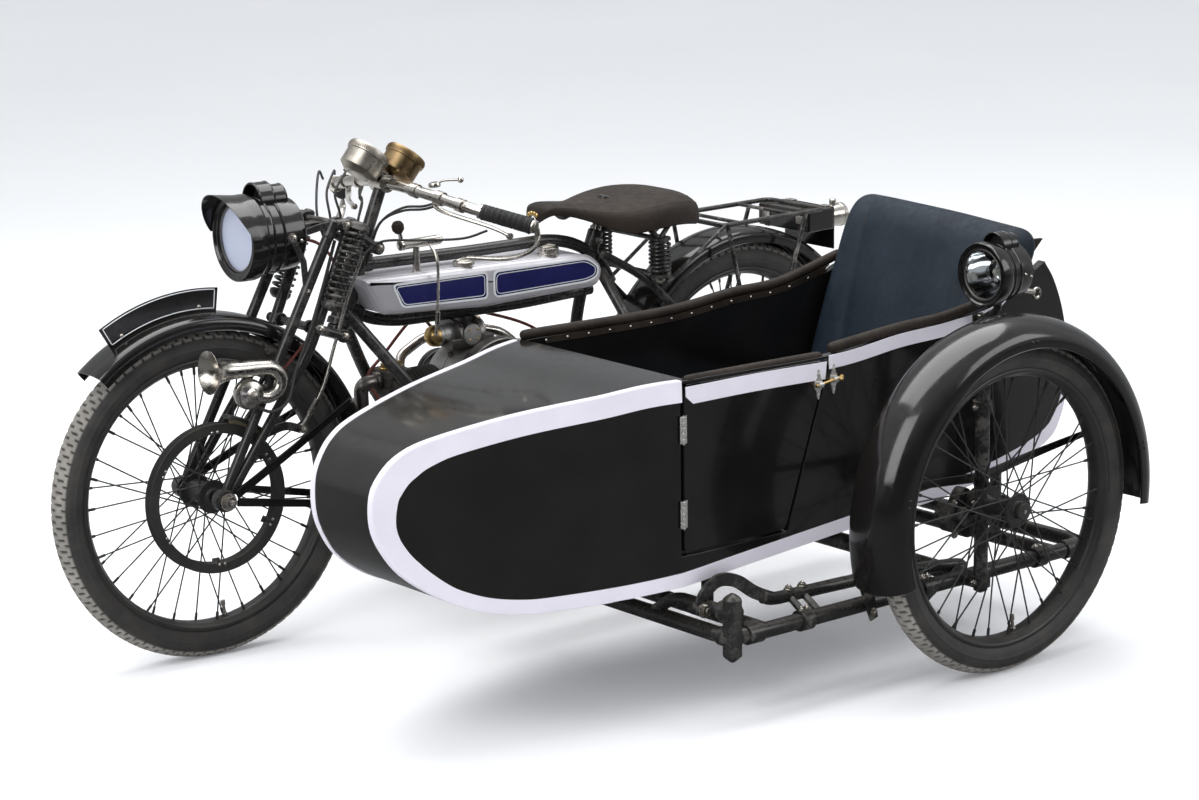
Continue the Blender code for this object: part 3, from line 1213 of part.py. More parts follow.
def make_rear():
    """Rear mudguard, carrier, tool box, blank plate and lamp, and the folding stand."""
    centre = joint_points["rear_wheel"]
    lug = lug_radius * 1.3
    outer = wheel_radius + guard_gap
    guard = mudguard(centre, rear_guard_angles, outer, guard_half_width, guard_valance, guard_section_shares)
    shapes = [guard]
    first, last = rear_guard_angles
    lug_cuts = []
    for side in (1, -1):
        eye = Vector((0.0, side * rear_stay_y, wheel_radius))
        thick = Vector((0.0, fork_end_thickness + seam, 0.0))
        lug_cuts.append(rod(eye - thick, eye + thick, lug + seam))
    lug_cuts += frame_tubes(seam)
    for angle in (last - math.radians(6.0),):
        for side in (1, -1):
            foot = round_place(centre, angle, lug * 0.9, side * rear_stay_y)
            tip = round_place(centre, angle, outer - guard_valance / 2, side * (guard_half_width - guard_wall / 2))
            shapes.append(tube((foot, tip), guard_stay_radius, 6))
    solid("rear_mudguard", shapes, "black enamel", cuts=lug_cuts)
    front_x, rear_x = (share * wheelbase for share in carrier_x_shares)
    level = at((0.0, 0.0, carrier_height_share)).z
    shapes = []
    for side in (1, -1):
        y = side * carrier_y
        shapes.append(rod(Vector((rear_x - carrier_rail_radius, y, level)), Vector((front_x + carrier_rail_radius, y, level)),
                          carrier_rail_radius, 6))
    shapes += carrier_bars_at(level)
    for side in (1, -1):
        for x, foot_x in ((front_x - carrier_rail_radius * 2, 0.25), (rear_x + wheelbase * 0.04, -0.25)):
            foot = Vector((foot_x * lug, side * rear_stay_y, wheel_radius + lug * 0.8))
            shapes.append(rod(foot, Vector((x, side * carrier_y, level)), carrier_rail_radius * 0.9, 6))
    solid("rear_carrier", shapes, "black enamel", cuts=lug_cuts)
    half_x, half_y, half_z = (share * wheelbase for share in rear_box_half_shares)
    top = level - carrier_rail_radius * 0.3
    box = Vector((rear_x, 0.0, top - half_z))
    body = block(box - Vector((half_x, half_y, half_z)), box + Vector((half_x, half_y, half_z)))
    solid("tool_box", [body], "black enamel", cuts=carrier_bars_at(level, seam))
    back = box.x - half_x - seam
    plate = block((back - rear_plate_thickness, -rear_plate_half_width, top - rear_plate_height),
                  (back, rear_plate_half_width, top))
    solid("rear_plate", [plate], "black enamel")
    aft = Vector((-1.0, 0.0, 0.0))
    seat = Vector((back - rear_plate_thickness - seam, rear_plate_half_width * 0.55, top - rear_lamp_radius))
    radius = rear_lamp_radius
    lamp = turned(((0.0, radius * 0.6), (rear_lamp_length * 0.3, radius * 0.9), (rear_lamp_length * 0.9, radius),
                   (rear_lamp_length, radius * 0.9)), seat, aft, 12)
    solid("rear_lamp", [lamp], "nickel")
    hinge = at(stand_hinge_share)
    out = Vector((-math.cos(stand_fold_angle), 0.0, math.sin(stand_fold_angle)))
    shapes = []
    cuts = []
    for side in (1, -1):
        eye = hinge + Vector((0.0, side * stand_y, 0.0))
        half = Vector((0.0, stand_radius, 0.0))
        shapes.append(rod(eye - half, eye + half, stand_radius * 1.6, 10))
        shapes.append(rod(eye + out * stand_radius, eye + out * stand_length, stand_radius, 6))
        cuts.append(rod(eye - half * 2, eye + half * 2, clear_radius(stand_pin_radius), 8))
    reach = Vector((0.0, stand_y + stand_radius, 0.0))
    bar = hinge + out * (stand_length - stand_radius)
    shapes.append(rod(bar - reach, bar + reach, stand_radius, 6))
    solid("rear_stand_legs", shapes, "black enamel", "rear_stand", cuts=cuts)


def plan_outline(inset):
    """Plan of the body: straight sides and a nose tapering to its blunt front."""
    half = body_half_width - inset
    nose = nose_half_width - inset
    tail_x = body_at((0.0, 0.0)).x - overrun
    break_x = body_at((taper_share, 0.0)).x
    front_x = body_at((1.0, 0.0)).x
    slope = (body_half_width - nose_half_width) / (front_x - break_x)
    far_x = front_x + overrun
    far = nose - slope * overrun
    middle = body_centre_y
    return ((tail_x, middle - half), (break_x, middle - half), (far_x, middle - far), (far_x, middle + far),
            (break_x, middle + half), (tail_x, middle + half))


def flat(shares):
    """Outline on the side of the body, as (x, z) points."""
    return [(point.x, point.z) for point in (body_at(share) for share in shares)]


def grown(outline, gap):
    """Outline moved outwards by a gap all round."""
    count = len(outline)
    area = sum(outline[i - 1][0] * outline[i][1] - outline[i][0] * outline[i - 1][1] for i in range(count))
    turn = 1 if area > 0 else -1
    points = []
    for index in range(count):
        before = Vector(outline[index - 1])
        here = Vector(outline[index])
        after = Vector(outline[(index + 1) % count])
        first = (here - before).normalized()
        last = (after - here).normalized()
        first_out = Vector((first.y, -first.x)) * turn
        last_out = Vector((last.y, -last.x)) * turn
        middle = (first_out + last_out).normalized()
        points.append(here + middle * (gap / middle.dot(first_out)))
    return [(point.x, point.y) for point in points]


def make_sidecar_body():
    """Coachbuilt body with its cockpit, boot and door opening, and the door itself."""
    wide = body_half_width + overrun
    level = (body_at((0.0, 0.0)).z - overrun, body_at((0.0, 1.0)).z + body_height)
    outer = slab(flat(body_outline_shares), body_centre_y - wide, body_centre_y + wide)
    plan = slab(plan_outline(0.0), level[0], level[1], "xy")
    inner_plan = slab(plan_outline(body_wall), level[0], level[1], "xy")
    cavity = slab(flat(cavity_outline_shares), body_centre_y - wide, body_centre_y + wide)
    boot = slab(flat(boot_outline_shares), body_centre_y - wide, body_centre_y + wide)
    hollow_mesh = boolean(as_mesh("hollow", [cavity, boot]), [inner_plan], 'INTERSECT')
    shell = boolean(as_mesh("shell", [outer]), [plan], 'INTERSECT')
    side = body_centre_y + body_half_width
    opening = slab(grown(flat(door_outline_shares), door_gap), side - body_wall - seam, side + overrun)
    side_cuts = [opening]
    hinge = joint_points["door"]
    knuckles = []
    for share in door_hinge_z_shares:
        middle = body_at(share)
        middle = Vector((hinge.x, hinge.y, middle.z))
        half = Vector((0.0, 0.0, hinge_length / 2))
        knuckles.append(rod(middle - half, middle + half, hinge_radius, 10))
        knuckles.append(block((hinge.x, side - seam * 10, middle.z - hinge_length / 2),
                              (hinge.x + hinge_radius * 3, side + hinge_leaf, middle.z + hinge_length / 2)))
        knuckles.append(block((hinge.x, side, middle.z - hinge_length / 2),
                              (hinge.x + hinge_radius * 0.8, hinge.y, middle.z + hinge_length / 2)))
    shell_shape = mesh_shape(shell)
    hollow_shape = mesh_shape(hollow_mesh)
    solid("sidecar_body", [shell_shape] + knuckles, "black enamel", cuts=[hollow_shape, opening])
    door = slab(flat(door_outline_shares), side - body_wall, side)
    leaves = []
    for share in door_hinge_z_shares:
        middle = body_at(share)
        leaves.append(block((hinge.x - hinge_radius * 5, side - seam * 10, middle.z - hinge_length / 2),
                            (hinge.x - hinge_radius - seam * 2, side + hinge_leaf, middle.z + hinge_length / 2)))
    solid("sidecar_door", [door] + leaves, "black enamel", "door")
    latch = body_at(latch_share, side)
    plate = block((latch.x - latch_half_length, side + seam, latch.z - latch_half_height),
                  (latch.x + latch_half_length, side + seam + latch_thickness, latch.z + latch_half_height))
    knob = rod(Vector((latch.x, side + latch_thickness / 2, latch.z)), Vector((latch.x, side + latch_thickness * 4, latch.z)),
               latch_thickness, 10)
    solid("door_latch", [plate, knob], "nickel", "door")


def mesh_shape(mesh):
    """Points and faces of a mesh, which is then removed."""
    points = [vertex.co.copy() for vertex in mesh.vertices]
    faces = [tuple(face.vertices) for face in mesh.polygons]
    bpy.data.meshes.remove(mesh)
    return points, faces


def make_trim():
    """Leather roll round the cockpit, the seat cushion and its tall squab on a board."""
    side = body_half_width - body_wall / 2
    near = body_centre_y + side
    far = body_centre_y - side
    lift = Vector((0.0, 0.0, roll_radius * 0.8))
    edge = slab(grown(flat(body_outline_shares), seam), body_centre_y - body_half_width, body_centre_y + body_half_width)
    far_path = [body_at(share, far) + lift for share in far_roll_shares]
    front = body_at(far_roll_shares[-1], near) + lift
    solid("coaming_far", [tube(rounded(far_path + [front], wheelbase * 0.03), roll_radius, 8)], "brown leather", cuts=[edge])
    near_path = [body_at(share, near) + lift for share in near_roll_shares]
    solid("coaming_near", [tube(rounded(near_path, wheelbase * 0.03), roll_radius, 8)], "brown leather", cuts=[edge])
    low = body_centre_y - cushion_half_width
    high = body_centre_y + cushion_half_width
    solid("seat_cushion", [slab(flat(cushion_shares), low, high)], "blue leather")
    low = body_centre_y - squab_half_width
    high = body_centre_y + squab_half_width
    solid("seat_squab", [slab(flat(squab_shares), low, high)], "blue leather")


def make_chassis():
    """Sidecar chassis: tubes, wheel strut and axle, body mounts and the ties to the motorcycle."""
    level = at(chassis_z_share).z
    front = chassis_front_share[0] * wheelbase
    rear = chassis_rear_share[0] * wheelbase
    axle = joint_points["sidecar_wheel"]
    shapes = []
    corners = [Vector((front, outer_tube_y, level)), Vector((rear, outer_tube_y, level)),
               Vector((rear, inner_tube_y, level)), Vector((front, inner_tube_y, level))]
    for start, end in zip(corners, corners[1:] + corners[:1]):
        run = (end - start).normalized() * side_tube_radius * 1.6
        shapes.append(rod(start - run, end + run, side_tube_radius, 10))
    shapes.append(rod(Vector((axle.x, inner_tube_y, level)), Vector((axle.x, strut_y, level)), cross_tube_radius, 10))
    strut = [Vector((axle.x, strut_y, at(share).z)) for share in strut_z_shares]
    shapes.append(rod(strut[0], strut[1], strut_radius, 10))
    shapes.append(rod(Vector((axle.x, strut_y - strut_radius * 1.4, axle.z)), Vector((axle.x, strut_y + strut_radius, axle.z)),
                      axle_boss_radius, 10))
    end = Vector((axle.x, axle.y + hub_half_width + axle_nut_length + seam * 3, axle.z))
    shapes.append(rod(Vector((axle.x, strut_y, axle.z)), end, axle_radius, 10))
    shapes.append(rod(end - Vector((0.0, axle_nut_length, 0.0)), end, axle_nut_radius, 6))
    for share in mount_x_shares:
        for y in mount_y:
            foot = Vector((share[0] * wheelbase, y, level))
            shapes.append(rod(foot, foot + Vector((0.0, 0.0, body_height * 0.4)), mount_radius, 8))
        x = share[0] * wheelbase
        shapes.append(rod(Vector((x, inner_tube_y, level)), Vector((x, outer_tube_y, level)), side_tube_radius, 8))
    for shares in (lower_tie_front_shares, lower_tie_rear_shares, upper_tie_shares):
        shapes.append(tube(rounded([at(share) for share in shares], wheelbase * 0.04), tie_radius, 8))
    grown_body = slab(grown(flat(body_outline_shares), seam), body_centre_y - body_half_width - seam,
                      body_centre_y + body_half_width + seam)
    cuts = [grown_body] + frame_tubes(seam)
    solid("sidecar_chassis", shapes, "black enamel", cuts=cuts)


def make_side_guard():
    """Full-width sidecar mudguard with its stays to the strut, and the lamp on its post."""
    axle = joint_points["sidecar_wheel"]
    outer = wheel_radius + side_guard_gap
    guard = mudguard(axle, side_guard_angles, outer, side_guard_half_width, side_guard_valance,
                     side_guard_section_shares, steps=guard_steps + 6)
    inner = axle.y - side_guard_half_width
    shapes = [guard]
    for angle in (math.radians(12.0), math.radians(165.0)):
        tip = round_place(axle, angle, outer - side_guard_valance, 0.0) + Vector((0.0, guard_wall - side_guard_half_width, 0.0))
        foot = Vector((axle.x, strut_y, axle.z + axle_boss_radius * 2))
        shapes.append(tube((foot, tip), guard_stay_radius * 1.4, 6))
    strut_cut = rod(Vector((axle.x, strut_y, 0.0)), Vector((axle.x, strut_y, at(strut_z_shares[1]).z + seam)),
                    clear_radius(strut_radius), 8)
    solid("sidecar_mudguard", shapes, "black enamel", cuts=[strut_cut])
    lamp = at(side_lamp_share)
    up = Vector((0.0, 0.0, 1.0))
    side = body_centre_y + body_half_width
    foot = Vector((lamp.x, side + seam + lamp_post_radius, body_at(body_outline_shares[9]).z - lamp_post_radius * 4))
    bend = Vector((lamp.x, lamp.y, foot.z + lamp_post_radius * 6))
    post = tube(rounded([foot, foot + up * lamp_post_radius * 3, bend, lamp], wheelbase * 0.02, 3), lamp_post_radius, 6)
    make_lamp("side_lamp", side_lamp_share, side_lamp_radius, "outfit", side_lamp_chimney_radius,
              side_lamp_chimney_height, [post])


def clear_scene():
    """Remove every object of the scene."""
    for item in list(bpy.data.objects):
        bpy.data.objects.remove(item, do_unlink=True)


def main():
    """Build the whole outfit."""
    clear_scene()
    make_joints()
    make_frame()
    make_wheel("front_wheel", front_belt_rim_radius)
    make_wheel("rear_wheel", rear_belt_rim_radius)
    make_wheel("sidecar_wheel")
    make_fork()
    make_front_guard()
    make_headlamp()
    make_horn()
    make_handlebar()
    make_tank()
    make_saddle()
    make_engine()
    make_exhaust()
    make_drive()
    make_boards()
    make_rear()
    make_sidecar_body()
    make_trim()
    make_chassis()
    make_side_guard()


main()
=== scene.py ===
"""Motorcycle and sidecar of about 1920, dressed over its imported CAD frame.

Distances are in metres. Every shape is worked out in the motorcycle's own frame: the origin is on the
ground under the rear axle, X points forward, Y to the sidecar's side and Z up. The pieces of the fork
and the front wheel are worked out pointing straight ahead and are then turned with the steering.
"""

import logging
import math
from dataclasses import dataclass, field
from enum import Enum

import bmesh
import bpy
import numpy as np
from mathutils import Matrix, Vector

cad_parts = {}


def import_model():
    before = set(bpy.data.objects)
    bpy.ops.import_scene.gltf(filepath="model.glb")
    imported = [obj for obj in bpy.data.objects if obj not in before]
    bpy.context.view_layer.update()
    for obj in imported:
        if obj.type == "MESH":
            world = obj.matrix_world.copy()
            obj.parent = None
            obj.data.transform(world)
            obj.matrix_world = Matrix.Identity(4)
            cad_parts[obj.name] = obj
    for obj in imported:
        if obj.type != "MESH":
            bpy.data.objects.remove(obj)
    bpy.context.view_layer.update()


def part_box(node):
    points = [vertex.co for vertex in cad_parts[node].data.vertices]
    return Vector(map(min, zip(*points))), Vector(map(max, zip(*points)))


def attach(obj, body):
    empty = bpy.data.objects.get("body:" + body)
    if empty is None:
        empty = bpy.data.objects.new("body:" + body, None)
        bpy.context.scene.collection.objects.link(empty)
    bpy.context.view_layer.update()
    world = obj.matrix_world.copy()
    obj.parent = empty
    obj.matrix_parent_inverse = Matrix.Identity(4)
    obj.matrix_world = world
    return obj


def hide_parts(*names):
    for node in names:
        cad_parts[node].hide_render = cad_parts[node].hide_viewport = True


Array = np.ndarray
Socket = bpy.types.NodeSocket
Point = tuple[float, float, float]
log = logging.getLogger("sidecar_outfit")

WHEELBASE = 1.40
WHEEL_RADIUS = 0.33
BODY_LENGTH = 1.64
BODY_HEIGHT = 0.50
BODY_TAIL_X = -0.083
BODY_FLOOR_Z = 0.245
BODY_SIDE = 0.25
BODY_CENTRE_Y = 0.68
BODY_TAPER = 0.634
BODY_NOSE_HALF = 0.095
BELT_Y = 0.0495
SIDE_WHEEL_LEAD = 0.2193
TRACK = 1.125
PARKED_STEERING = -5.3
STEERING = ("steering", "front_wheel")


# Places and curves


def at(x_share: float, y_share: float, z_share: float) -> Array:
    """Place given in shares of the wheelbase, measured from the rear axle."""
    return np.array((x_share * WHEELBASE, y_share * WHEELBASE, WHEEL_RADIUS + z_share * WHEELBASE))


def body_at(x_share: float, z_share: float, y: float = BODY_CENTRE_Y) -> Array:
    """Place on the sidecar's body given in shares of its length and height."""
    return np.array((BODY_TAIL_X + x_share * BODY_LENGTH, y, BODY_FLOOR_Z + z_share * BODY_HEIGHT))


def path_of(points: list) -> Array:
    """List of places as one table of points."""
    return np.array([np.asarray(point, float) for point in points])


def other_side(points: Array) -> Array:
    """The same points mirrored in the motorcycle's middle plane."""
    return np.asarray(points, float) * np.array((1.0, -1.0, 1.0))


def unit(vectors: Array) -> Array:
    """Vectors scaled to a length of one."""
    vectors = np.asarray(vectors, float)
    return vectors / np.maximum(np.linalg.norm(vectors, axis=-1, keepdims=True), 1e-12)


def bend(points: list | Array, reach: float, steps: int = 7) -> Array:
    """Path whose corners are rounded.

    Each corner becomes the parabola (1-t)^2 A + 2t(1-t) B + t^2 C, where B is the corner and A and C
    lie on its two runs at the reach, or at 0.45 of a shorter run.

    Args:
        points: the corners of the path.
        reach: how far from a corner its rounding starts.
        steps: spans in one rounding.

    Returns:
        Points of the rounded path.
    """
    points = path_of(list(points))
    if len(points) < 3:
        return points
    back = points[:-2] - points[1:-1]
    ahead = points[2:] - points[1:-1]
    back_length = np.linalg.norm(back, axis=1, keepdims=True)
    ahead_length = np.linalg.norm(ahead, axis=1, keepdims=True)
    near = np.minimum(reach, 0.45 * np.minimum(back_length, ahead_length))
    start = points[1:-1] + unit(back) * near
    end = points[1:-1] + unit(ahead) * near
    t = np.linspace(0.0, 1.0, steps + 1)[None, :, None]
    curve = (1 - t) ** 2 * start[:, None] + 2 * t * (1 - t) * points[1:-1, None] + t**2 * end[:, None]
    return np.vstack((points[:1], curve.reshape(-1, points.shape[1]), points[-1:]))


def spline(points: list | Array, steps: int = 8, closed: bool = False) -> Array:
    """Smooth curve through every point, of the Catmull-Rom form.

    Between B and C it is half of 2B + (C-A)t + (2A-5B+4C-D)t^2 + (3B-A-3C+D)t^3.

    Args:
        points: table of points in any number of dimensions.
        steps: spans between two of them.
        closed: whether the curve returns to its start.

    Returns:
        Points along the curve.
    """
    p = np.asarray(points, float)
    if closed:
        a, b, c, d = np.roll(p, 1, 0), p, np.roll(p, -1, 0), np.roll(p, -2, 0)
    else:
        ends = np.vstack((2 * p[:1] - p[1:2], p, 2 * p[-1:] - p[-2:-1]))
        a, b, c, d = ends[:-3], ends[1:-2], ends[2:-1], ends[3:]
    t = (np.arange(steps) / steps)[None, :, None]
    a, b, c, d = a[:, None], b[:, None], c[:, None], d[:, None]
    curve = 0.5 * (2 * b + (c - a) * t + (2 * a - 5 * b + 4 * c - d) * t**2 + (3 * b - a - 3 * c + d) * t**3)
    curve = curve.reshape(-1, p.shape[1])
    return curve if closed else np.vstack((curve, p[-1:]))


def evenly(points: Array, count: int, closed: bool = False) -> Array:
    """Path walked again in equal lengths.

    Args:
        points: the path.
        count: number of points wanted.
        closed: whether the path returns to its start.

    Returns:
        Points at equal distances along the path.
    """
    p = np.vstack((points, points[:1])) if closed else np.asarray(points, float)
    reach = np.concatenate(([0.0], np.cumsum(np.linalg.norm(np.diff(p, axis=0), axis=1))))
    wanted = np.linspace(0.0, reach[-1], count + 1)[:-1] if closed else np.linspace(0.0, reach[-1], count)
    return np.stack([np.interp(wanted, reach, p[:, i]) for i in range(p.shape[1])], axis=1)


def rounded(corners: Array, reach: float, steps: int) -> Array:
    """Closed outline of any number of dimensions whose corners are rounded."""
    return bend(np.vstack((corners[-1:], corners, corners[:1])), reach, steps)[1:-1]


def oblong(wide: float, high: float) -> Array:
    """Four corners of a flat section, from its half width and half height."""
    return np.array(((-wide, -high), (wide, -high), (wide, high), (-wide, high)))


def coil_path(start: Array, end: Array, radius: float, turns: float, per_turn: int = 18) -> Array:
    """Helix from start to end: the middle line plus a circle of that radius, turned along its length."""
    start, end = np.asarray(start, float), np.asarray(end, float)
    across, up = frame_about(end - start)
    count = int(turns * per_turn)
    share = np.linspace(0.0, 1.0, count + 1)[:, None]
    angle = 2 * math.pi * turns * share
    return start + (end - start) * share + (across * np.cos(angle) + up * np.sin(angle)) * radius


def frame_about(axis: Array) -> tuple[Array, Array]:
    """Two unit vectors square to an axis and to each other."""
    axis = unit(axis)
    helper = np.eye(3)[int(np.argmin(np.abs(axis)))]
    across = unit(np.cross(axis, helper))
    return across, np.cross(axis, across)


# Shapes


@dataclass
class Shape:
    """Surface as a table of points and tables of faces that have equally many corners."""

    points: Array
    faces: list[Array]
    marks: dict[str, Array] = field(default_factory=dict)

    def moved(self, offset: Array) -> "Shape":
        """The same surface moved by an offset."""
        return Shape(self.points + np.asarray(offset, float), self.faces, self.marks)


def grid(rows: Array, wrap_rows: bool = False, wrap_columns: bool = True, caps: bool = True) -> Shape:
    """Surface over a grid of points.

    Args:
        rows: points in rows and columns.
        wrap_rows: whether the last row joins the first.
        wrap_columns: whether the last column joins the first.
        caps: whether the first and last rows are filled, where they don't join.

    Returns:
        The surface, as four-sided faces and its caps.
    """
    m, n = rows.shape[:2]
    i = np.arange(m if wrap_rows else m - 1)[:, None]
    j = np.arange(n if wrap_columns else n - 1)[None, :]
    i2, j2 = (i + 1) % m, (j + 1) % n
    quads = np.stack((i * n + j, i * n + j2, i2 * n + j2, i2 * n + j), axis=-1).reshape(-1, 4)
    faces = [quads]
    if caps and wrap_columns and not wrap_rows:
        faces += [np.arange(n)[None, ::-1], (np.arange(n) + (m - 1) * n)[None, :]]
    return Shape(rows.reshape(-1, 3), faces)


def sweep(
    path: Array,
    radius: float | Array,
    sides: int = 16,
    section: Array | None = None,
    up: Point | None = None,
    closed: bool = False,
) -> Shape:
    """Section carried along a path.

    A point of the surface is the path's point plus the section's two parts along the path's side and
    its up, which is the given direction less its part along the path.

    Args:
        path: points of the middle line.
        radius: size of the section, one value or one for each point.
        sides: points round a round section.
        section: table of (across, up) points, or None for a circle.
        up: direction that the section's up leans to.
        closed: whether the path returns to its start.

    Returns:
        The swept surface, with its ends filled where it doesn't close.
    """
    path = np.asarray(path, float)
    if closed:
        runs = np.roll(path, -1, 0) - np.roll(path, 1, 0)
    else:
        runs = np.gradient(path, axis=0)
    runs = unit(runs)
    if up is None:
        up = np.eye(3)[int(np.argmin(np.abs(runs).max(axis=0)))]
    side = unit(np.cross(np.asarray(up, float), runs))
    lift = np.cross(runs, side)
    if section is None:
        angle = np.arange(sides) * 2 * math.pi / sides
        section = np.stack((np.cos(angle), np.sin(angle)), axis=1)
    size = np.broadcast_to(np.asarray(radius, float), (len(path),))[:, None, None]
    flat = section[None, :, :1] * side[:, None] + section[None, :, 1:] * lift[:, None]
    rows = path[:, None] + size * flat
    return grid(rows, wrap_rows=closed)


def lathe(profile: list | Array, centre: Array, axis: Point, sides: int = 48, ring: bool = False) -> Shape:
    """Profile turned about an axis.

    A point is the centre plus the axis times its distance along it, plus its radius times the circle's
    direction at each angle.

    Args:
        profile: (along, radius) points.
        centre: place from which the distance along is measured.
        axis: direction of the axis.
        sides: points round the axis.
        ring: whether the profile is closed, as on a tyre.

    Returns:
        The turned surface, with its ends filled where the profile is open.
    """
    profile = np.asarray(profile, float)
    axis = unit(axis)
    across, up = frame_about(axis)
    angle = np.arange(sides) * 2 * math.pi / sides
    circle = np.cos(angle)[:, None] * across + np.sin(angle)[:, None] * up
    rows = np.asarray(centre, float) + profile[:, :1, None] * axis + profile[:, 1:, None] * circle[None]
    return grid(rows, wrap_rows=ring)


def rods(starts: Array, ends: Array, radius: float | Array, sides: int = 10) -> Shape:
    """Straight round bars, all at once: a circle round each start and each end, joined and filled."""
    starts = np.atleast_2d(np.asarray(starts, float))
    ends = np.atleast_2d(np.asarray(ends, float))
    runs = unit(ends - starts)
    helper = np.eye(3)[np.argmin(np.abs(runs), axis=1)]
    across = unit(np.cross(runs, helper))
    up = np.cross(runs, across)
    angle = np.arange(sides) * 2 * math.pi / sides
    circle = np.cos(angle)[None, :, None] * across[:, None] + np.sin(angle)[None, :, None] * up[:, None]
    size = np.broadcast_to(np.asarray(radius, float), (len(starts),))[:, None, None]
    rings = np.stack((starts[:, None] + circle * size, ends[:, None] + circle * size), axis=1)
    base = np.arange(len(starts))[:, None, None] * 2 * sides
    j = np.arange(sides)[None, :, None]
    j2 = (j + 1) % sides
    quads = np.concatenate((base + j, base + j2, base + sides + j2, base + sides + j),
                           axis=2).reshape(-1, 4)
    low = (base[:, :, 0] + np.arange(sides)[None, ::-1]).reshape(-1, sides)
    high = (base[:, :, 0] + sides + np.arange(sides)[None]).reshape(-1, sides)
    return Shape(rings.reshape(-1, 3), [quads, low, high])


def prism(outline: Array, low: float, high: float, plane: str = "xz") -> Shape:
    """Flat outline given thickness: each outline point is repeated at a low and a high level across it."""
    outline = np.asarray(outline, float)
    levels = np.array((low, high))[:, None] + np.zeros(len(outline))[None]
    first = np.broadcast_to(outline[:, 0], levels.shape)
    second = np.broadcast_to(outline[:, 1], levels.shape)
    order = {"xz": (first, levels, second), "xy": (first, second, levels), "yz": (levels, first, second)}
    return grid(np.stack(order[plane], axis=-1))


def block(centre: Array, half: Point, turn: Array | None = None) -> Shape:
    """Box about a centre, turned by a matrix whose columns are its own three directions."""
    corners = np.array([[(x, y, z) for x, y in ((-1, -1), (1, -1), (1, 1), (-1, 1))] for z in (-1, 1)],
                       float)
    corners = corners * np.asarray(half, float)
    if turn is not None:
        corners = corners @ np.asarray(turn, float).T
    return grid(corners + np.asarray(centre, float))


def copies(shape: Shape, places: Array, turns: Array | None = None) -> Shape:
    """A shape repeated at many places.

    Args:
        shape: the shape, about the origin.
        places: one place for each copy.
        turns: one 3x3 matrix for each copy, or None.

    Returns:
        All the copies as one shape.
    """
    places = np.atleast_2d(places)
    if turns is None:
        turned = np.broadcast_to(shape.points, (len(places),) + shape.points.shape)
    else:
        turned = np.einsum("nij,pj->npi", turns, shape.points)
    points = (turned + places[:, None]).reshape(-1, 3)
    offsets = np.arange(len(places))[:, None, None] * len(shape.points)
    faces = [(table[None] + offsets).reshape(-1, table.shape[1]) for table in shape.faces]
    marks = {name: np.tile(values, len(places)) for name, values in shape.marks.items()}
    return Shape(points, faces, marks)


def turns_to(directions: Array) -> Array:
    """Matrices that turn the Z direction to each given direction."""
    z = unit(np.atleast_2d(directions))
    helper = np.eye(3)[np.argmin(np.abs(z), axis=1)]
    x = unit(np.cross(helper, z))
    return np.stack((x, np.cross(z, x), z), axis=-1)


def bolt_heads(places: Array, direction: Point | Array, radius: float, height: float) -> Shape:
    """Hexagonal nuts with a washer and a domed end, one at each place, which stand in a direction."""
    washer = lathe(((-height * 0.1, radius * 1.45), (height * 0.2, radius * 1.45)), np.zeros(3),
                   (0, 0, 1), 14)
    nut = lathe(((0, radius * 1.1), (height * 0.9, radius * 1.1), (height, radius * 0.95)), np.zeros(3),
                (0, 0, 1), 6)
    end = lathe(((0, radius * 0.55), (height * 1.4, radius * 0.55), (height * 1.6, radius * 0.3)),
                np.zeros(3), (0, 0, 1), 8)
    places = np.atleast_2d(places)
    directions = np.broadcast_to(np.asarray(direction, float), places.shape)
    return copies(joined([washer, nut, end]), places, turns_to(directions))


def round_heads(places: Array, direction: Point | Array, radius: float, height: float) -> Shape:
    """Domed rivet or screw heads, one at each place, which stand in a direction."""
    angle = np.linspace(0.0, math.pi / 2 * 0.92, 4)
    profile = np.stack((np.sin(angle) * height, np.cos(angle) * radius), axis=1)
    dome = lathe(np.vstack(((-height * 0.2, radius), profile)), np.zeros(3), (0, 0, 1), 10)
    places = np.atleast_2d(places)
    directions = np.broadcast_to(np.asarray(direction, float), places.shape)
    return copies(dome, places, turns_to(directions))


def joined(shapes: list[Shape]) -> Shape:
    """Several shapes as one."""
    offsets = np.cumsum([0] + [len(shape.points) for shape in shapes])
    faces: dict[int, list[Array]] = {}
    for shape, offset in zip(shapes, offsets):
        for table in shape.faces:
            faces.setdefault(table.shape[1], []).append(table + offset)
    names = {name for shape in shapes for name in shape.marks}
    marks = {
        name: np.concatenate([shape.marks.get(name, np.zeros(len(shape.points))) for shape in shapes])
        for name in names
    }
    return Shape(np.vstack([s.points for s in shapes]), [np.vstack(t) for t in faces.values()], marks)


def mirrored(shape: Shape) -> Shape:
    """A shape together with its mirror image on the motorcycle's other side."""
    return joined([shape, Shape(other_side(shape.points), shape.faces, shape.marks)])


def arch(centre: Array, first: float, last: float, section: Array, steps: int = 64) -> Shape:
    """Closed section carried round a wheel.

    Args:
        centre: the wheel's centre.
        first: angle in degrees from straight ahead at which it starts.
        last: angle at which it ends.
        section: (radius, across) points of the section.
        steps: spans along the arch.

    Returns:
        The arched surface: at each angle, the centre plus each radius along that angle's direction.
    """
    angle = np.radians(np.linspace(first, last, steps + 1))
    out = np.stack((np.cos(angle), np.zeros_like(angle), np.sin(angle)), axis=1)
    section = np.asarray(section, float)
    side = np.array((0.0, 1.0, 0.0))
    rows = centre + section[None, :, :1] * out[:, None] + section[None, :, 1:] * side
    return grid(rows)


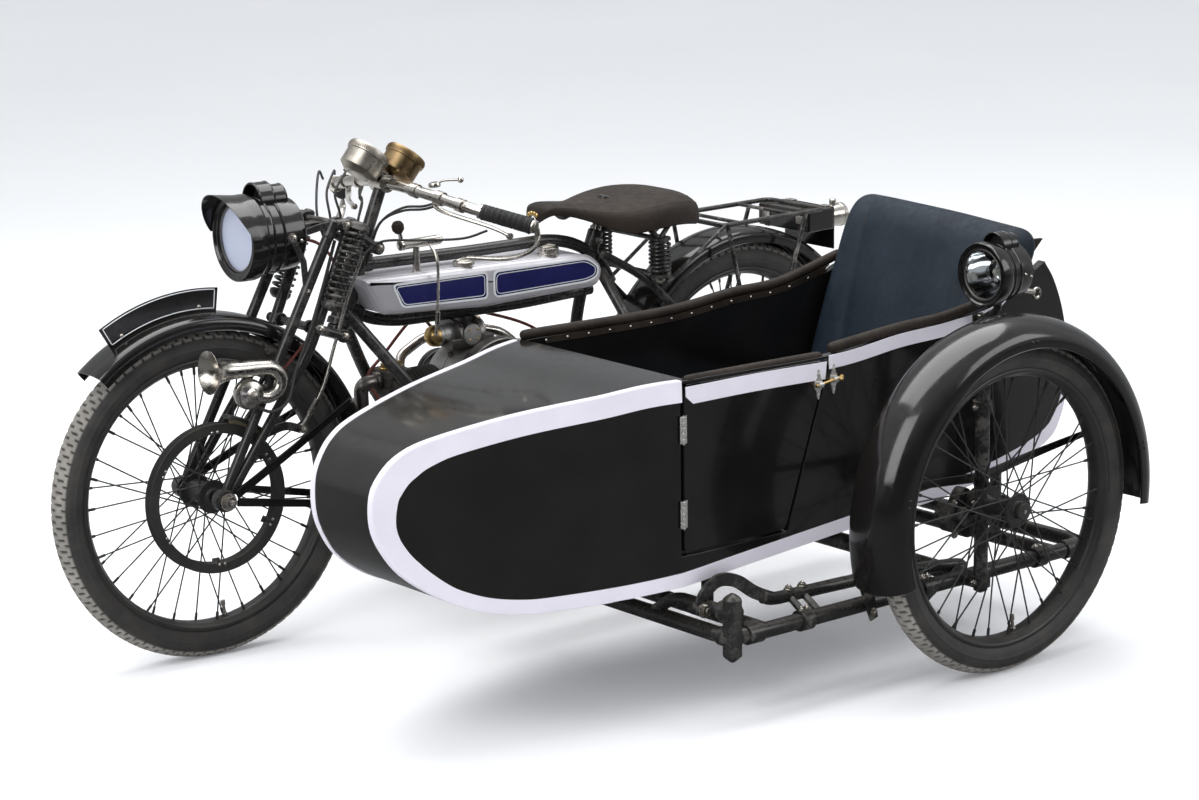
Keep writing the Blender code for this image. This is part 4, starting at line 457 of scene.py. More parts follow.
def about(centre: Array, degrees: Array | float, radius: Array | float, y: Array | float = 0.0) -> Array:
    """Points round a wheel's centre at angles from straight ahead, moved across by y."""
    angle = np.radians(np.asarray(degrees, float))
    shape = np.broadcast(angle, np.asarray(radius, float), np.asarray(y, float)).shape
    x = np.broadcast_to(np.cos(angle) * radius, shape)
    z = np.broadcast_to(np.sin(angle) * radius, shape)
    return np.asarray(centre) + np.stack((x, np.broadcast_to(y, shape), z), axis=-1)


# Finishes


class Grain(Enum):
    """What the surface of a finish is made of, which sets its fine relief."""

    ENAMEL = "brushed and baked paint"
    PLATED = "polished plating"
    CAST = "sand-cast metal"
    DRAWN = "drawn or machined metal"
    RUBBER = "moulded rubber"
    LEATHER = "tanned hide"
    WOVEN = "rubbered canvas"
    CLEAR = "clear glass"
    FROSTED = "frosted glass"
    MIRROR = "silvered reflector"


@dataclass(frozen=True)
class Finish:
    """Colour, gloss and wear of one surface, made into a node material when it is first used."""

    name: str
    slot: str
    grain: Grain
    colour: Point
    second: Point
    roughness: float
    spread: float = 0.08
    metallic: float = 0.0
    bump: float = 0.15
    scale: float = 60.0
    dust: float = 0.0
    dust_colour: Point = (0.30, 0.26, 0.21)
    wear: float = 0.0
    wear_colour: Point = (0.30, 0.28, 0.26)
    coat: float = 0.0

    def material(self) -> bpy.types.Material:
        """The finish's material, made once."""
        known = bpy.data.materials.get(self.name)
        return known if known else self.build()

    def build(self) -> bpy.types.Material:
        """Node material of the finish.

        Its colour runs between two near shades with a broad noise. Dust lies on faces that look up,
        where a noise is high, and wear shows on edges that stand out, broken up by a noise. Its
        roughness follows another noise and its relief comes from the grain.

        Returns:
            The new material.
        """
        material = bpy.data.materials.new(self.name)
        material.use_nodes = True
        tree = NodeTree(material.node_tree)
        shader = tree.tree.nodes["Principled BSDF"]
        place = tree.add("ShaderNodeTexCoord").outputs["Object"]
        broad = tree.noise(place, 9.0, 4.0, 0.55)
        fine = tree.noise(place, self.scale, 3.0, 0.6)
        colour = tree.blend(tree.ramp(broad, 0.35, 0.68), self.colour, self.second)
        rough = tree.spread(fine, self.roughness - self.spread / 2, self.roughness + self.spread)
        if self.wear:
            edge = tree.ramp(tree.add("ShaderNodeNewGeometry").outputs["Pointiness"], 0.52, 0.60)
            patch = tree.ramp(tree.noise(place, 35.0, 5.0, 0.7), 0.50, 0.62)
            worn = tree.times(tree.times(edge, patch), self.wear)
            colour = tree.blend_between(worn, colour, self.wear_colour)
            rough = tree.towards(rough, 0.5, worn)
        if self.dust:
            upward = tree.upward()
            cover = tree.ramp(tree.noise(place, 14.0, 6.0, 0.7), 0.30, 0.75)
            film = tree.times(tree.times(upward, cover), self.dust)
            colour = tree.blend_between(film, colour, self.dust_colour)
            rough = tree.towards(rough, 0.8, film)
        tree.link(colour, shader.inputs["Base Color"])
        tree.link(rough, shader.inputs["Roughness"])
        shader.inputs["Metallic"].default_value = self.metallic
        if self.coat:
            shader.inputs["Coat Weight"].default_value = self.coat
            shader.inputs["Coat Roughness"].default_value = 0.06
        self.relief(tree, shader, place, fine)
        return material

    def relief(self, tree: "NodeTree", shader: bpy.types.Node, place: Socket, fine: Socket) -> None:
        """Adds the grain's relief to the shader's normal, and the values of glass where it is glass.

        Args:
            tree: the material's nodes.
            shader: its main shader.
            place: object coordinates.
            fine: the fine noise that the roughness already uses.
        """
        height = fine
        distance = 0.0004
        if self.grain is Grain.ENAMEL:
            height = tree.noise(place, 22.0, 2.0, 0.5)
            distance = 0.0006
        elif self.grain is Grain.CAST:
            height = tree.noise(place, 420.0, 6.0, 0.75)
            distance = 0.0012
        elif self.grain is Grain.DRAWN:
            height = tree.noise(place, 260.0, 2.0, 0.6)
        elif self.grain is Grain.LEATHER:
            cells = tree.cells(place, 330.0)
            creases = tree.noise(place, 45.0, 5.0, 0.7)
            height = tree.sum(tree.times(cells, 0.6), tree.times(creases, 0.9))
            shader.inputs["Specular IOR Level"].default_value = 0.24
            distance = 0.0011
        elif self.grain is Grain.RUBBER:
            height = tree.noise(place, 300.0, 5.0, 0.7)
            distance = 0.0006
        elif self.grain is Grain.WOVEN:
            height = tree.sum(tree.bands(place, 700.0, "X"), tree.bands(place, 700.0, "Y"))
            distance = 0.0005
        elif self.grain is Grain.CLEAR:
            shader.inputs["Transmission Weight"].default_value = 1.0
            shader.inputs["IOR"].default_value = 1.48
        elif self.grain is Grain.FROSTED:
            shader.inputs["Transmission Weight"].default_value = 0.45
            shader.inputs["IOR"].default_value = 1.48
        bump = tree.add("ShaderNodeBump")
        bump.inputs["Strength"].default_value = self.bump
        bump.inputs["Distance"].default_value = distance
        tree.link(height, bump.inputs["Height"])
        tree.link(bump.outputs["Normal"], shader.inputs["Normal"])


@dataclass
class NodeTree:
    """Short ways to add nodes to a material."""

    tree: bpy.types.NodeTree

    def add(self, kind: str) -> bpy.types.Node:
        """New node of a kind."""
        return self.tree.nodes.new(kind)

    def link(self, source: Socket, target: Socket) -> None:
        """Joins an output to an input."""
        self.tree.links.new(source, target)

    def noise(self, place: Socket, scale: float, detail: float, roughness: float) -> Socket:
        """Noise of a scale, about 0.5."""
        node = self.add("ShaderNodeTexNoise")
        node.inputs["Scale"].default_value = scale
        node.inputs["Detail"].default_value = detail
        node.inputs["Roughness"].default_value = roughness
        self.link(place, node.inputs["Vector"])
        return node.outputs["Fac"]

    def cells(self, place: Socket, scale: float) -> Socket:
        """Distance to the nearest cell border, as on pebbled leather."""
        node = self.add("ShaderNodeTexVoronoi")
        node.feature = "DISTANCE_TO_EDGE"
        node.inputs["Scale"].default_value = scale
        self.link(place, node.inputs["Vector"])
        return self.ramp(node.outputs["Distance"], 0.0, 0.18)

    def bands(self, place: Socket, scale: float, direction: str) -> Socket:
        """Even bands along one direction, as threads."""
        node = self.add("ShaderNodeTexWave")
        node.bands_direction = direction
        node.inputs["Scale"].default_value = scale / 20.0
        self.link(place, node.inputs["Vector"])
        return node.outputs["Fac"]

    def ramp(self, value: Socket, low: float, high: float) -> Socket:
        """Value stretched so that low becomes 0 and high becomes 1."""
        return self.spread(value, 0.0, 1.0, low, high)

    def spread(
        self, value: Socket, to_low: float, to_high: float, low: float = 0.3, high: float = 0.7
    ) -> Socket:
        """Value mapped from low..high to another range, and held within it."""
        node = self.add("ShaderNodeMapRange")
        node.inputs["From Min"].default_value = low
        node.inputs["From Max"].default_value = high
        node.inputs["To Min"].default_value = to_low
        node.inputs["To Max"].default_value = to_high
        self.link(value, node.inputs["Value"])
        return node.outputs["Result"]

    def maths(self, operation: str, first: Socket, second: Socket | float) -> Socket:
        """One sum, product or the like of two values."""
        node = self.add("ShaderNodeMath")
        node.operation = operation
        self.link(first, node.inputs[0])
        if isinstance(second, float):
            node.inputs[1].default_value = second
        else:
            self.link(second, node.inputs[1])
        return node.outputs[0]

    def times(self, first: Socket, second: Socket | float) -> Socket:
        """Product of two values."""
        return self.maths("MULTIPLY", first, second)

    def sum(self, first: Socket, second: Socket | float) -> Socket:
        """Sum of two values."""
        return self.maths("ADD", first, second)

    def blend(self, share: Socket, first: Point, second: Point) -> Socket:
        """Colour between two fixed colours."""
        node = self.add("ShaderNodeMix")
        node.data_type = "RGBA"
        self.link(share, node.inputs["Factor"])
        node.inputs[6].default_value = (*first, 1.0)
        node.inputs[7].default_value = (*second, 1.0)
        return node.outputs[2]

    def blend_between(self, share: Socket, first: Socket, second: Point) -> Socket:
        """Colour between one from the nodes and a fixed one."""
        node = self.add("ShaderNodeMix")
        node.data_type = "RGBA"
        self.link(share, node.inputs["Factor"])
        self.link(first, node.inputs[6])
        node.inputs[7].default_value = (*second, 1.0)
        return node.outputs[2]

    def towards(self, value: Socket, goal: float, share: Socket) -> Socket:
        """Value moved towards a goal by a share."""
        node = self.add("ShaderNodeMix")
        node.data_type = "FLOAT"
        self.link(share, node.inputs["Factor"])
        self.link(value, node.inputs[2])
        node.inputs[3].default_value = goal
        return node.outputs[0]

    def plain(self, value: float) -> Socket:
        """Fixed value."""
        node = self.add("ShaderNodeValue")
        node.outputs[0].default_value = value
        return node.outputs[0]

    def between(self, first: Socket, second: Socket, share: Socket) -> Socket:
        """Value between two from the nodes."""
        node = self.add("ShaderNodeMix")
        node.data_type = "FLOAT"
        self.link(share, node.inputs["Factor"])
        self.link(first, node.inputs[2])
        self.link(second, node.inputs[3])
        return node.outputs[0]

    def near_side(self, split: bpy.types.Node) -> Socket:
        """How far a split place or direction lies to the camera's side, at (0.64, 0.77) on the floor."""
        return self.sum(self.times(split.outputs["X"], 0.64), self.times(split.outputs["Y"], 0.77))

    def seen_directly(self, path: bpy.types.Node) -> Socket:
        """1 for what the camera sees itself or through glass, 0 for the rest."""
        return self.maths("MAXIMUM", path.outputs["Is Camera Ray"], path.outputs["Is Transmission Ray"])

    def upward(self) -> Socket:
        """How far a face looks up, from 0 to 1."""
        split = self.add("ShaderNodeSeparateXYZ")
        self.link(self.add("ShaderNodeNewGeometry").outputs["Normal"], split.inputs[0])
        return self.ramp(split.outputs["Z"], 0.25, 0.95)


def paint(name: str, colour: Point, second: Point, roughness: float, **more: float) -> Finish:
    """Enamel of a colour."""
    return Finish(name, "black_enamel", Grain.ENAMEL, colour, second, roughness, bump=0.06, **more)


BLACK = paint("black stove enamel", (0.0055, 0.005, 0.0048), (0.009, 0.0082, 0.0078), 0.13, dust=0.03,
              coat=0.3)
FRAME_BLACK = paint("frame enamel", (0.012, 0.012, 0.012), (0.021, 0.020, 0.019), 0.24, dust=0.16, wear=0.5)
SPOKE_BLACK = paint("spoke enamel", (0.016, 0.016, 0.016), (0.028, 0.027, 0.025), 0.34, dust=0.10)
NAVY = paint("navy enamel", (0.010, 0.011, 0.070), (0.014, 0.015, 0.095), 0.20, coat=0.4)
LINE = paint("lining colour", (0.62, 0.64, 0.66), (0.70, 0.71, 0.72), 0.35)
SILVER = Finish("silver enamel", "silver_enamel", Grain.ENAMEL, (0.56, 0.55, 0.585), (0.64, 0.63, 0.665),
                0.36,
                metallic=0.55, bump=0.08, dust=0.06)
BAND_SILVER = Finish("silver moulding enamel", "silver_enamel", Grain.ENAMEL, (0.82, 0.79, 0.88),
                     (0.88, 0.85, 0.94), 0.34,
                     metallic=0.25, bump=0.05, dust=0.02)
BRIGHT_NICKEL = Finish("bright nickel", "nickel", Grain.PLATED, (0.78, 0.77, 0.74), (0.86, 0.85, 0.82),
                       0.24, 0.10,
                       metallic=0.85, bump=0.04)
AGED_NICKEL = Finish("aged nickel", "nickel", Grain.PLATED, (0.40, 0.37, 0.32), (0.54, 0.50, 0.44), 0.30,
                     0.16,
                     metallic=1.0, bump=0.08, wear=0.4, wear_colour=(0.26, 0.20, 0.13))
BRONZE = Finish("dark bronze", "brass", Grain.PLATED, (0.24, 0.165, 0.085), (0.38, 0.27, 0.14), 0.32, 0.16,
                metallic=1.0, bump=0.06)
NICKEL = Finish("worn nickel", "nickel", Grain.PLATED, (0.58, 0.55, 0.50), (0.70, 0.67, 0.62), 0.20, 0.16,
                metallic=1.0, bump=0.05, wear=0.3, wear_colour=(0.40, 0.33, 0.22))
BRASS = Finish("dull brass", "brass", Grain.PLATED, (0.56, 0.38, 0.15), (0.66, 0.47, 0.21), 0.30, 0.16,
               metallic=1.0, bump=0.06)
IRON = Finish("cast iron", "cast_iron", Grain.CAST, (0.060, 0.058, 0.055), (0.115, 0.105, 0.095), 0.55,
              0.15,
              metallic=0.5, bump=0.5, dust=0.25)
ALUMINIUM = Finish("cast aluminium", "aluminium", Grain.CAST, (0.42, 0.42, 0.41), (0.53, 0.53, 0.52),
                   0.42, 0.16,
                   metallic=0.9, bump=0.35, dust=0.15)
STEEL = Finish("blued steel", "steel", Grain.DRAWN, (0.18, 0.17, 0.165), (0.30, 0.28, 0.26), 0.34, 0.18,
               metallic=1.0, bump=0.12, dust=0.1)
TYRE = Finish("tyre rubber", "tyre_rubber", Grain.RUBBER, (0.026, 0.025, 0.024), (0.046, 0.043, 0.039),
              0.72, 0.12,
              bump=0.4, dust=0.25)
GRIP = Finish("grip rubber", "grip_rubber", Grain.RUBBER, (0.014, 0.014, 0.014), (0.026, 0.025, 0.025),
              0.6, 0.12, bump=0.4)
BELT = Finish("belt canvas", "belt", Grain.WOVEN, (0.055, 0.038, 0.026), (0.10, 0.072, 0.05), 0.8, bump=0.5)
BROWN_HIDE = Finish("brown leather", "brown_leather", Grain.LEATHER, (0.014, 0.010, 0.0075),
                    (0.030, 0.021, 0.015),
                    0.46, 0.2, bump=0.55, dust=0.012)
BLUE_HIDE = Finish("dark blue leather", "blue_leather", Grain.LEATHER, (0.0065, 0.0125, 0.0215),
                   (0.0125, 0.0215, 0.0335),
                   0.46, 0.22, bump=0.5, dust=0.012)
GLASS = Finish("lamp glass", "glass", Grain.CLEAR, (0.93, 0.96, 0.97), (0.97, 0.98, 0.98), 0.03, 0.02,
               bump=0.02)
FROSTED = Finish("frosted lamp glass", "glass", Grain.FROSTED, (0.70, 0.76, 0.95), (0.76, 0.81, 0.98),
                 0.22, 0.05, bump=0.05)
MIRROR = Finish("silvered reflector", "nickel", Grain.MIRROR, (0.82, 0.84, 0.86), (0.90, 0.91, 0.92),
                0.08, 0.05,
                metallic=1.0, bump=0.03)
RED_WIRE = Finish("red wire sleeve", "grip_rubber", Grain.WOVEN, (0.13, 0.030, 0.022),
                  (0.20, 0.050, 0.035), 0.65, bump=0.4)
CABLE = Finish("black cable sleeve", "grip_rubber", Grain.WOVEN, (0.016, 0.016, 0.016),
               (0.030, 0.028, 0.026), 0.55, bump=0.4)
BRAKE_PAD = Finish("brake block", "belt", Grain.WOVEN, (0.10, 0.09, 0.045), (0.16, 0.14, 0.08), 0.85,
                   bump=0.6)
DIAL = paint("dial face", (0.74, 0.72, 0.66), (0.80, 0.78, 0.73), 0.5)
INK = paint("dial marks", (0.02, 0.02, 0.02), (0.03, 0.03, 0.03), 0.5)
RUBY = Finish("red lamp glass", "glass", Grain.PLATED, (0.22, 0.008, 0.006), (0.32, 0.014, 0.010), 0.08,
              0.04, bump=0.05,
              coat=1.0)


# Putting pieces into the scene


@dataclass
class Workshop:
    """Puts worked-out shapes into the scene, in the frame's place and on the right body."""

    offset: Array
    steer_point: Array
    steer_axis: Array
    steer_angle: float
    made: int = 0

    def place(self, points: Array, body: str) -> Array:
        """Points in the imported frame's place, turned with the steering where the body steers.

        The turn is Rodrigues' formula: v cos a + (k x v) sin a + k (k.v)(1 - cos a).
        """
        if body in STEERING:
            v = points - self.steer_point
            k, a = self.steer_axis, self.steer_angle
            turned = v * math.cos(a) + np.cross(k, v) * math.sin(a) + np.outer(v @ k, k) * (1 - math.cos(a))
            points = turned + self.steer_point
        return points + self.offset

    def piece(
        self,
        name: str,
        shapes: Shape | list[Shape],
        finish: Finish,
        body: str = "outfit",
        replaces: tuple[str, ...] = (),
        bevel: float = 0.0,
        smooth: float = 35.0,
        subdivide: int = 0,
    ) -> bpy.types.Object:
        """Puts one finished piece into the scene.

        Args:
            name: the piece's name.
            shapes: its shape, or several that make one piece.
            finish: its surface.
            body: the frame's body that it rides on.
            replaces: frame nodes that it stands for.
            bevel: width of the rounding of its edges, or 0.
            smooth: angle in degrees past which an edge stays sharp.
            subdivide: levels of subdivision.

        Returns:
            The piece.
        """
        shape = joined(shapes) if isinstance(shapes, list) else shapes
        mesh = self.mesh(name, shape, body)
        mesh.materials.append(finish.material())
        obj = bpy.data.objects.new(name, mesh)
        bpy.context.scene.collection.objects.link(obj)
        self.shade(mesh, smooth)
        if bevel:
            self.round_edges(obj, bevel, 2, 34.0)
        if subdivide:
            finer = obj.modifiers.new("smoothing", "SUBSURF")
            finer.levels = finer.render_levels = subdivide
        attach(obj, body)
        if replaces:
            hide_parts(*replaces)
        self.made += 1
        log.info("%-26s %7d faces on %s", name, len(mesh.polygons), body)
        return obj

    def mesh(self, name: str, shape: Shape, body: str) -> bpy.types.Mesh:
        """Mesh of a shape in its place, with its faces turned outwards."""
        points = self.place(shape.points, body)
        mesh = bpy.data.meshes.new(name)
        corners = np.concatenate([table.ravel() for table in shape.faces])
        totals = np.concatenate([np.full(len(table), table.shape[1]) for table in shape.faces])
        mesh.vertices.add(len(points))
        mesh.vertices.foreach_set("co", points.astype(np.float32).ravel())
        mesh.loops.add(len(corners))
        mesh.loops.foreach_set("vertex_index", corners.astype(np.int32))
        mesh.polygons.add(len(totals))
        starts = np.concatenate(([0], np.cumsum(totals)[:-1]))
        mesh.polygons.foreach_set("loop_start", starts.astype(np.int32))
        mesh.update(calc_edges=True)
        mesh.validate()
        for mark, values in shape.marks.items():
            layer = mesh.attributes.new(mark, "FLOAT", "POINT")
            layer.data.foreach_set("value", values.astype(np.float32))
        build = bmesh.new()
        build.from_mesh(mesh)
        bmesh.ops.remove_doubles(build, verts=build.verts, dist=1e-6)
        bmesh.ops.recalc_face_normals(build, faces=build.faces)
        build.to_mesh(mesh)
        build.free()
        return mesh

    @staticmethod
    def shade(mesh: bpy.types.Mesh, smooth: float) -> None:
        """Smooth shading, with edges sharper than an angle kept."""
        mesh.shade_smooth()
        mesh.set_sharp_from_angle(angle=math.radians(smooth))

    @staticmethod
    def round_edges(obj: bpy.types.Object, width: float, segments: int, degrees: float) -> None:
        """Rounds the edges that are sharper than an angle."""
        edge = obj.modifiers.new("rounded edges", "BEVEL")
        edge.width = width
        edge.segments = segments
        edge.limit_method = "ANGLE"
        edge.angle_limit = math.radians(degrees)
        edge.harden_normals = True


# Studio


@dataclass
class Studio:
    """Pale floor and backdrop, soft lights, and the camera at the photograph's place."""

    offset: Array
    camera_place: Point = (4.9291, 5.4731, 2.0280)
    camera_yaw: float = -129.688
    camera_pitch: float = -13.186
    camera_roll: float = -0.762
    lens: float = 101.03
    reach: float = 14.0

    def build(self) -> None:
        """Makes the floor, the lights, the surroundings and the camera."""
        bpy.context.scene.view_settings.view_transform = "Standard"
        self.floor()
        self.world()
        self.lights()
        self.camera()

    def floor(self) -> None:
        """Floor that turns up into a backdrop behind: a straight run, a quarter circle and a wall."""
        turn = np.linspace(0.0, math.pi / 2, 24)
        radius = 5.0
        curve = np.stack((self.reach + np.sin(turn) * radius, (1 - np.cos(turn)) * radius), axis=1)
        section = np.vstack(((-self.reach, 0.0), curve, (self.reach + radius, 16.0)))
        away = unit(np.array((math.cos(math.radians(self.camera_yaw)),
                              math.sin(math.radians(self.camera_yaw)), 0.0)))
        across = np.array((-away[1], away[0], 0.0))
        wide = np.linspace(-26.0, 26.0, 3)
        up = np.array((0.0, 0.0, 1.0))
        rows = section[:, None, :1] * away + wide[None, :, None] * across + section[:, None, 1:] * up
        shape = grid(rows, wrap_columns=False, caps=False)
        mesh = bpy.data.meshes.new("studio_floor")
        mesh.from_pydata(shape.points.tolist(), [], shape.faces[0].tolist())
        mesh.shade_smooth()
        floor = bpy.data.objects.new("studio_floor", mesh)
        bpy.context.scene.collection.objects.link(floor)
        mesh.materials.append(self.floor_material())

    @staticmethod
    def floor_material() -> bpy.types.Material:
        """Pale cloth: a faint weave and a broad, slight change of shade.

        Reflections see the cloth in front of the outfit darker than the cloth behind it, as in a
        studio whose near side is not lit.
        """
        material = bpy.data.materials.new("pale studio cloth")
        material.use_nodes = True
        tree = NodeTree(material.node_tree)
        shader = tree.tree.nodes["Principled BSDF"]
        place = tree.add("ShaderNodeTexCoord").outputs["Object"]
        colour = tree.blend(tree.noise(place, 0.8, 3.0, 0.5), (0.80, 0.81, 0.815), (0.86, 0.865, 0.87))
        split = tree.add("ShaderNodeSeparateXYZ")
        tree.link(place, split.inputs[0])
        path = tree.add("ShaderNodeLightPath")
        shade = tree.spread(tree.near_side(split), 0.45, 0.93, -1.6, 0.6)
        shade = tree.times(shade, path.outputs["Is Glossy Ray"])
        tree.link(tree.blend_between(shade, colour, (0.02, 0.02, 0.022)), shader.inputs["Base Color"])
        shader.inputs["Roughness"].default_value = 0.85
        bump = tree.add("ShaderNodeBump")
        bump.inputs["Strength"].default_value = 0.15
        bump.inputs["Distance"].default_value = 0.01
        tree.link(tree.noise(place, 3.0, 4.0, 0.5), bump.inputs["Height"])
        tree.link(bump.outputs["Normal"], shader.inputs["Normal"])
        shader.inputs["Emission Color"].default_value = (0.92, 0.92, 1.0, 1.0)
        tree.link(tree.times(tree.seen_directly(path), 0.13), shader.inputs["Emission Strength"])
        return material

    @staticmethod
    def world() -> None:
        """Even pale surroundings, which reflections see dark low down on the camera's side."""
        world = bpy.data.worlds.new("studio")
        bpy.context.scene.world = world
        world.use_nodes = True
        tree = NodeTree(world.node_tree)
        back = tree.tree.nodes["Background"]
        back.inputs["Color"].default_value = (0.955, 0.975, 1.0, 1.0)
        path = tree.add("ShaderNodeLightPath")
        split = tree.add("ShaderNodeSeparateXYZ")
        tree.link(tree.add("ShaderNodeTexCoord").outputs["Generated"], split.inputs[0])
        side = tree.sum(tree.near_side(split), tree.times(split.outputs["Z"], -0.9))
        mirrored = tree.spread(side, 0.55, 0.04, -0.35, 0.45)
        level = tree.towards(tree.plain(0.85), 1.0, tree.seen_directly(path))
        tree.link(tree.between(level, mirrored, path.outputs["Is Glossy Ray"]), back.inputs["Strength"])

    def lights(self) -> None:
        """One large soft lamp above, one ahead and a weaker one beside the sidecar."""
        centre = Vector((0.5, 0.4, 0.5))
        for name, place, size, power in (
            ("top_light", (0.2, -0.4, 4.2), (5.0, 3.4), 185.0),
            ("side_light", (4.4, 1.2, 3.2), (2.4, 3.2), 90.0),
            ("near_light", (-2.4, 4.6, 3.0), (3.0, 2.4), 60.0),
        ):
            data = bpy.data.lights.new(name, "AREA")
            data.shape = "RECTANGLE"
            data.size, data.size_y = size
            data.energy = power
            light = bpy.data.objects.new(name, data)
            bpy.context.scene.collection.objects.link(light)
            light.location = Vector(place) + Vector(self.offset)
            light.rotation_mode = "QUATERNION"
            aim = centre + Vector(self.offset) - light.location
            light.rotation_quaternion = aim.to_track_quat("-Z", "Y")

    def camera(self) -> None:
        """Camera at the place fitted to the photograph."""
        yaw, pitch, roll = (math.radians(a) for a in (self.camera_yaw, self.camera_pitch, self.camera_roll))
        forward = Vector((math.cos(pitch) * math.cos(yaw), math.cos(pitch) * math.sin(yaw),
                          math.sin(pitch)))
        right = forward.cross(Vector((0.0, 0.0, 1.0))).normalized()
        up = right.cross(forward)
        side = right * math.cos(roll) + up * math.sin(roll)
        top = up * math.cos(roll) - right * math.sin(roll)
        data = bpy.data.cameras.new("photo_camera")
        data.lens = self.lens
        data.sensor_width = 36.0
        data.clip_end = 100.0
        camera = bpy.data.objects.new("photo_camera", data)
        bpy.context.scene.collection.objects.link(camera)
        turn = Matrix((side, top, -forward)).transposed().to_4x4()
        camera.matrix_world = Matrix.Translation(Vector(self.camera_place) + Vector(self.offset)) @ turn
        bpy.context.scene.camera = camera


# Wheels


@dataclass
class Wheel:
    """Beaded-edge wheel: tyre, rim, crossed spokes, hub and, where it has one, its belt rim."""

    shop: Workshop
    body: str
    centre: Array
    belt_radius: float = 0.0
    tyre_radius: float = 0.033
    spoke_count: int = 40
    spoke_radius: float = 0.0016
    hub_half: float = 0.040
    flange_radius: float = 0.034
    belt_y: float = BELT_Y
    belt_half: float = 0.0125

    def build(self) -> None:
        """Makes every piece of the wheel."""
        self.tyre()
        self.rim()
        self.spokes()
        self.hub()
        if self.belt_radius:
            self.belt_rim()

    def tyre(self) -> None:
        """Tyre: a round section whose tread is cut into blocks by cross grooves and ring grooves.

        The section's radius falls by the groove's depth where a square wave round the wheel, staggered
        from row to row, or a square wave across the tread is low, and rises by small rings on the sides.
        """
        around, across = 86 * 6, 44
        half = math.acos((WHEEL_RADIUS - self.tyre_radius - 0.270) / self.tyre_radius)
        v = np.linspace(half, 2 * math.pi - half, across)[None, :]
        u = np.arange(around)[:, None]
        from_crown = np.abs(v - math.pi) * self.tyre_radius
        row = np.floor((v - math.pi) * self.tyre_radius / 0.0155 + 0.5)
        cross = ((u + 3 * (np.abs(row) % 2)) % 6) < 4.4
        ring = np.abs(((v - math.pi) * self.tyre_radius / 0.0155 + 0.5) % 1.0 - 0.5) < 0.40
        tread = from_crown < 0.031
        depth = np.where(tread & ~(cross & ring), 0.0042, 0.0)
        bead = 0.0012 * np.exp(-(((from_crown - 0.052) / 0.0022) ** 2))
        bead = bead + 0.0006 * np.exp(-(((from_crown - 0.040) / 0.0012) ** 2))
        radius = self.tyre_radius - depth + bead - np.where(tread, 0.0, 0.0010)
        angle = u * 2 * math.pi / around
        level = WHEEL_RADIUS - self.tyre_radius - radius * np.cos(v)
        y = radius * np.sin(v)
        rows = self.centre + np.stack((level * np.cos(angle), y + 0 * angle, level * np.sin(angle)),
                                      axis=-1)
        shape = grid(rows, wrap_rows=True)
        blocks = np.where(tread & (depth < 0.001), 1.0, 0.0)
        shape.marks["tread"] = np.broadcast_to(blocks, rows.shape[:2]).ravel()
        tyre = self.shop.piece(f"{self.body}_tyre_dressed", shape, TYRE, self.body,
                               (f"{self.body}_tyre",), smooth=28)
        tyre.data.materials.clear()
        tyre.data.materials.append(tyre_material())

    def rim(self) -> None:
        """Rolled rim: a closed profile with turned-in lips, turned about the axle, and its valve."""
        outer = 0.2745
        profile = [(-0.0245, outer + 0.001), (-0.026, outer - 0.003), (-0.0245, outer - 0.007),
                   (-0.020, outer - 0.010),
                   (-0.012, outer - 0.0155), (0.0, outer - 0.0168), (0.012, outer - 0.0155),
                   (0.020, outer - 0.010),
                   (0.0245, outer - 0.007), (0.026, outer - 0.003), (0.0245, outer + 0.001),
                   (0.0215, outer - 0.002),
                   (0.0, outer - 0.006), (-0.0215, outer - 0.002)]
        rim = lathe(spline(profile, 3, closed=True), self.centre, (0, 1, 0), 96, ring=True)
        self.shop.piece(f"{self.body}_rim_dressed", rim, SPOKE_BLACK, self.body, (f"{self.body}_rim",))
        angle = -97.0
        out = about(np.zeros(3), angle, 1.0)
        foot = self.centre + out * 0.262
        valve = [rods(foot, foot - out * 0.034, 0.0035, 10),
                 rods(foot - out * 0.006, foot - out * 0.010, 0.0062, 6),
                 rods(foot - out * 0.026, foot - out * 0.036, 0.0048, 12)]
        self.shop.piece(f"{self.body}_valve", valve, NICKEL, self.body, bevel=0.0004)

    def spokes(self) -> None:
        """Spokes laid nearly along the hub's edge and crossing in pairs, with a nipple at each rim end."""
        index = np.arange(self.spoke_count)
        side = np.where(index % 2 == 0, 1.0, -1.0)
        lean = np.where(index // 2 % 2 == 0, 1.0, -1.0)
        rim_angle = index * 360.0 / self.spoke_count + lean * 2.0
        start = about(self.centre, rim_angle + lean * 66.0, self.flange_radius - 0.004,
                      side * (self.hub_half - 0.0025))
        end = about(self.centre, rim_angle, 0.2585, side * 0.007)
        runs = unit(end - start)
        shapes = [rods(start, end, self.spoke_radius, 8),
                  rods(end - runs * 0.015, end, self.spoke_radius * 1.9, 6)]
        heads = start - runs * 0.001
        out = np.stack((0 * side, side, 0 * side), axis=1)
        shapes.append(rods(heads + out * 0.004, heads - out * 0.003, self.spoke_radius * 1.7, 8))
        self.shop.piece(f"{self.body}_spokes", shapes, SPOKE_BLACK, self.body)

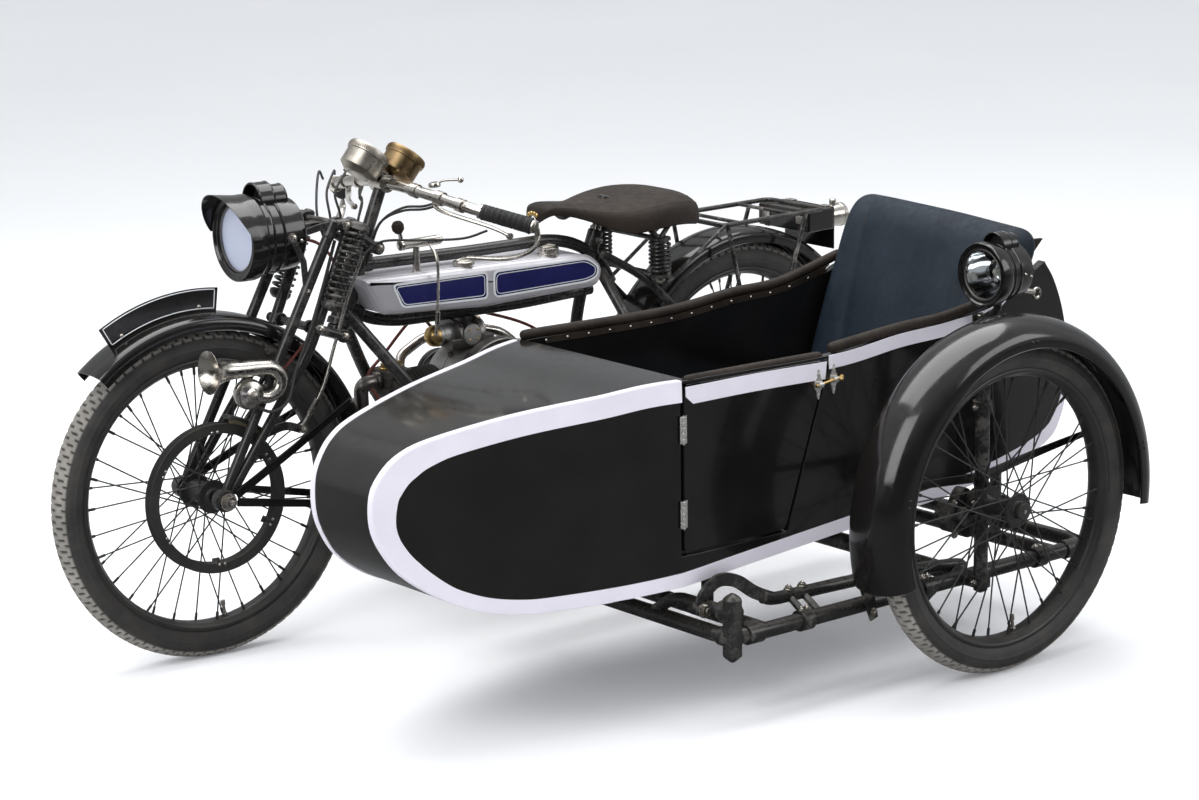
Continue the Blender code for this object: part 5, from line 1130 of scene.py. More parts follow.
    def hub(self) -> None:
        """Hub barrel, flanges and bearing caps: one profile turned about the axle."""
        w, f = self.hub_half, self.flange_radius
        profile = [(-w - 0.004, 0.0095), (-w - 0.004, 0.014), (-w, 0.019), (-w, f - 0.001),
                   (-w + 0.001, f), (-w + 0.004, f),
                   (-w + 0.005, f - 0.001), (-w + 0.006, 0.024), (-w + 0.012, 0.0215), (0, 0.0200),
                   (w - 0.012, 0.0215),
                   (w - 0.006, 0.024), (w - 0.005, f - 0.001), (w - 0.004, f), (w - 0.001, f),
                   (w, f - 0.001), (w, 0.019),
                   (w + 0.004, 0.014), (w + 0.004, 0.0095)]
        hub = lathe(profile, self.centre, (0, 1, 0), 40, ring=True)
        oiler = round_heads(self.centre + np.array((0, 0, 0.020)), (0, 0, 1), 0.005, 0.006)
        self.shop.piece(f"{self.body}_hub", [hub, oiler], SPOKE_BLACK, self.body, bevel=0.0006)

    def belt_rim(self) -> None:
        """Grooved rim for belt or brake, held to the spokes by six clips, with small bolts through it."""
        r, w, y = self.belt_radius, self.belt_half, self.belt_y
        profile = [(y - w, r - 0.019), (y - w, r), (y - w + 0.003, r + 0.001), (y - 0.003, r - 0.0095),
                   (y + 0.003, r - 0.0095),
                   (y + w - 0.003, r + 0.001), (y + w, r), (y + w, r - 0.019), (y + w - 0.002, r - 0.020),
                   (y + 0.004, r - 0.0135), (y - 0.004, r - 0.0135), (y - w + 0.002, r - 0.020)]
        ring = lathe(profile, self.centre, (0, 1, 0), 112, ring=True)
        self.shop.piece(f"{self.body}_belt_rim", ring, SPOKE_BLACK, self.body, bevel=0.0005)
        angle = np.arange(6) * 60.0 + 30.0
        start = about(self.centre, angle - 3.0, r - 0.020, y - w - 0.002)
        end = about(self.centre, angle + 3.0, r - 0.020, y - w - 0.002)
        clips = [rods(start, end, 0.0048, 12),
                 rods((start + end) / 2, about(self.centre, angle, r - 0.010, y - w + 0.004), 0.0060, 12)]
        self.shop.piece(f"{self.body}_belt_rim_clips", clips, SPOKE_BLACK, self.body)
        bolts = about(self.centre, np.repeat(angle, 2) + np.tile((-2.6, 2.6), 6), r - 0.0165, y + w)
        self.shop.piece(f"{self.body}_belt_rim_bolts", round_heads(bolts, (0, 1, 0), 0.0034, 0.0022),
                        NICKEL, self.body)


def tyre_material() -> bpy.types.Material:
    """Rubber that is dark on the sides and dusty on the tread, where the mark on the mesh is high."""
    known = bpy.data.materials.get("tyre with dusty tread")
    if known:
        return known
    material = bpy.data.materials.new("tyre with dusty tread")
    material.use_nodes = True
    tree = NodeTree(material.node_tree)
    shader = tree.tree.nodes["Principled BSDF"]
    place = tree.add("ShaderNodeTexCoord").outputs["Object"]
    mark = tree.add("ShaderNodeAttribute")
    mark.attribute_name = "tread"
    broad = tree.ramp(tree.noise(place, 16.0, 5.0, 0.65), 0.30, 0.72)
    side = tree.blend(broad, (0.020, 0.019, 0.019), (0.046, 0.042, 0.038))
    top = tree.blend(broad, (0.15, 0.142, 0.128), (0.27, 0.255, 0.235))
    both = tree.add("ShaderNodeMix")
    both.data_type = "RGBA"
    tree.link(mark.outputs["Fac"], both.inputs["Factor"])
    tree.link(side, both.inputs[6])
    tree.link(top, both.inputs[7])
    tree.link(both.outputs[2], shader.inputs["Base Color"])
    fine = tree.noise(place, 320.0, 5.0, 0.7)
    tree.link(tree.towards(tree.spread(fine, 0.50, 0.72), 0.92, mark.outputs["Fac"]),
              shader.inputs["Roughness"])
    bump = tree.add("ShaderNodeBump")
    bump.inputs["Strength"].default_value = 0.5
    bump.inputs["Distance"].default_value = 0.0006
    tree.link(fine, bump.inputs["Height"])
    tree.link(bump.outputs["Normal"], shader.inputs["Normal"])
    return material


# Mudguards


GUARD_SECTION = ((-0.052, 0.336), (-0.0517, 0.350), (-0.047, 0.3585), (-0.036, 0.3630), (-0.022, 0.3652),
                 (0.0, 0.3658),
                 (0.022, 0.3652), (0.036, 0.3630), (0.047, 0.3585), (0.0517, 0.350), (0.052, 0.336))
SIDE_SECTION = ((-0.0700, 0.3235), (-0.0697, 0.338), (-0.064, 0.352), (-0.051, 0.3645), (-0.034, 0.3725),
                (-0.016, 0.3768),
                (0.0, 0.3779), (0.016, 0.3768), (0.034, 0.3725), (0.051, 0.3645), (0.064, 0.352),
                (0.0697, 0.338),
                (0.0700, 0.3235))


def sheet_section(outline: tuple, wall: float) -> Array:
    """Closed (radius, across) section of bent sheet: the outline, a bead at each edge and the way back."""
    points = np.array(outline)
    across, level = points[:, 0], points[:, 1]
    fine = spline(np.stack((level, across), axis=1), 3)
    inner = fine.copy()
    inner[:, 0] -= wall
    inner[:, 1] *= 1 - wall / np.abs(across).max()
    bead = 0.0026
    low, wide = level.min(), np.abs(across).max()
    turn = np.linspace(-0.5, 1.0, 6) * math.pi
    roll = np.stack((low - bead * np.sin(turn + 0.9), wide - bead + bead * np.cos(turn) * 0.9), axis=1)
    far = roll * np.array((1.0, -1.0))
    return np.vstack((far[::-1], fine, roll, inner[::-1]))


@dataclass
class Guards:
    """The three mudguards with their stays."""

    shop: Workshop
    front: Array
    rear: Array
    side: Array

    def build(self) -> None:
        """Makes the front, rear and sidecar mudguards."""
        self.front_guard()
        self.rear_guard()
        self.side_guard()

    def front_guard(self) -> None:
        """Front mudguard: its sheet section carried round the wheel, and two pairs of stays."""
        sheet = arch(self.front, 49.0, 196.0, sheet_section(GUARD_SECTION, 0.0018), 88)
        self.shop.piece("front_guard_sheet", sheet, BLACK, "steering", ("front_mudguard",))
        flat = []
        for side in (1, -1):
            hub = self.front + np.array((0, side * 0.0975, 0))
            for degrees in (154.5, 191.0):
                tip = about(self.front, degrees, 0.352, side * 0.0535)
                foot = hub + about(np.zeros(3), degrees, 0.024)
                mid = foot * 0.5 + tip * 0.5 + np.array((0, side * 0.004, 0))
                section = oblong(1, 0.35)
                path = spline(path_of([foot, mid, tip]), 8)
                flat.append(sweep(path, np.linspace(0.0085, 0.0070, len(path)), section=section,
                                  up=(0, 1, 0)))
            flat.append(rods(hub - (0, 0.003 * side, 0), hub + (0, 0.003 * side, 0), 0.020, 20))
        self.shop.piece("front_guard_stays", flat, BLACK, "steering", bevel=0.0008)
        tips = [about(self.front, a, 0.352, s * 0.056) for a in (154.5, 191.0) for s in (1, -1)]
        sides = np.array([(0, s, 0) for _ in range(2) for s in (1, -1)], float)
        self.shop.piece("front_guard_bolts", bolt_heads(path_of(tips), sides, 0.0038, 0.003), NICKEL,
                        "steering")

    def rear_guard(self) -> None:
        """Rear mudguard with its pair of rod stays."""
        sheet = arch(self.rear, 28.0, 163.0, sheet_section(GUARD_SECTION, 0.0018), 80)
        self.shop.piece("rear_guard_sheet", sheet, BLACK, "outfit", ("rear_mudguard",))
        stays = []
        for side in (1, -1):
            tip = about(self.rear, 157.0, 0.351, side * 0.0535)
            foot = about(self.rear, 157.0, 0.022, side * 0.098)
            stays.append(rods(foot, tip, 0.0040, 12))
        self.shop.piece("rear_guard_stays", stays, BLACK)

    def side_guard(self) -> None:
        """Sidecar mudguard: a full round section, its rivets, and flat stays to the wheel's strut."""
        sheet = arch(self.side, -16.0, 187.0, sheet_section(SIDE_SECTION, 0.0018), 120)
        self.shop.piece("side_guard_sheet", sheet, BLACK, "outfit", ("sidecar_mudguard",))
        inner = -0.0700 + 0.0012
        section = oblong(1, 0.3)
        stays, tips = [], []
        for degrees in (12.0, 165.0):
            foot = self.side + np.array((0, -0.059, 0.048))
            tip = about(self.side, degrees, 0.3245, inner)
            path = spline(path_of([foot, foot * 0.5 + tip * 0.5 + (0, -0.004, 0), tip]), 10)
            stays.append(sweep(path, np.linspace(0.0095, 0.0065, len(path)), section=section, up=(0, 1, 0)))
            tips.append(tip)
        self.shop.piece("side_guard_stays", stays, BLACK, bevel=0.0008)
        rivets = np.concatenate([about(self.side, np.array((a, a + 2.2)), 0.3355,
                                       inner - 0.0015) for a in (12.0, 90.0, 165.0)])
        outer = rivets.copy()
        outer[:, 1] = self.side[1] * 2 - rivets[:, 1]
        heads = [round_heads(rivets, (0, -1, 0), 0.0032, 0.0018),
                 round_heads(outer, (0, 1, 0), 0.0032, 0.0018)]
        self.shop.piece("side_guard_rivets", heads, BLACK)


# Frame, tank and saddle


HEAD_AXIS = np.array((-math.sin(math.radians(23.0)), 0.0, math.cos(math.radians(23.0))))
HEAD_POINT = at(0.7629, 0.0, 0.2186)
SEAT_TOP = at(0.28, 0.0, 0.2893)
FORK_END = np.array((0.0, 0.098, WHEEL_RADIUS))
ENGINE_CENTRE = at(0.525, 0.0, 0.0893)
ENGINE_MOUNTS = (0.469, 0.791)
UPPER_SPINDLE = at(0.7857, 0.0, 0.3679)
BAR_CLAMP = at(0.6813, 0.0, 0.4107)


@dataclass
class Frame:
    """Brazed tube frame with its lugs, rear fork ends, axle and folding stand."""

    shop: Workshop
    tube: float = 0.013
    stay: float = 0.009
    lug: float = 0.0165

    top_run: tuple = ((0.7293, 0.2968), (0.7071, 0.2954), (0.5229, 0.2893), (0.3714, 0.2879),
                      (0.3214, 0.2757),
                      (0.2757, 0.2471), (0.2514, 0.2071))
    rail_run: tuple = ((0.7536, 0.2393), (0.7143, 0.2157), (0.6643, 0.2043), (0.4286, 0.1979),
                       (0.2929, 0.2014))
    seat_run: tuple = ((0.28, 0.2893), (0.2929, 0.2571), (0.3229, 0.1557), (0.3343, -0.0214))
    cradle_run: tuple = ((0.7586, 0.0086, 0.2321), (0.675, 0.0586, 0.1107), (0.5893, 0.0629, -0.0214),
                         (0.5643, 0.0629, -0.03), (0.3143, 0.0629, -0.03), (0.2357, 0.0679, -0.0243))
    stay_run: tuple = ((0.2821, 0.0143, 0.2571), (0.2357, 0.0607, 0.2214))

    def build(self) -> None:
        """Makes the tubes, the lugs and the stand."""
        self.tubes()
        self.lugs()
        self.stand()

    def paths(self) -> tuple[list[Array], list[Array]]:
        """Middle lines of the single tubes, and of the tubes that run in pairs."""
        singles = (self.top_run, self.rail_run, self.seat_run)
        single = [path_of([at(x, 0.0, z) for x, z in run]) for run in singles]
        pairs = [path_of([at(*share) for share in run] + [FORK_END]) for run in (self.cradle_run,
                                                                                 self.stay_run)]
        return [bend(p, 0.06) for p in single], [bend(p, 0.06) for p in pairs]

    def tubes(self) -> None:
        """Every tube as a circle carried along its rounded path, with the head and the engine's bridges."""
        single, pairs = self.paths()
        shapes = [sweep(path, self.tube, 24) for path in single]
        shapes += [mirrored(sweep(path, r, 24)) for path, r in zip(pairs, (self.tube, self.stay))]
        low = HEAD_POINT - HEAD_AXIS * 0.01
        head = [(0.0, 0.0255), (0.012, 0.0255), (0.016, 0.0215), (0.036, 0.0205), (0.060, 0.0225),
                (0.098, 0.0225),
                (0.118, 0.0205), (0.142, 0.0215), (0.146, 0.0255), (0.158, 0.0255)]
        shapes.append(lathe(head, low, HEAD_AXIS, 40))
        for x in ENGINE_MOUNTS:
            shapes.append(rods((x, -0.088, 0.288), (x, 0.088, 0.288), 0.009, 16))
        shapes.append(rods((0, -0.118, 0.33), (0, 0.118, 0.33), 0.0075, 16))
        self.shop.piece("frame_tubes", shapes, FRAME_BLACK, "outfit", ("frame",))

    def lugs(self) -> None:
        """Sleeves at the joints: a slightly larger profile with rounded mouths, turned about each tube."""
        sleeves = []
        spots = [
            (at(0.7293, 0, 0.2968), at(0.70, 0, 0.295), 0.036),
                 (at(0.7536, 0, 0.2393), at(0.7143, 0, 0.2157), 0.046),
            (SEAT_TOP, at(0.2929, 0, 0.2571), 0.045), (at(0.2929, 0, 0.2571), at(0.3229, 0, 0.1557), 0.042),
            (at(0.3329, 0, -0.001), at(0.3343, 0, -0.0214), 0.034),
        ]
        for start, toward, length in spots:
            run = unit(toward - start)
            r = self.lug
            profile = [(-0.002, r - 0.002), (0, r), (length - 0.006, r), (length - 0.002, r - 0.0012),
                       (length, r - 0.0034)]
            sleeves.append(lathe(profile, start, run, 28))
        clip = [(-0.008, 0.0), (-0.008, 0.0205), (-0.006, 0.0225), (0.006, 0.0225), (0.008, 0.0205),
                (0.008, 0.0)]
        ends = []
        for side in (1, -1):
            ends.append(lathe(np.maximum(clip, (-1, 0.0002)), FORK_END * (1, side, 1), (0, 1, 0), 28))
            ends.append(rods(FORK_END * (1, side, 1), (-0.012, side * 0.098, 0.292), 0.0095, 14))
            ends.append(rods((-0.012, side * 0.092, 0.292), (-0.012, side * 0.131, 0.292), 0.0052, 14))
        self.shop.piece("frame_lugs", sleeves + ends, FRAME_BLACK, bevel=0.0006)
        nuts = [bolt_heads(FORK_END * (1, s, 1) + (0, s * 0.008, 0), (0, s, 0), 0.0115,
                           0.010) for s in (1, -1)]
        nuts += [bolt_heads(SEAT_TOP + (0.004, s * 0.0165, -0.018), (0, s, 0), 0.0062,
                            0.005) for s in (1, -1)]
        nuts += [bolt_heads((x, s * 0.100, 0.288), (0, s, 0), 0.0062,
                            0.005) for x in ENGINE_MOUNTS for s in (1, -1)]
        self.shop.piece("frame_nuts", nuts, NICKEL)

    def stand(self) -> None:
        """Rear stand: two legs from the fork ends, joined by a cross bar, folded up behind the wheel."""
        hinge = np.array((-0.01204, 0.0, 0.29206))
        out = np.array((-math.cos(math.radians(4.0)), 0.0, math.sin(math.radians(4.0))))
        eye, reach = hinge + (0, 0.120, 0), 0.344
        bar = hinge + out * reach
        path = path_of([eye + out * 0.008, bar + (0, 0.120, 0), bar + (0, -0.120, 0),
                        hinge + (0, -0.120, 0) + out * 0.008])
        shapes = [sweep(bend(path, 0.0075, 5), 0.0072, 16, up=(-out[2], 0, out[0]))]
        ring = [(-0.0075, 0.0058), (-0.0075, 0.012), (0.0075, 0.012), (0.0075, 0.0058)]
        shapes += [lathe(ring, hinge + (0, s * 0.120, 0), (0, 1, 0), 24, ring=True) for s in (1, -1)]
        self.shop.piece("rear_stand_dressed", shapes, FRAME_BLACK, "rear_stand", ("rear_stand_legs",),
                        bevel=0.0008)


@dataclass
class Tank:
    """Silver wedge tank with lined blue panels, filler caps and the oil pump."""

    shop: Workshop
    half_width: float = 0.072

    outline: tuple = ((0.7571, 0.2843), (0.7229, 0.2286), (0.5321, 0.2139), (0.3143, 0.2164),
                      (0.3057, 0.2443),
                      (0.33, 0.2643), (0.3714, 0.2704), (0.5307, 0.2757), (0.7036, 0.2811))
    front_panel: tuple = ((0.985, 0.708), (0.962, 0.659), (0.745, 0.648), (0.745, 0.702))
    rear_panel: tuple = ((0.726, 0.701), (0.726, 0.647), (0.475, 0.647), (0.449, 0.655), (0.446, 0.675),
                         (0.475, 0.696))

    def build(self) -> None:
        """Makes the tank, its panels and its fittings."""
        self.shell()
        self.panels()
        self.caps()
        self.oil_pump()

    def shell(self) -> None:
        """Tank: its outline with rounded corners, taken across in sections that shrink at both edges."""
        corners = path_of([at(x, 0.0, z) for x, z in self.outline])[:, (0, 2)]
        flat = evenly(rounded(corners, 0.016, 6), 150, closed=True)
        middle = flat.mean(axis=0)
        runs = unit(np.roll(flat, -1, 0) - np.roll(flat, 1, 0))
        inward = np.stack((-runs[:, 1], runs[:, 0]), axis=1)
        inward *= np.where(((middle - flat) * inward).sum(axis=1, keepdims=True) > 0, 1.0, -1.0)
        turn = np.linspace(0.0, math.pi / 2, 7)
        r = 0.013
        level = np.concatenate((-(self.half_width - r) - r * np.cos(turn),
                                (self.half_width - r) + r * np.cos(turn[::-1])))
        inset = np.concatenate((r * (1 - np.sin(turn)), r * (1 - np.sin(turn[::-1]))))
        points = flat[None] + inward[None] * inset[:, None, None]
        rows = np.stack((points[..., 0], np.broadcast_to(level[:, None], points.shape[:2]),
                         points[..., 1]), axis=-1)
        self.shop.piece("fuel_tank_shell", grid(rows), SILVER, "outfit", ("fuel_tank",), smooth=40)
        seam = np.column_stack((flat[:, 0], np.full(len(flat), self.half_width - r * 0.9), flat[:, 1]))
        self.shop.piece("fuel_tank_seams", mirrored(sweep(seam, 0.0014, 6, up=(0, 1, 0), closed=True)),
                        SILVER)

    def panels(self) -> None:
        """Blue panels as thin raised plates with a broad and a fine pale line, on both sides."""
        y = self.half_width
        plates, lines, fine_lines = [], [], []
        for corners, reach in ((self.front_panel, 0.010), (self.rear_panel, 0.014)):
            flat = evenly(rounded(np.array(corners), reach, 6), 110, closed=True)
            plates.append(prism(flat, y - 0.001, y + 0.0005))
            around = np.column_stack((flat[:, 0], np.full(len(flat), y + 0.0004), flat[:, 1]))
            strip = oblong(1, 0.35)
            lines.append(sweep(around, 0.0021, section=strip, up=(0, 1, 0), closed=True))
            middle = flat.mean(axis=0)
            inner = middle + (flat - middle) * (1 - 0.0065 / np.abs(flat - middle).max(axis=0))
            thin = np.column_stack((inner[:, 0], np.full(len(flat), y + 0.0005), inner[:, 1]))
            fine_lines.append(sweep(thin, 0.0008, section=strip * (1, 0.8), up=(0, 1, 0), closed=True))
        self.shop.piece("tank_blue_panels", mirrored(joined(plates)), NAVY, smooth=20)
        self.shop.piece("tank_pale_lining", mirrored(joined(lines)), LINE)
        self.shop.piece("tank_fine_lining", mirrored(joined(fine_lines)), LINE)

    def caps(self) -> None:
        """Two screwed filler caps with wings, near the left edge of the tank's top."""
        shapes = []
        for x in (0.560, 0.784):
            foot = np.array((x, 0.0446, 0.714))
            profile = [(-0.006, 0.023), (0.001, 0.023), (0.002, 0.0205), (0.006, 0.0205), (0.007, 0.022),
                       (0.013, 0.022),
                       (0.0145, 0.019), (0.0155, 0.010), (0.016, 0.0005)]
            shapes.append(lathe(profile, foot, (0, 0, 1), 36))
            wing = sweep(path_of([foot + (-0.017, 0, 0.014), foot + (0, 0, 0.018),
                                  foot + (0.017, 0, 0.014)]), 0.004, 10)
            angle = np.arange(24) * 2 * math.pi / 24
            rim = foot + np.stack((np.cos(angle), np.sin(angle), np.zeros(24)), axis=1) * 0.022
            shapes += [wing, rods(rim + (0, 0, 0.0075), rim + (0, 0, 0.0125), 0.0012, 6)]
        self.shop.piece("filler_caps", shapes, NICKEL)

    def oil_pump(self) -> None:
        """Oil pump along the tank's top: barrel, end caps, post, crank with its knob and the sight rod."""
        middle = np.array((0.905, 0.045, 0.781))
        barrel = [(-0.064, 0.0005), (-0.064, 0.007), (-0.061, 0.0095), (-0.052, 0.0100), (0.030, 0.0100),
                  (0.032, 0.0112),
                  (0.041, 0.0112), (0.0425, 0.008), (0.043, 0.0005)]
        shapes = [lathe(barrel, middle, (1, 0, 0), 28)]
        shapes.append(lathe([(0, 0.016), (0.004, 0.016), (0.007, 0.0085), (0.060, 0.0065)],
                            (0.905, 0.045, 0.715), (0, 0, 1), 24))
        top = middle + (0.037, 0, 0)
        shapes.append(sweep(spline(path_of([top, top + (0.004, 0.004, 0.018),
                                            top + (0.012, 0.008, 0.034)]), 6), 0.0042, 12))
        self.shop.piece("oil_pump_dressed", shapes, NICKEL, "outfit", ("oil_pump",), bevel=0.0005)
        knob = [(-0.014, 0.004), (-0.012, 0.008), (-0.005, 0.0125), (0.004, 0.0128), (0.010, 0.0095),
                (0.013, 0.003)]
        self.shop.piece("oil_pump_knob", lathe(knob, top + (0.014, 0.009, 0.040), (0.3, 0.2, 1), 24),
                        BROWN_HIDE)
        rod = spline(path_of([(0.879, 0.060, 0.774), (0.880, 0.083, 0.745), (0.882, 0.084, 0.66),
                              (0.884, 0.078, 0.590)]), 10)
        pipe = [sweep(rod, 0.0033, 10), rods((0.8825, 0.083, 0.64), (0.883, 0.0815, 0.615), 0.0055, 12)]
        self.shop.piece("oil_sight_pipe", pipe, NICKEL)


@dataclass
class Saddle:
    """Leather saddle on two bars and coil springs."""

    shop: Workshop
    stations: tuple = ((0.563, 0.018, 0.797), (0.553, 0.034, 0.809), (0.535, 0.041, 0.814),
                       (0.500, 0.047, 0.811), (0.460, 0.062, 0.806),
                       (0.420, 0.092, 0.805), (0.380, 0.119, 0.809), (0.330, 0.133, 0.815),
                       (0.275, 0.136, 0.818), (0.220, 0.124, 0.812),
                       (0.185, 0.100, 0.800), (0.165, 0.070, 0.788), (0.155, 0.035, 0.778))

    def build(self) -> None:
        """Makes the leather top, its rivets and its springs."""
        self.leather()
        self.springs()

    def leather(self) -> None:
        """Saddle top: across each station a half-oval that drops into skirts, sagged a little in the middle.

        The height falls by the skirt times 0.55 of the third power of the across share, and by a last
        part near each edge. The skirt is shorter where the saddle is narrow.
        """
        run = spline(path_of(self.stations), 7)
        x, half, top = run[:, 0], run[:, 1], run[:, 2]
        share = np.linspace(-1.0, 1.0, 41)
        skirt = 0.070 * np.clip(half / 0.12, 0.34, 1.0)
        fold = np.abs(share) ** 3
        sag = 0.010 * np.exp(-((share / 0.42) ** 2))[None] * np.exp(-(((x - 0.31) / 0.07) ** 2))[:, None]
        edge = np.clip((np.abs(share) - 0.86) / 0.14, 0.0, 1.0)
        across = np.sign(share) * np.minimum(np.abs(share) / 0.90, 1.0) ** 0.9
        y = half[:, None] * across[None] * (1 + 0.02 * edge[None])
        z = top[:, None] - skirt[:, None] * (fold * 0.55 + edge * 0.42)[None] - sag
        outer = np.stack((np.broadcast_to(x[:, None], y.shape), y, z), axis=-1)
        inner = outer.copy()
        inner[..., 1] *= 0.955
        inner[..., 2] -= 0.006 * (1 - edge[None])
        rows = np.concatenate((outer, inner[:, ::-1]), axis=1)
        pad = self.shop.piece("saddle_leather", grid(rows), BROWN_HIDE, "outfit", ("saddle",), smooth=60,
                              subdivide=1)
        stitches = []
        for column, side in ((4, -1), (-5, 1)):
            dots = evenly(outer[3:-2, column] + (0, side * 0.0012, 0), 66)
            stitches.append(rods(dots[:-1] * 0.72 + dots[1:] * 0.28, dots[:-1] * 0.28 + dots[1:] * 0.72,
                                 0.0008, 6))
        self.shop.piece("saddle_stitching", stitches, BELT)
        rear = outer[-1, 4:-4:4] + (-0.001, 0, -0.004)
        front = outer[0, 8:-8:8] + (0.001, 0, -0.003)
        heads = [round_heads(rear, (-1, 0, 0.1), 0.0055, 0.003),
                 round_heads(front, (1, 0, 0.1), 0.005, 0.003)]
        self.shop.piece("saddle_rivets", heads, BRASS)

    def springs(self) -> None:
        """Two coil springs under the saddle's rear with their plates, the saddle's bars and its clamp."""
        spring = at(0.2107, 0.07, 0.2214)
        height = 0.078
        shapes, black = [], []
        for side in (1, -1):
            foot = spring * (1, side, 1)
            shapes.append(sweep(coil_path(foot + (0, 0, 0.004), foot + (0, 0, height - 0.004), 0.0215, 8,
                                          22), 0.0034, 10, up=(0, 0, 1)))
            plate = [(-0.0045, 0.008), (-0.0045, 0.0235), (0.001, 0.0245), (0.0025, 0.022), (0.0045, 0.009)]
            black += [lathe(plate, foot, (0, 0, 1), 28),
                      lathe(plate, foot + (0, 0, height), (0, 0, -1), 28)]
            black.append(rods(foot + (0, 0, -0.012), foot + (0, 0, height + 0.010), 0.0042, 10))
            seat = foot + (0, 0, height)
            middle = at(0.2571, 0.0607, 0.3571)
            nose = at(0.3714, 0.02, 0.3443)
            low = nose[2] - 0.0156
            bar = path_of([seat, (middle[0], side * 0.051, low), (nose[0], side * 0.006, low)])
            black.append(sweep(bend(bar, 0.03), 0.0058, 14))
            rear = at(0.1429, 0.0943, 0.3464)
            black.append(rods(seat, (rear[0], side * 0.079, rear[2] - 0.0183), 0.0058, 14))
        for z in (0.0, height):
            black.append(rods(spring + (0, 0, z), spring * (1, -1, 1) + (0, 0, z), 0.0056, 14))
        run = unit(SEAT_TOP - at(0.2929, 0, 0.2571))
        clamp = SEAT_TOP + run * ((at(0.3714, 0, 0.3443)[2] - 0.0156 - SEAT_TOP[2]) / run[2])
        black.append(rods(clamp - (0, 0.051, 0), clamp + (0, 0.051, 0), 0.008, 16))
        black.append(lathe([(0, 0.0135), (0.005, 0.0165), (0.022, 0.0165), (0.025, 0.012)],
                           clamp - run * 0.012, run, 24))
        nickel = [rods(SEAT_TOP, clamp, 0.0104, 20)]
        nuts = [bolt_heads(spring * (1, s, 1) + (0, 0, -0.010), (0, 0, -1), 0.008, 0.006) for s in (1, -1)]
        nuts += [bolt_heads(clamp + (0, s * 0.051, 0), (0, s, 0), 0.007, 0.006) for s in (1, -1)]
        self.shop.piece("saddle_coils", shapes, FRAME_BLACK, "outfit", ("saddle_springs",))
        self.shop.piece("saddle_frame", black, FRAME_BLACK, bevel=0.0005)
        self.shop.piece("saddle_post", nickel + nuts, NICKEL)


# Engine and drive


CHEST_HALF = 0.024


def valve_chest(direction: float) -> tuple[Array, Array]:
    """Low and high corner of a valve chest: direction 1 is the front cylinder's, -1 the rear one's."""
    middle = ENGINE_CENTRE + (direction * (0.215 - CHEST_HALF), 0, 0)
    low = middle - (CHEST_HALF * 1.3, CHEST_HALF * 2.45, 0)
    return low, middle + (CHEST_HALF * 1.3, CHEST_HALF * 0.4, 0.056)


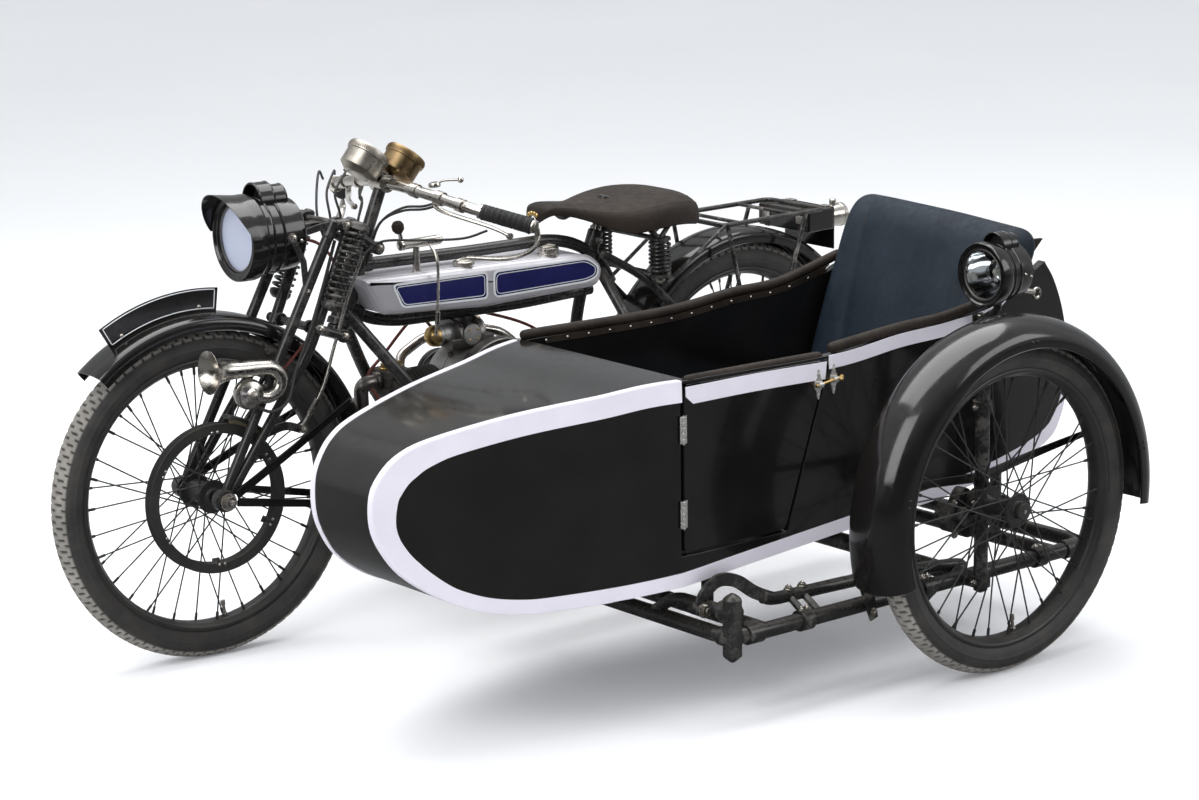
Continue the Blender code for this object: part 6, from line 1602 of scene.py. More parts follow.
@dataclass
class Engine:
    """Flat twin along the frame: crankcase, finned cylinders, outside flywheel, magneto and carburettor."""

    shop: Workshop
    centre: Array = field(default_factory=ENGINE_CENTRE.copy)

    def build(self) -> None:
        """Makes the whole engine."""
        self.crankcase()
        for name, direction in (("front_cylinder", 1.0), ("rear_cylinder", -1.0)):
            self.cylinder(name, direction)
        self.flywheel()
        self.magneto()
        self.carburettor()

    def crankcase(self) -> None:
        """Crankcase: a rounded drum across the frame with a joint flange, its boss, feet and bolts."""
        c = self.centre
        drum = [(-0.055, 0.070), (-0.054, 0.080), (-0.048, 0.087), (-0.035, 0.0895), (-0.006, 0.0895),
                (-0.0055, 0.0945),
                (0.0055, 0.0945), (0.006, 0.0895), (0.035, 0.0895), (0.048, 0.087), (0.054, 0.080),
                (0.055, 0.070)]
        shapes = [lathe(drum, c, (0, 1, 0), 56),
                  lathe([(-0.075, 0.022), (-0.066, 0.030), (-0.054, 0.036)], c, (0, 1, 0), 32)]
        shapes.append(lathe([(0.054, 0.042), (0.062, 0.030), (0.077, 0.0265)], c, (0, 1, 0), 32))
        foot_z = 0.3013
        shapes.append(block((c[0], 0, foot_z + 0.006), (0.045, 0.088, 0.006)))
        shapes.append(block((c[0], 0, foot_z + 0.04), (0.030, 0.042, 0.036)))
        shapes.append(lathe([(0.085, 0.030), (0.089, 0.034), (0.094, 0.034)], c, (1, 0, 0), 32))
        self.shop.piece("crankcase_dressed", shapes, ALUMINIUM, "outfit", ("crankcase",), bevel=0.0018)
        angle = np.arange(9) * 40.0 + 10.0
        nuts = [bolt_heads(about(c, angle, 0.0985 - 0.006, 0.0055), (0, 1, 0), 0.0045, 0.005)]
        feet = path_of([(c[0] + x, y, 0.3133) for x in (-0.035, 0.035) for y in (-0.078, 0.078)])
        nuts.append(bolt_heads(feet, (0, 0, 1), 0.006, 0.006))
        self.shop.piece("crankcase_nuts", nuts, STEEL)

    def cylinder(self, name: str, direction: float) -> None:
        """Cylinder: barrel, round fins with thin rims, ribbed valve chest, caps, plug and base nuts."""
        c = self.centre
        out = (direction, 0.0, 0.0)
        fins = 11
        low, reach = 0.103, 0.213
        pitch = (reach - low) / fins
        profile = [(0.0905, 0.0005), (0.0905, 0.043), (0.096, 0.043), (0.098, 0.040)]
        for i in range(fins):
            s = low + i * pitch
            profile += [(s, 0.040), (s + 0.0006, 0.0545), (s + 0.0012, 0.056), (s + 0.0022, 0.056),
                        (s + 0.0028, 0.0545), (s + 0.0036, 0.040)]
        profile += [(reach, 0.040), (reach + 0.0015, 0.036), (reach + 0.002, 0.0005)]
        shapes = [lathe(profile, c, out, 56)]
        chest_low, chest_high = valve_chest(direction)
        middle = (chest_low + chest_high) / 2
        shapes.append(block(middle, tuple((chest_high - chest_low) / 2)))
        ribs = [block((middle[0], middle[1], c[2] + z),
                      (CHEST_HALF * 1.3 + 0.002, CHEST_HALF * 1.43 + 0.002, 0.0014))
                for z in (0.008, 0.020, 0.032, 0.044)]
        self.shop.piece(f"{name}_dressed", shapes + ribs, IRON, "outfit", (name,), bevel=0.0008)
        caps = []
        for shift in (-0.6, 0.6):
            foot = np.array((middle[0] + shift * CHEST_HALF, middle[1], chest_high[2]))
            caps.append(lathe([(0, 0.0135), (0.004, 0.0135), (0.005, 0.012), (0.0055, 0.0095)], foot,
                              (0, 0, 1), 28))
            caps.append(lathe([(0.005, 0.0098), (0.0125, 0.0098), (0.014, 0.0085)], foot, (0, 0, 1), 6))
        self.shop.piece(f"{name}_valve_caps", caps, BRASS if direction > 0 else STEEL)
        plug = np.array((c[0] + direction * (reach + 0.002), 0.0, c[2]))
        spark = [lathe([(-0.002, 0.010), (0.003, 0.010), (0.0035, 0.0085)], plug, out, 6),
                 lathe([(0.003, 0.0065), (0.010, 0.006), (0.022, 0.0042), (0.026, 0.0024)], plug, out, 20)]
        self.shop.piece(f"{name}_plug", spark, DIAL)
        angle = np.radians(np.arange(4) * 90.0 + 45.0)
        ring = c + np.stack((np.full(4, direction * 0.0945), np.cos(angle) * 0.047,
                             np.sin(angle) * 0.047), axis=1)
        self.shop.piece(f"{name}_base_nuts", bolt_heads(ring, out, 0.005, 0.006), STEEL)

    def flywheel(self) -> None:
        """Outside flywheel: a dished disc with a heavy rim and a big nut, turned about the crankshaft."""
        profile = [(0.078, 0.0275), (0.078, 0.108), (0.080, 0.112), (0.106, 0.112), (0.108, 0.110),
                   (0.108, 0.096),
                   (0.106, 0.0935), (0.0955, 0.0905), (0.093, 0.088), (0.0925, 0.040), (0.094, 0.031),
                   (0.105, 0.029),
                   (0.106, 0.027), (0.106, 0.014)]
        shapes = [lathe(profile, self.centre, (0, 1, 0), 72),
                  bolt_heads(self.centre + (0, 0.106, 0), (0, 1, 0), 0.016, 0.004)]
        holes = about(self.centre, np.arange(5) * 72.0 + 20.0, 0.064, 0.0925)
        shapes.append(round_heads(holes, (0, 1, 0), 0.008, 0.002))
        self.shop.piece("flywheel_dressed", shapes, STEEL, "outfit", ("flywheel",), bevel=0.0006)

    def magneto(self) -> None:
        """Magneto: body with horseshoe magnet, end cover, brass cap and its screws."""
        c = self.centre
        low = np.array((c[0] - 0.0275, -0.045, c[2] + 0.0905))
        size = np.array((0.110, 0.090, 0.0469))
        middle = low + size / 2
        shapes = [block(middle - (0, 0, 0.014), (0.055, 0.045, 0.0095))]
        arc = np.radians(np.linspace(0, 180, 19))
        for dx in (-0.026, 0.0, 0.026):
            curve = np.stack((np.full(19, middle[0] + dx), np.cos(arc) * 0.034,
                              middle[2] - 0.004 + np.sin(arc) * 0.024), axis=1)
            curve = np.vstack((curve[0] - (0, 0, 0.012), curve, curve[-1] - (0, 0, 0.012)))
            section = oblong(1, 0.42)
            shapes.append(sweep(curve, 0.0122, section=section, up=(1, 0, 0)))
        self.shop.piece("magneto_magnets", shapes, STEEL, "outfit", ("magneto",), bevel=0.0012)
        ends = [lathe([(-0.052, 0.0005), (-0.052, 0.021), (-0.050, 0.023), (0.048, 0.023),
                       (0.056, 0.021), (0.058, 0.0235), (0.064, 0.0235)],
                      middle, (1, 0, 0), 36)]
        self.shop.piece("magneto_body", ends, ALUMINIUM, bevel=0.0006)
        cap = lathe([(0.064, 0.0225), (0.070, 0.0225), (0.078, 0.020), (0.084, 0.014), (0.088, 0.006),
                     (0.0885, 0.0005)], middle, (1, 0, 0), 36)
        disc = lathe([(0, 0.0005), (0, 0.021), (0.003, 0.0225), (0.006, 0.021), (0.007, 0.0005)],
                     middle + (0.004, 0.0445, 0.002), (0, 1, 0), 36)
        self.shop.piece("magneto_cap", [cap], BRASS)
        self.shop.piece("magneto_side_disc", [disc], ALUMINIUM)
        screws = about(middle + (0.004, 0.0515, 0.002), np.arange(4) * 90.0 + 45.0, 0.015)
        self.shop.piece("magneto_screws", round_heads(screws, (0, 1, 0), 0.0026, 0.0016), BRASS)
        leads = []
        for direction in (1.0, -1.0):
            plug = np.array((c[0] + direction * 0.241, 0.0, c[2]))
            start = middle + (direction * 0.03 + 0.02, -0.03, 0.012)
            rise = c[2] + 0.098 if direction > 0 else c[2] + 0.115
            path = spline(path_of([start, start + (direction * 0.03, -0.020, 0.022),
                                   (plug[0] - direction * 0.06, -0.062, rise - 0.02),
                                   (plug[0] + direction * 0.006, -0.030, c[2] + 0.045),
                                   plug + (direction * 0.001, 0, 0.003)]), 12)
            leads.append(sweep(path, 0.0034, 10))
        self.shop.piece("plug_leads", leads, RED_WIRE)

    def carburettor(self) -> None:
        """Carburettor: mixing and float chamber, and the nickel intake pipe to both chests."""
        m = at(0.475, -0.0536, 0.1536)
        body = [(-0.062, 0.006), (-0.060, 0.010), (-0.052, 0.0115), (-0.046, 0.015), (-0.012, 0.015),
                (-0.010, 0.019), (0.010, 0.019),
                (0.012, 0.0165), (0.019, 0.0165), (0.021, 0.013), (0.029, 0.0115), (0.031, 0.0085)]
        shapes = [lathe(body, m, (0, 0, 1), 32)]
        bowl = m + (0.042, -0.006, -0.026)
        shapes.append(lathe([(-0.026, 0.008), (-0.022, 0.0165), (0.012, 0.0175), (0.013, 0.0190),
                             (0.019, 0.0190), (0.024, 0.012), (0.030, 0.004)],
                            bowl, (0, 0, 1), 32))
        shapes.append(rods(m + (0.004, 0, -0.030), bowl + (0, 0, -0.012), 0.006, 16))
        self.shop.piece("carburettor_body", shapes, BRASS, "outfit", ("carburettor",), bevel=0.0005)
        run = path_of([at(*s) for s in ((0.6393, -0.0271, 0.1214), (0.625, -0.0429, 0.1393),
                                        (0.5714, -0.0536, 0.1586),
                                        (0.475, -0.0536, 0.1586), (0.4286, -0.0486, 0.1464),
                                        (0.4107, -0.0271, 0.1214))])
        pipe = [sweep(bend(run, 0.028, 9), 0.0105, 20)]
        for end, near in ((run[0], run[1]), (run[-1], run[-2])):
            pipe.append(lathe([(0, 0.014), (0.008, 0.014), (0.009, 0.012)], end, unit(near - end), 6))
        self.shop.piece("intake_pipe", pipe, NICKEL)


@dataclass
class Exhaust:
    """Two pipes, the silencer under the engine and its tail pipe."""

    shop: Workshop
    radius: float = 0.0155

    def build(self) -> None:
        """Makes the pipes with their nuts, and the silencer with its ends and clamps."""
        runs = []
        for direction, shares in (
            (1, ((0.7107, -0.0243, 0.0357), (0.6714, -0.0214, -0.0679), (0.6143, -0.0057, -0.0936),
                 (0.5571, 0.0, -0.0936))),
            (-1, ((0.375, -0.0986, 0.0), (0.3786, -0.0893, -0.0643), (0.4143, -0.0214, -0.0921),
                  (0.45, 0.0, -0.0921))),
        ):
            low, high = valve_chest(direction)
            middle = (low + high) / 2
            z = low[2] + 0.028 + self.radius * 0.4
            port = np.array((high[0], middle[1], z))
            out = np.array((self.radius * 3, 0, 0))
            if direction < 0:
                port = np.array((middle[0] - self.radius, low[1], z))
                out = np.array((0, -self.radius * 4, 0))
            runs.append(bend(path_of([port, port + out] + [at(*s) for s in shares]), 0.042, 9))
        tail = bend(path_of([at(*s) for s in ((0.3786, -0.0143, -0.0943), (0.3214, -0.0357, -0.0943),
                                              (0.2571, -0.0929, -0.0821),
                                             (0.0357, -0.1107, -0.0679))]), 0.042, 9)
        shapes = [sweep(run, self.radius, 24) for run in runs + [tail]]
        box = at(0.475, 0.0, -0.0943)
        can = [(-0.150, 0.016), (-0.150, 0.036), (-0.147, 0.042), (-0.143, 0.0435), (-0.138, 0.042),
               (0.138, 0.042), (0.143, 0.0435),
               (0.147, 0.042), (0.150, 0.036), (0.150, 0.016)]
        shapes.append(lathe(can, box, (1, 0, 0), 48))
        for run in runs:
            toward = unit(run[1] - run[0])
            shapes.append(lathe([(0, 0.0205), (0.012, 0.0205), (0.014, 0.0175)], run[0] + toward * 0.001,
                                toward, 28))
        self.shop.piece("exhaust_dressed", shapes, STEEL, "outfit", ("exhaust",), bevel=0.0005)


@dataclass
class Drive:
    """Gearbox, primary chain case, pulley, belt, footboards."""

    shop: Workshop
    box: Array = field(default_factory=lambda: at(0.4229, -0.0171, 0.0064))

    def build(self) -> None:
        """Makes the drive from crankshaft to belt, and the boards beside it."""
        self.gearbox()
        self.chain_case()
        self.belt()
        self.boards()

    def gearbox(self) -> None:
        """Gearbox case with its lid, filler, screws and grooved pulley."""
        b = self.box
        half = np.array((0.047, 0.037, 0.025)) * WHEELBASE
        shapes = [block(b, tuple(half)),
                  block(b + (0, 0, half[2] + 0.0015), (half[0] * 0.9, half[1] * 0.86, 0.003))]
        shapes.append(rods((b[0], b[1] - half[1] * 0.5, b[2]), (b[0], -0.1030, b[2]), 0.0184, 28))
        shapes.append(block((b[0], (b[1] - 0.088) / 2, 0.3043), (half[0] * 0.6, (b[1] + 0.088) / 2, 0.003)))
        self.shop.piece("gearbox_case", shapes, ALUMINIUM, "outfit", ("gearbox",), bevel=0.004)
        y, w, r = BELT_Y, 0.0125, 0.046
        groove = [(b[1] + half[1] * 0.5, 0.0184), (y - w, 0.0184), (y - w, r - 0.001),
                  (y - w + 0.001, r), (y - w + 0.003, r), (y - 0.003, r - 0.011),
                  (y + 0.003, r - 0.011), (y + w - 0.003, r), (y + w - 0.001, r), (y + w, r - 0.001),
                  (y + w, 0.0184), (y + w + 0.004, 0.016)]
        pulley = [lathe(groove, (b[0], 0, b[2]), (0, 1, 0), 48),
                  bolt_heads((b[0], y + w + 0.003, b[2]), (0, 1, 0), 0.011, 0.006)]
        self.shop.piece("gearbox_pulley", pulley, STEEL)
        lid = b + (0, 0, half[2] + 0.0045)
        spots = path_of([lid + (x, y, 0) for x in (-0.052, 0.0, 0.052) for y in (-0.038, 0.038)])
        filler = bolt_heads(lid + (0.02, 0.0, 0.0), (0, 0, 1), 0.011, 0.008)
        self.shop.piece("gearbox_screws", [round_heads(spots, (0, 0, 1), 0.004, 0.003), filler], NICKEL)

    def chain_case(self) -> None:
        """Primary chain case: the outline of two discs and their tangents, with a joint rim and screws."""
        crank, box = ENGINE_CENTRE, self.box
        run = np.array((crank[0] - box[0], crank[2] - box[2]))
        length = float(np.hypot(*run))
        tilt = math.atan2(run[1], run[0])
        lean = math.acos((0.055 - 0.045) / length)
        front = np.linspace(tilt - lean, tilt + lean, 30)
        rear = np.linspace(tilt + lean, tilt + 2 * math.pi - lean, 36)
        outline = np.vstack((np.stack((crank[0] + 0.055 * np.cos(front),
                                       crank[2] + 0.055 * np.sin(front)), axis=1),
                             np.stack((box[0] + 0.045 * np.cos(rear), box[2] + 0.045 * np.sin(rear)),
                                      axis=1)))
        case = [prism(outline, -0.1255, -0.1035)]
        loop = np.column_stack((outline[:, 0], np.full(len(outline), -0.1145), outline[:, 1]))
        section = oblong(0.0022, 0.0022)
        case.append(sweep(evenly(loop, 120, closed=True), 1.0, section=section, up=(0, 1, 0), closed=True))
        self.shop.piece("chain_case_dressed", case, BLACK, "outfit", ("chain_case",), bevel=0.003)
        spots = evenly(loop, 14, closed=True)
        middle = spots.mean(axis=0)
        spots = middle + (spots - middle) * 0.93
        spots[:, 1] = -0.1255
        plug = lathe([(0, 0.016), (0.003, 0.016), (0.0045, 0.013)], (crank[0], -0.1255, crank[2]),
                     (0, -1, 0), 32)
        disc = [round_heads(spots, (0, -1, 0), 0.0036, 0.0024), plug]
        self.shop.piece("chain_case_screws", disc, NICKEL)

    def belt(self) -> None:
        """Driving belt: a V section along two arcs and the straight runs between them."""
        box = self.box
        wheel = np.array((0.0, WHEEL_RADIUS))
        small, big = 0.0445, 0.2062
        run = np.array((box[0] - wheel[0], box[2] - wheel[1]))
        length = float(np.hypot(*run))
        tilt = math.atan2(run[1], run[0])
        lean = math.acos((big - small) / length)
        front = np.linspace(tilt - lean, tilt + lean, 24)
        rear = np.linspace(tilt + lean, tilt + 2 * math.pi - lean, 90)
        loop = np.vstack((np.stack((box[0] + small * np.cos(front), box[2] + small * np.sin(front)),
                                   axis=1),
                          np.stack((wheel[0] + big * np.cos(rear), wheel[1] + big * np.sin(rear)), axis=1)))
        loop = evenly(loop, 300, closed=True)
        path = np.column_stack((loop[:, 0], np.full(len(loop), BELT_Y), loop[:, 1]))
        section = np.array(((-0.0095, -0.0012), (-0.0095, 0.0052), (0.0095, 0.0052), (0.0095, -0.0012)))
        runs = unit(np.roll(path, -1, 0) - np.roll(path, 1, 0))
        across = np.array((0.0, 1.0, 0.0))
        out = np.cross(runs, across)
        away = path - np.array((0.15, BELT_Y, WHEEL_RADIUS))
        out *= np.sign((out * away).sum(axis=1).mean())
        rows = path[:, None] + section[None, :, :1] * across + section[None, :, 1:] * out[:, None]
        self.shop.piece("drive_belt_dressed", grid(rows, wrap_rows=True), BELT, "outfit",
                        ("drive_belt",), bevel=0.0008)

    def boards(self) -> None:
        """Footboards: bent plates with ribs and a turned-up front, on two cross rails."""
        middle = at(0.5429, 0.1357, -0.0443)
        plates, ribs = [], []
        x = np.array((-0.135, 0.0, 0.089, 0.100, 0.132, 0.135)) + middle[0]
        z = np.array((0.003, 0.003, 0.003, 0.007, 0.048, 0.053)) + middle[2]
        for side in (1, -1):
            y = side * middle[1]
            path = spline(np.stack((x, np.full(6, y), z), axis=1), 5)
            section = oblong(0.042, 0.003)
            plates.append(sweep(path, 1.0, section=section, up=(0, 0, 1)))
            for shift in np.linspace(-0.034, 0.034, 8):
                line = path[2:-3] + (0, shift, 0.0034)
                ribs.append(sweep(line, 0.0019, 8, up=(0, 1, 0)))
        self.shop.piece("footboard_plates", plates + ribs, ALUMINIUM, "outfit", ("footboards",),
                        bevel=0.0008)
        rail_places = [middle[0] + shift for shift in (-0.0918, 0.0810)]
        rails = [rods((x, -0.2236, 0.2677), (x, 0.2236, 0.2677), 0.0070, 16) for x in rail_places]
        self.shop.piece("footboard_rails", rails, FRAME_BLACK)
        across = (0.165, 0.215, -0.165, -0.215)
        spots = path_of([(x, y, middle[2] + 0.006) for x in rail_places for y in across])
        self.shop.piece("footboard_bolts", round_heads(spots, (0, 0, 1), 0.005, 0.003), STEEL)


@dataclass
class Tail:
    """Rear carrier with its stays, tool box, blank plate and lamp."""

    shop: Workshop
    level: float = 0.722
    front_x: float = 0.105
    rear_x: float = -0.196

    def build(self) -> None:
        """Makes the carrier and what hangs on it."""
        y = 0.092
        loop = path_of([(self.front_x, -y, self.level), (self.rear_x, -y, self.level),
                        (self.rear_x, y, self.level),
                        (self.front_x, y, self.level)])
        bars = [sweep(evenly(rounded(loop, 0.02, 6), 120, closed=True), 0.0054, 14, up=(0, 0, 1),
                      closed=True)]
        x = np.array((self.rear_x * 0.52, self.front_x - 0.05))
        bars.append(rods(np.stack((x, 0 * x - y, 0 * x + self.level), 1),
                         np.stack((x, 0 * x + y, 0 * x + self.level), 1), 0.0044, 12))
        for side in (1, -1):
            bars.append(rods((self.front_x - 0.006, side * y, self.level), (0.290, side * 0.085, 0.600),
                             0.0044, 14))
        for side in (1, -1):
            for top, foot in ((self.front_x - 0.011, 0.006), (self.rear_x + 0.056, -0.006)):
                bars.append(rods((foot, side * 0.098, 0.349), (top, side * y, self.level), 0.0050, 14))
        self.shop.piece("carrier_bars", bars, FRAME_BLACK, "outfit", ("rear_carrier",))
        centre = np.array((self.rear_x, 0.0, self.level - 0.0017 - 0.0249))
        half = (0.0392, 0.084, 0.0249)
        self.shop.piece("tool_box_case", [block(centre, half)], BLACK, "outfit", ("tool_box",), bevel=0.005)
        strap = [block(centre + (0, s * 0.055, 0.0), (0.0400, 0.009, 0.0257)) for s in (1, -1)]
        self.shop.piece("tool_box_straps", strap, BROWN_HIDE, bevel=0.004)
        buckles = [block(centre + (0.0395, s * 0.055, 0.002), (0.002, 0.012, 0.009)) for s in (1, -1)]
        buckles += [block(centre + (-0.0365, s * 0.055, 0.0262), (0.009, 0.012, 0.0012)) for s in (1, -1)]
        self.shop.piece("tool_box_buckles", buckles, NICKEL, bevel=0.001)
        back = centre[0] - half[0] - 0.0003
        top = self.level - 0.0017
        plate = block((back - 0.002, 0, top - 0.0475), (0.002, 0.080, 0.0475))
        border = path_of([(back - 0.0042, s, z) for s,
                          z in ((-0.075, top - 0.090), (0.075, top - 0.090), (0.075, top - 0.005),
                                (-0.075, top - 0.005))])
        rim = sweep(evenly(np.vstack((border, border[:1])), 80)[:-1], 0.0012, 6, up=(1, 0, 0), closed=True)
        self.shop.piece("rear_plate_dressed", [plate], BLACK, "outfit", ("rear_plate",), bevel=0.001)
        self.shop.piece("rear_plate_border", [rim], LINE)
        seat = np.array((back - 0.0043, 0.044, top - 0.027))
        shell = [(0.0, 0.0155), (0.004, 0.021), (0.016, 0.0245), (0.044, 0.0262), (0.045, 0.0270),
                 (0.054, 0.0270), (0.055, 0.0255)]
        chimney = lathe([(0, 0.008), (0.012, 0.008), (0.015, 0.004)], seat + (-0.028, 0, 0.024),
                        (0, 0, 1), 20)
        lamp = [lathe(shell, seat, (-1, 0, 0), 36), chimney]
        self.shop.piece("rear_lamp_shell", lamp, NICKEL, "outfit", ("rear_lamp",))
        lens = [(0.0552, 0.0245), (0.0560, 0.020), (0.0566, 0.010), (0.0568, 0.0005)]
        self.shop.piece("rear_lamp_glass", [lathe(lens, seat, (-1, 0, 0), 36)], RUBY)


# Fork, handlebar, lamps and horn


@dataclass
class Fork:
    """Girder fork with its links, side springs, axle and the front brake."""

    shop: Workshop
    axle: Array
    blade_y: float = 0.083

    def build(self) -> None:
        """Makes the fork and the brake."""
        self.girders()
        self.links()
        self.springs()
        self.brake()

    def runs(self) -> tuple[Array, Array]:
        """Middle lines of the front and the rear blade, in the middle plane."""
        front = path_of([at(0.8014, 0, 0.3679), at(0.8964, 0, 0.1943), at(0.9943, 0, 0.0157), self.axle])
        rear = path_of([at(0.7721, 0, 0.3679), at(0.85, 0, 0.1929), at(0.9821, 0, 0.0157), self.axle])
        return front, rear

    def girders(self) -> None:
        """Two blades a side, joined at the top, the knee and the axle, as tubes that narrow downwards."""
        shapes = []
        front, rear = self.runs()
        for side in (1, -1):
            offset = np.array((0, side * self.blade_y, 0))
            for run in (front, rear):
                line = bend(run + offset, 0.03, 6)
                share = np.linspace(0, 1, len(line))
                shapes.append(sweep(line, 0.0112 - 0.0022 * share, 22, up=(0, 1, 0)))
            shapes.append(rods(front[0] + offset, rear[0] + offset, 0.0118, 22))
            for run in (front, rear):
                toward = unit(run[1] - run[0])
                cap = [(-0.013, 0.0004), (-0.012, 0.008), (-0.008, 0.0118), (0.020, 0.0128),
                       (0.026, 0.0122), (0.029, 0.0105)]
                shapes.append(lathe(cap, run[0] + offset, toward, 24))
            drum = [(-0.0115, 0.0004), (-0.0115, 0.020), (-0.0095, 0.0225), (0.0095, 0.0225),
                    (0.0115, 0.020), (0.0115, 0.0004)]
            shapes.append(lathe(drum, self.axle + offset, (0, 1, 0), 32))
        for run in (front, rear):
            knee = run[1]
            shapes.append(rods(knee - (0, self.blade_y, 0), knee + (0, self.blade_y, 0), 0.0084, 16))
        shapes.append(rods(self.axle - (0, 0.118, 0), self.axle + (0, 0.118, 0), 0.0076, 16))
        self.shop.piece("fork_blades", shapes, FRAME_BLACK, "steering", ("girder_fork",), bevel=0.0006)
        nuts = [bolt_heads(self.axle + (0, s * 0.1025, 0), (0, s, 0), 0.0125, 0.011) for s in (1, -1)]
        self.shop.piece("fork_axle_nuts", nuts, NICKEL, "steering")

    def links(self) -> None:
        """Stem with its two yokes, the pairs of links and their spindles."""
        shapes, nuts = [], []
        low = HEAD_POINT - HEAD_AXIS * 0.0103
        high = HEAD_POINT + HEAD_AXIS * 0.1483
        for start, end, spindle, ahead, ring in ((low - HEAD_AXIS * 0.024, low, at(0.8371, 0, 0.225),
                                                  0.019, 0.0215),
                                                 (high, high + HEAD_AXIS * 0.024, UPPER_SPINDLE, 0.0,
                                                  0.0265)):
            middle = (start + end) / 2 + (ahead, 0, 0)
            profile = [(0, 0.018), (0.002, ring), (0.022, ring), (0.024, 0.018)]
            shapes.append(lathe(profile, start, HEAD_AXIS, 36))
            for side in (1, -1):
                lug = np.array((0, side * 0.059, 0))
                shapes.append(rods(middle + lug, spindle + lug, 0.0092, 16))
                shapes += [lathe([(-0.0055, 0.0004), (-0.0055, 0.0125), (-0.004, 0.0135),
                                  (0.004, 0.0135), (0.0055, 0.0125), (0.0055, 0.0004)],
                                 p + lug, (0, 1, 0), 24) for p in (middle, spindle)]
                nuts.append(bolt_heads(spindle + (0, side * 0.1005, 0), (0, side, 0), 0.0068, 0.006))
                nuts.append(bolt_heads(middle + (0, side * 0.065, 0), (0, side, 0), 0.0068, 0.006))
            shapes.append(rods(middle - (0, 0.059, 0), middle + (0, 0.059, 0), 0.0105, 20))
            shapes.append(rods(spindle - (0, 0.1005, 0), spindle + (0, 0.1005, 0), 0.0070, 14))
        shapes.append(rods(high, BAR_CLAMP, 0.0131, 24))
        shapes.append(lathe([(0, 0.022), (0.005, 0.0195), (0.006, 0.0135)], high + HEAD_AXIS * 0.024,
                            HEAD_AXIS, 6))
        self.shop.piece("fork_links", shapes, FRAME_BLACK, "steering", bevel=0.0008)
        self.shop.piece("fork_link_nuts", nuts, NICKEL, "steering")

    def springs(self) -> None:
        """Coil springs beside the fork, between the upper and the lower spindle's eyes."""
        start, end = at(0.7679, 0, 0.3643), at(0.8179, 0, 0.2557)
        for side, node in ((1, "left_fork_spring"), (-1, "right_fork_spring")):
            offset = np.array((0, side * 0.104, 0))
            a, b = start + offset, end + offset
            run = unit(b - a)
            coil = sweep(coil_path(a + run * 0.006, b - run * 0.006, 0.0200, 12, 20), 0.0031, 10,
                         up=tuple(run))
            shapes = [coil]
            for p, d in ((a, run), (b, -run)):
                shapes.append(lathe([(-0.010, 0.0004), (-0.010, 0.013), (-0.006, 0.019), (0.000, 0.0225),
                                     (0.007, 0.0225), (0.008, 0.012)], p, d, 28))
                shapes.append(rods(p, p - (0, side * 0.021, 0), 0.0062, 14))
            shapes.append(rods(a, b, 0.0045, 10))
            self.shop.piece(f"{node}_dressed", shapes, FRAME_BLACK, "steering", (node,))

    def brake(self) -> None:
        """Front brake: block in the belt rim's groove, its arched stirrup, the arm, knuckle and rod."""
        c = self.axle + np.array((0, BELT_Y, 0))
        pad = arch(c, 106.0, 134.0,
                   np.array(((0.1435, -0.0035), (0.1535, -0.0085), (0.1580, -0.0085), (0.1580, 0.0085),
                             (0.1535, 0.0085), (0.1435, 0.0035))), 18)
        self.shop.piece("front_brake_block", pad, BRAKE_PAD, "steering", bevel=0.001)
        stirrup = arch(c, 102.0, 138.0,
                       np.array(((0.1580, -0.0125), (0.1580, -0.0155), (0.1640, -0.0155),
                                 (0.1665, -0.010), (0.1665, 0.010), (0.1640, 0.0155), (0.1580, 0.0155),
                                 (0.1580, 0.0125))), 24)
        end = about(c, 137.0, 0.163)
        knuckle = np.array((1.204, 0.058, 0.441))
        section = oblong(1, 0.35)
        arm = sweep(spline(path_of([end, end * 0.45 + knuckle * 0.55 + (0, 0, 0.010), knuckle]), 8),
                    0.0085, section=section, up=(0, 1, 0))
        hanger_top = np.array((1.292, 0.066, 0.552))
        hanger = sweep(spline(path_of([about(c, 118.0, 0.166), about(c, 119.0, 0.20) + (0, 0.005, 0),
                                       hanger_top, (1.245, 0.078, 0.612)]), 8), 0.0052, 12)
        self.shop.piece("front_brake_stirrup", [stirrup, arm, hanger], FRAME_BLACK, "steering",
                        bevel=0.0008)
        rod = spline(path_of([knuckle, (1.152, 0.060, 0.515), (1.118, 0.060, 0.60), (1.082, 0.066, 0.70),
                              (1.05, 0.072, 0.775)]), 8)
        bright = [sweep(rod, 0.0036, 12), rods(knuckle - (0, 0.011, 0), knuckle + (0, 0.011, 0), 0.0075,
                                               18),
                  rods(rod[3], rod[6], 0.0062, 6),
                  bolt_heads(knuckle + (0, 0.010, 0), (0, 1, 0), 0.005, 0.004)]
        self.shop.piece("front_brake_rod", bright, NICKEL, "steering")


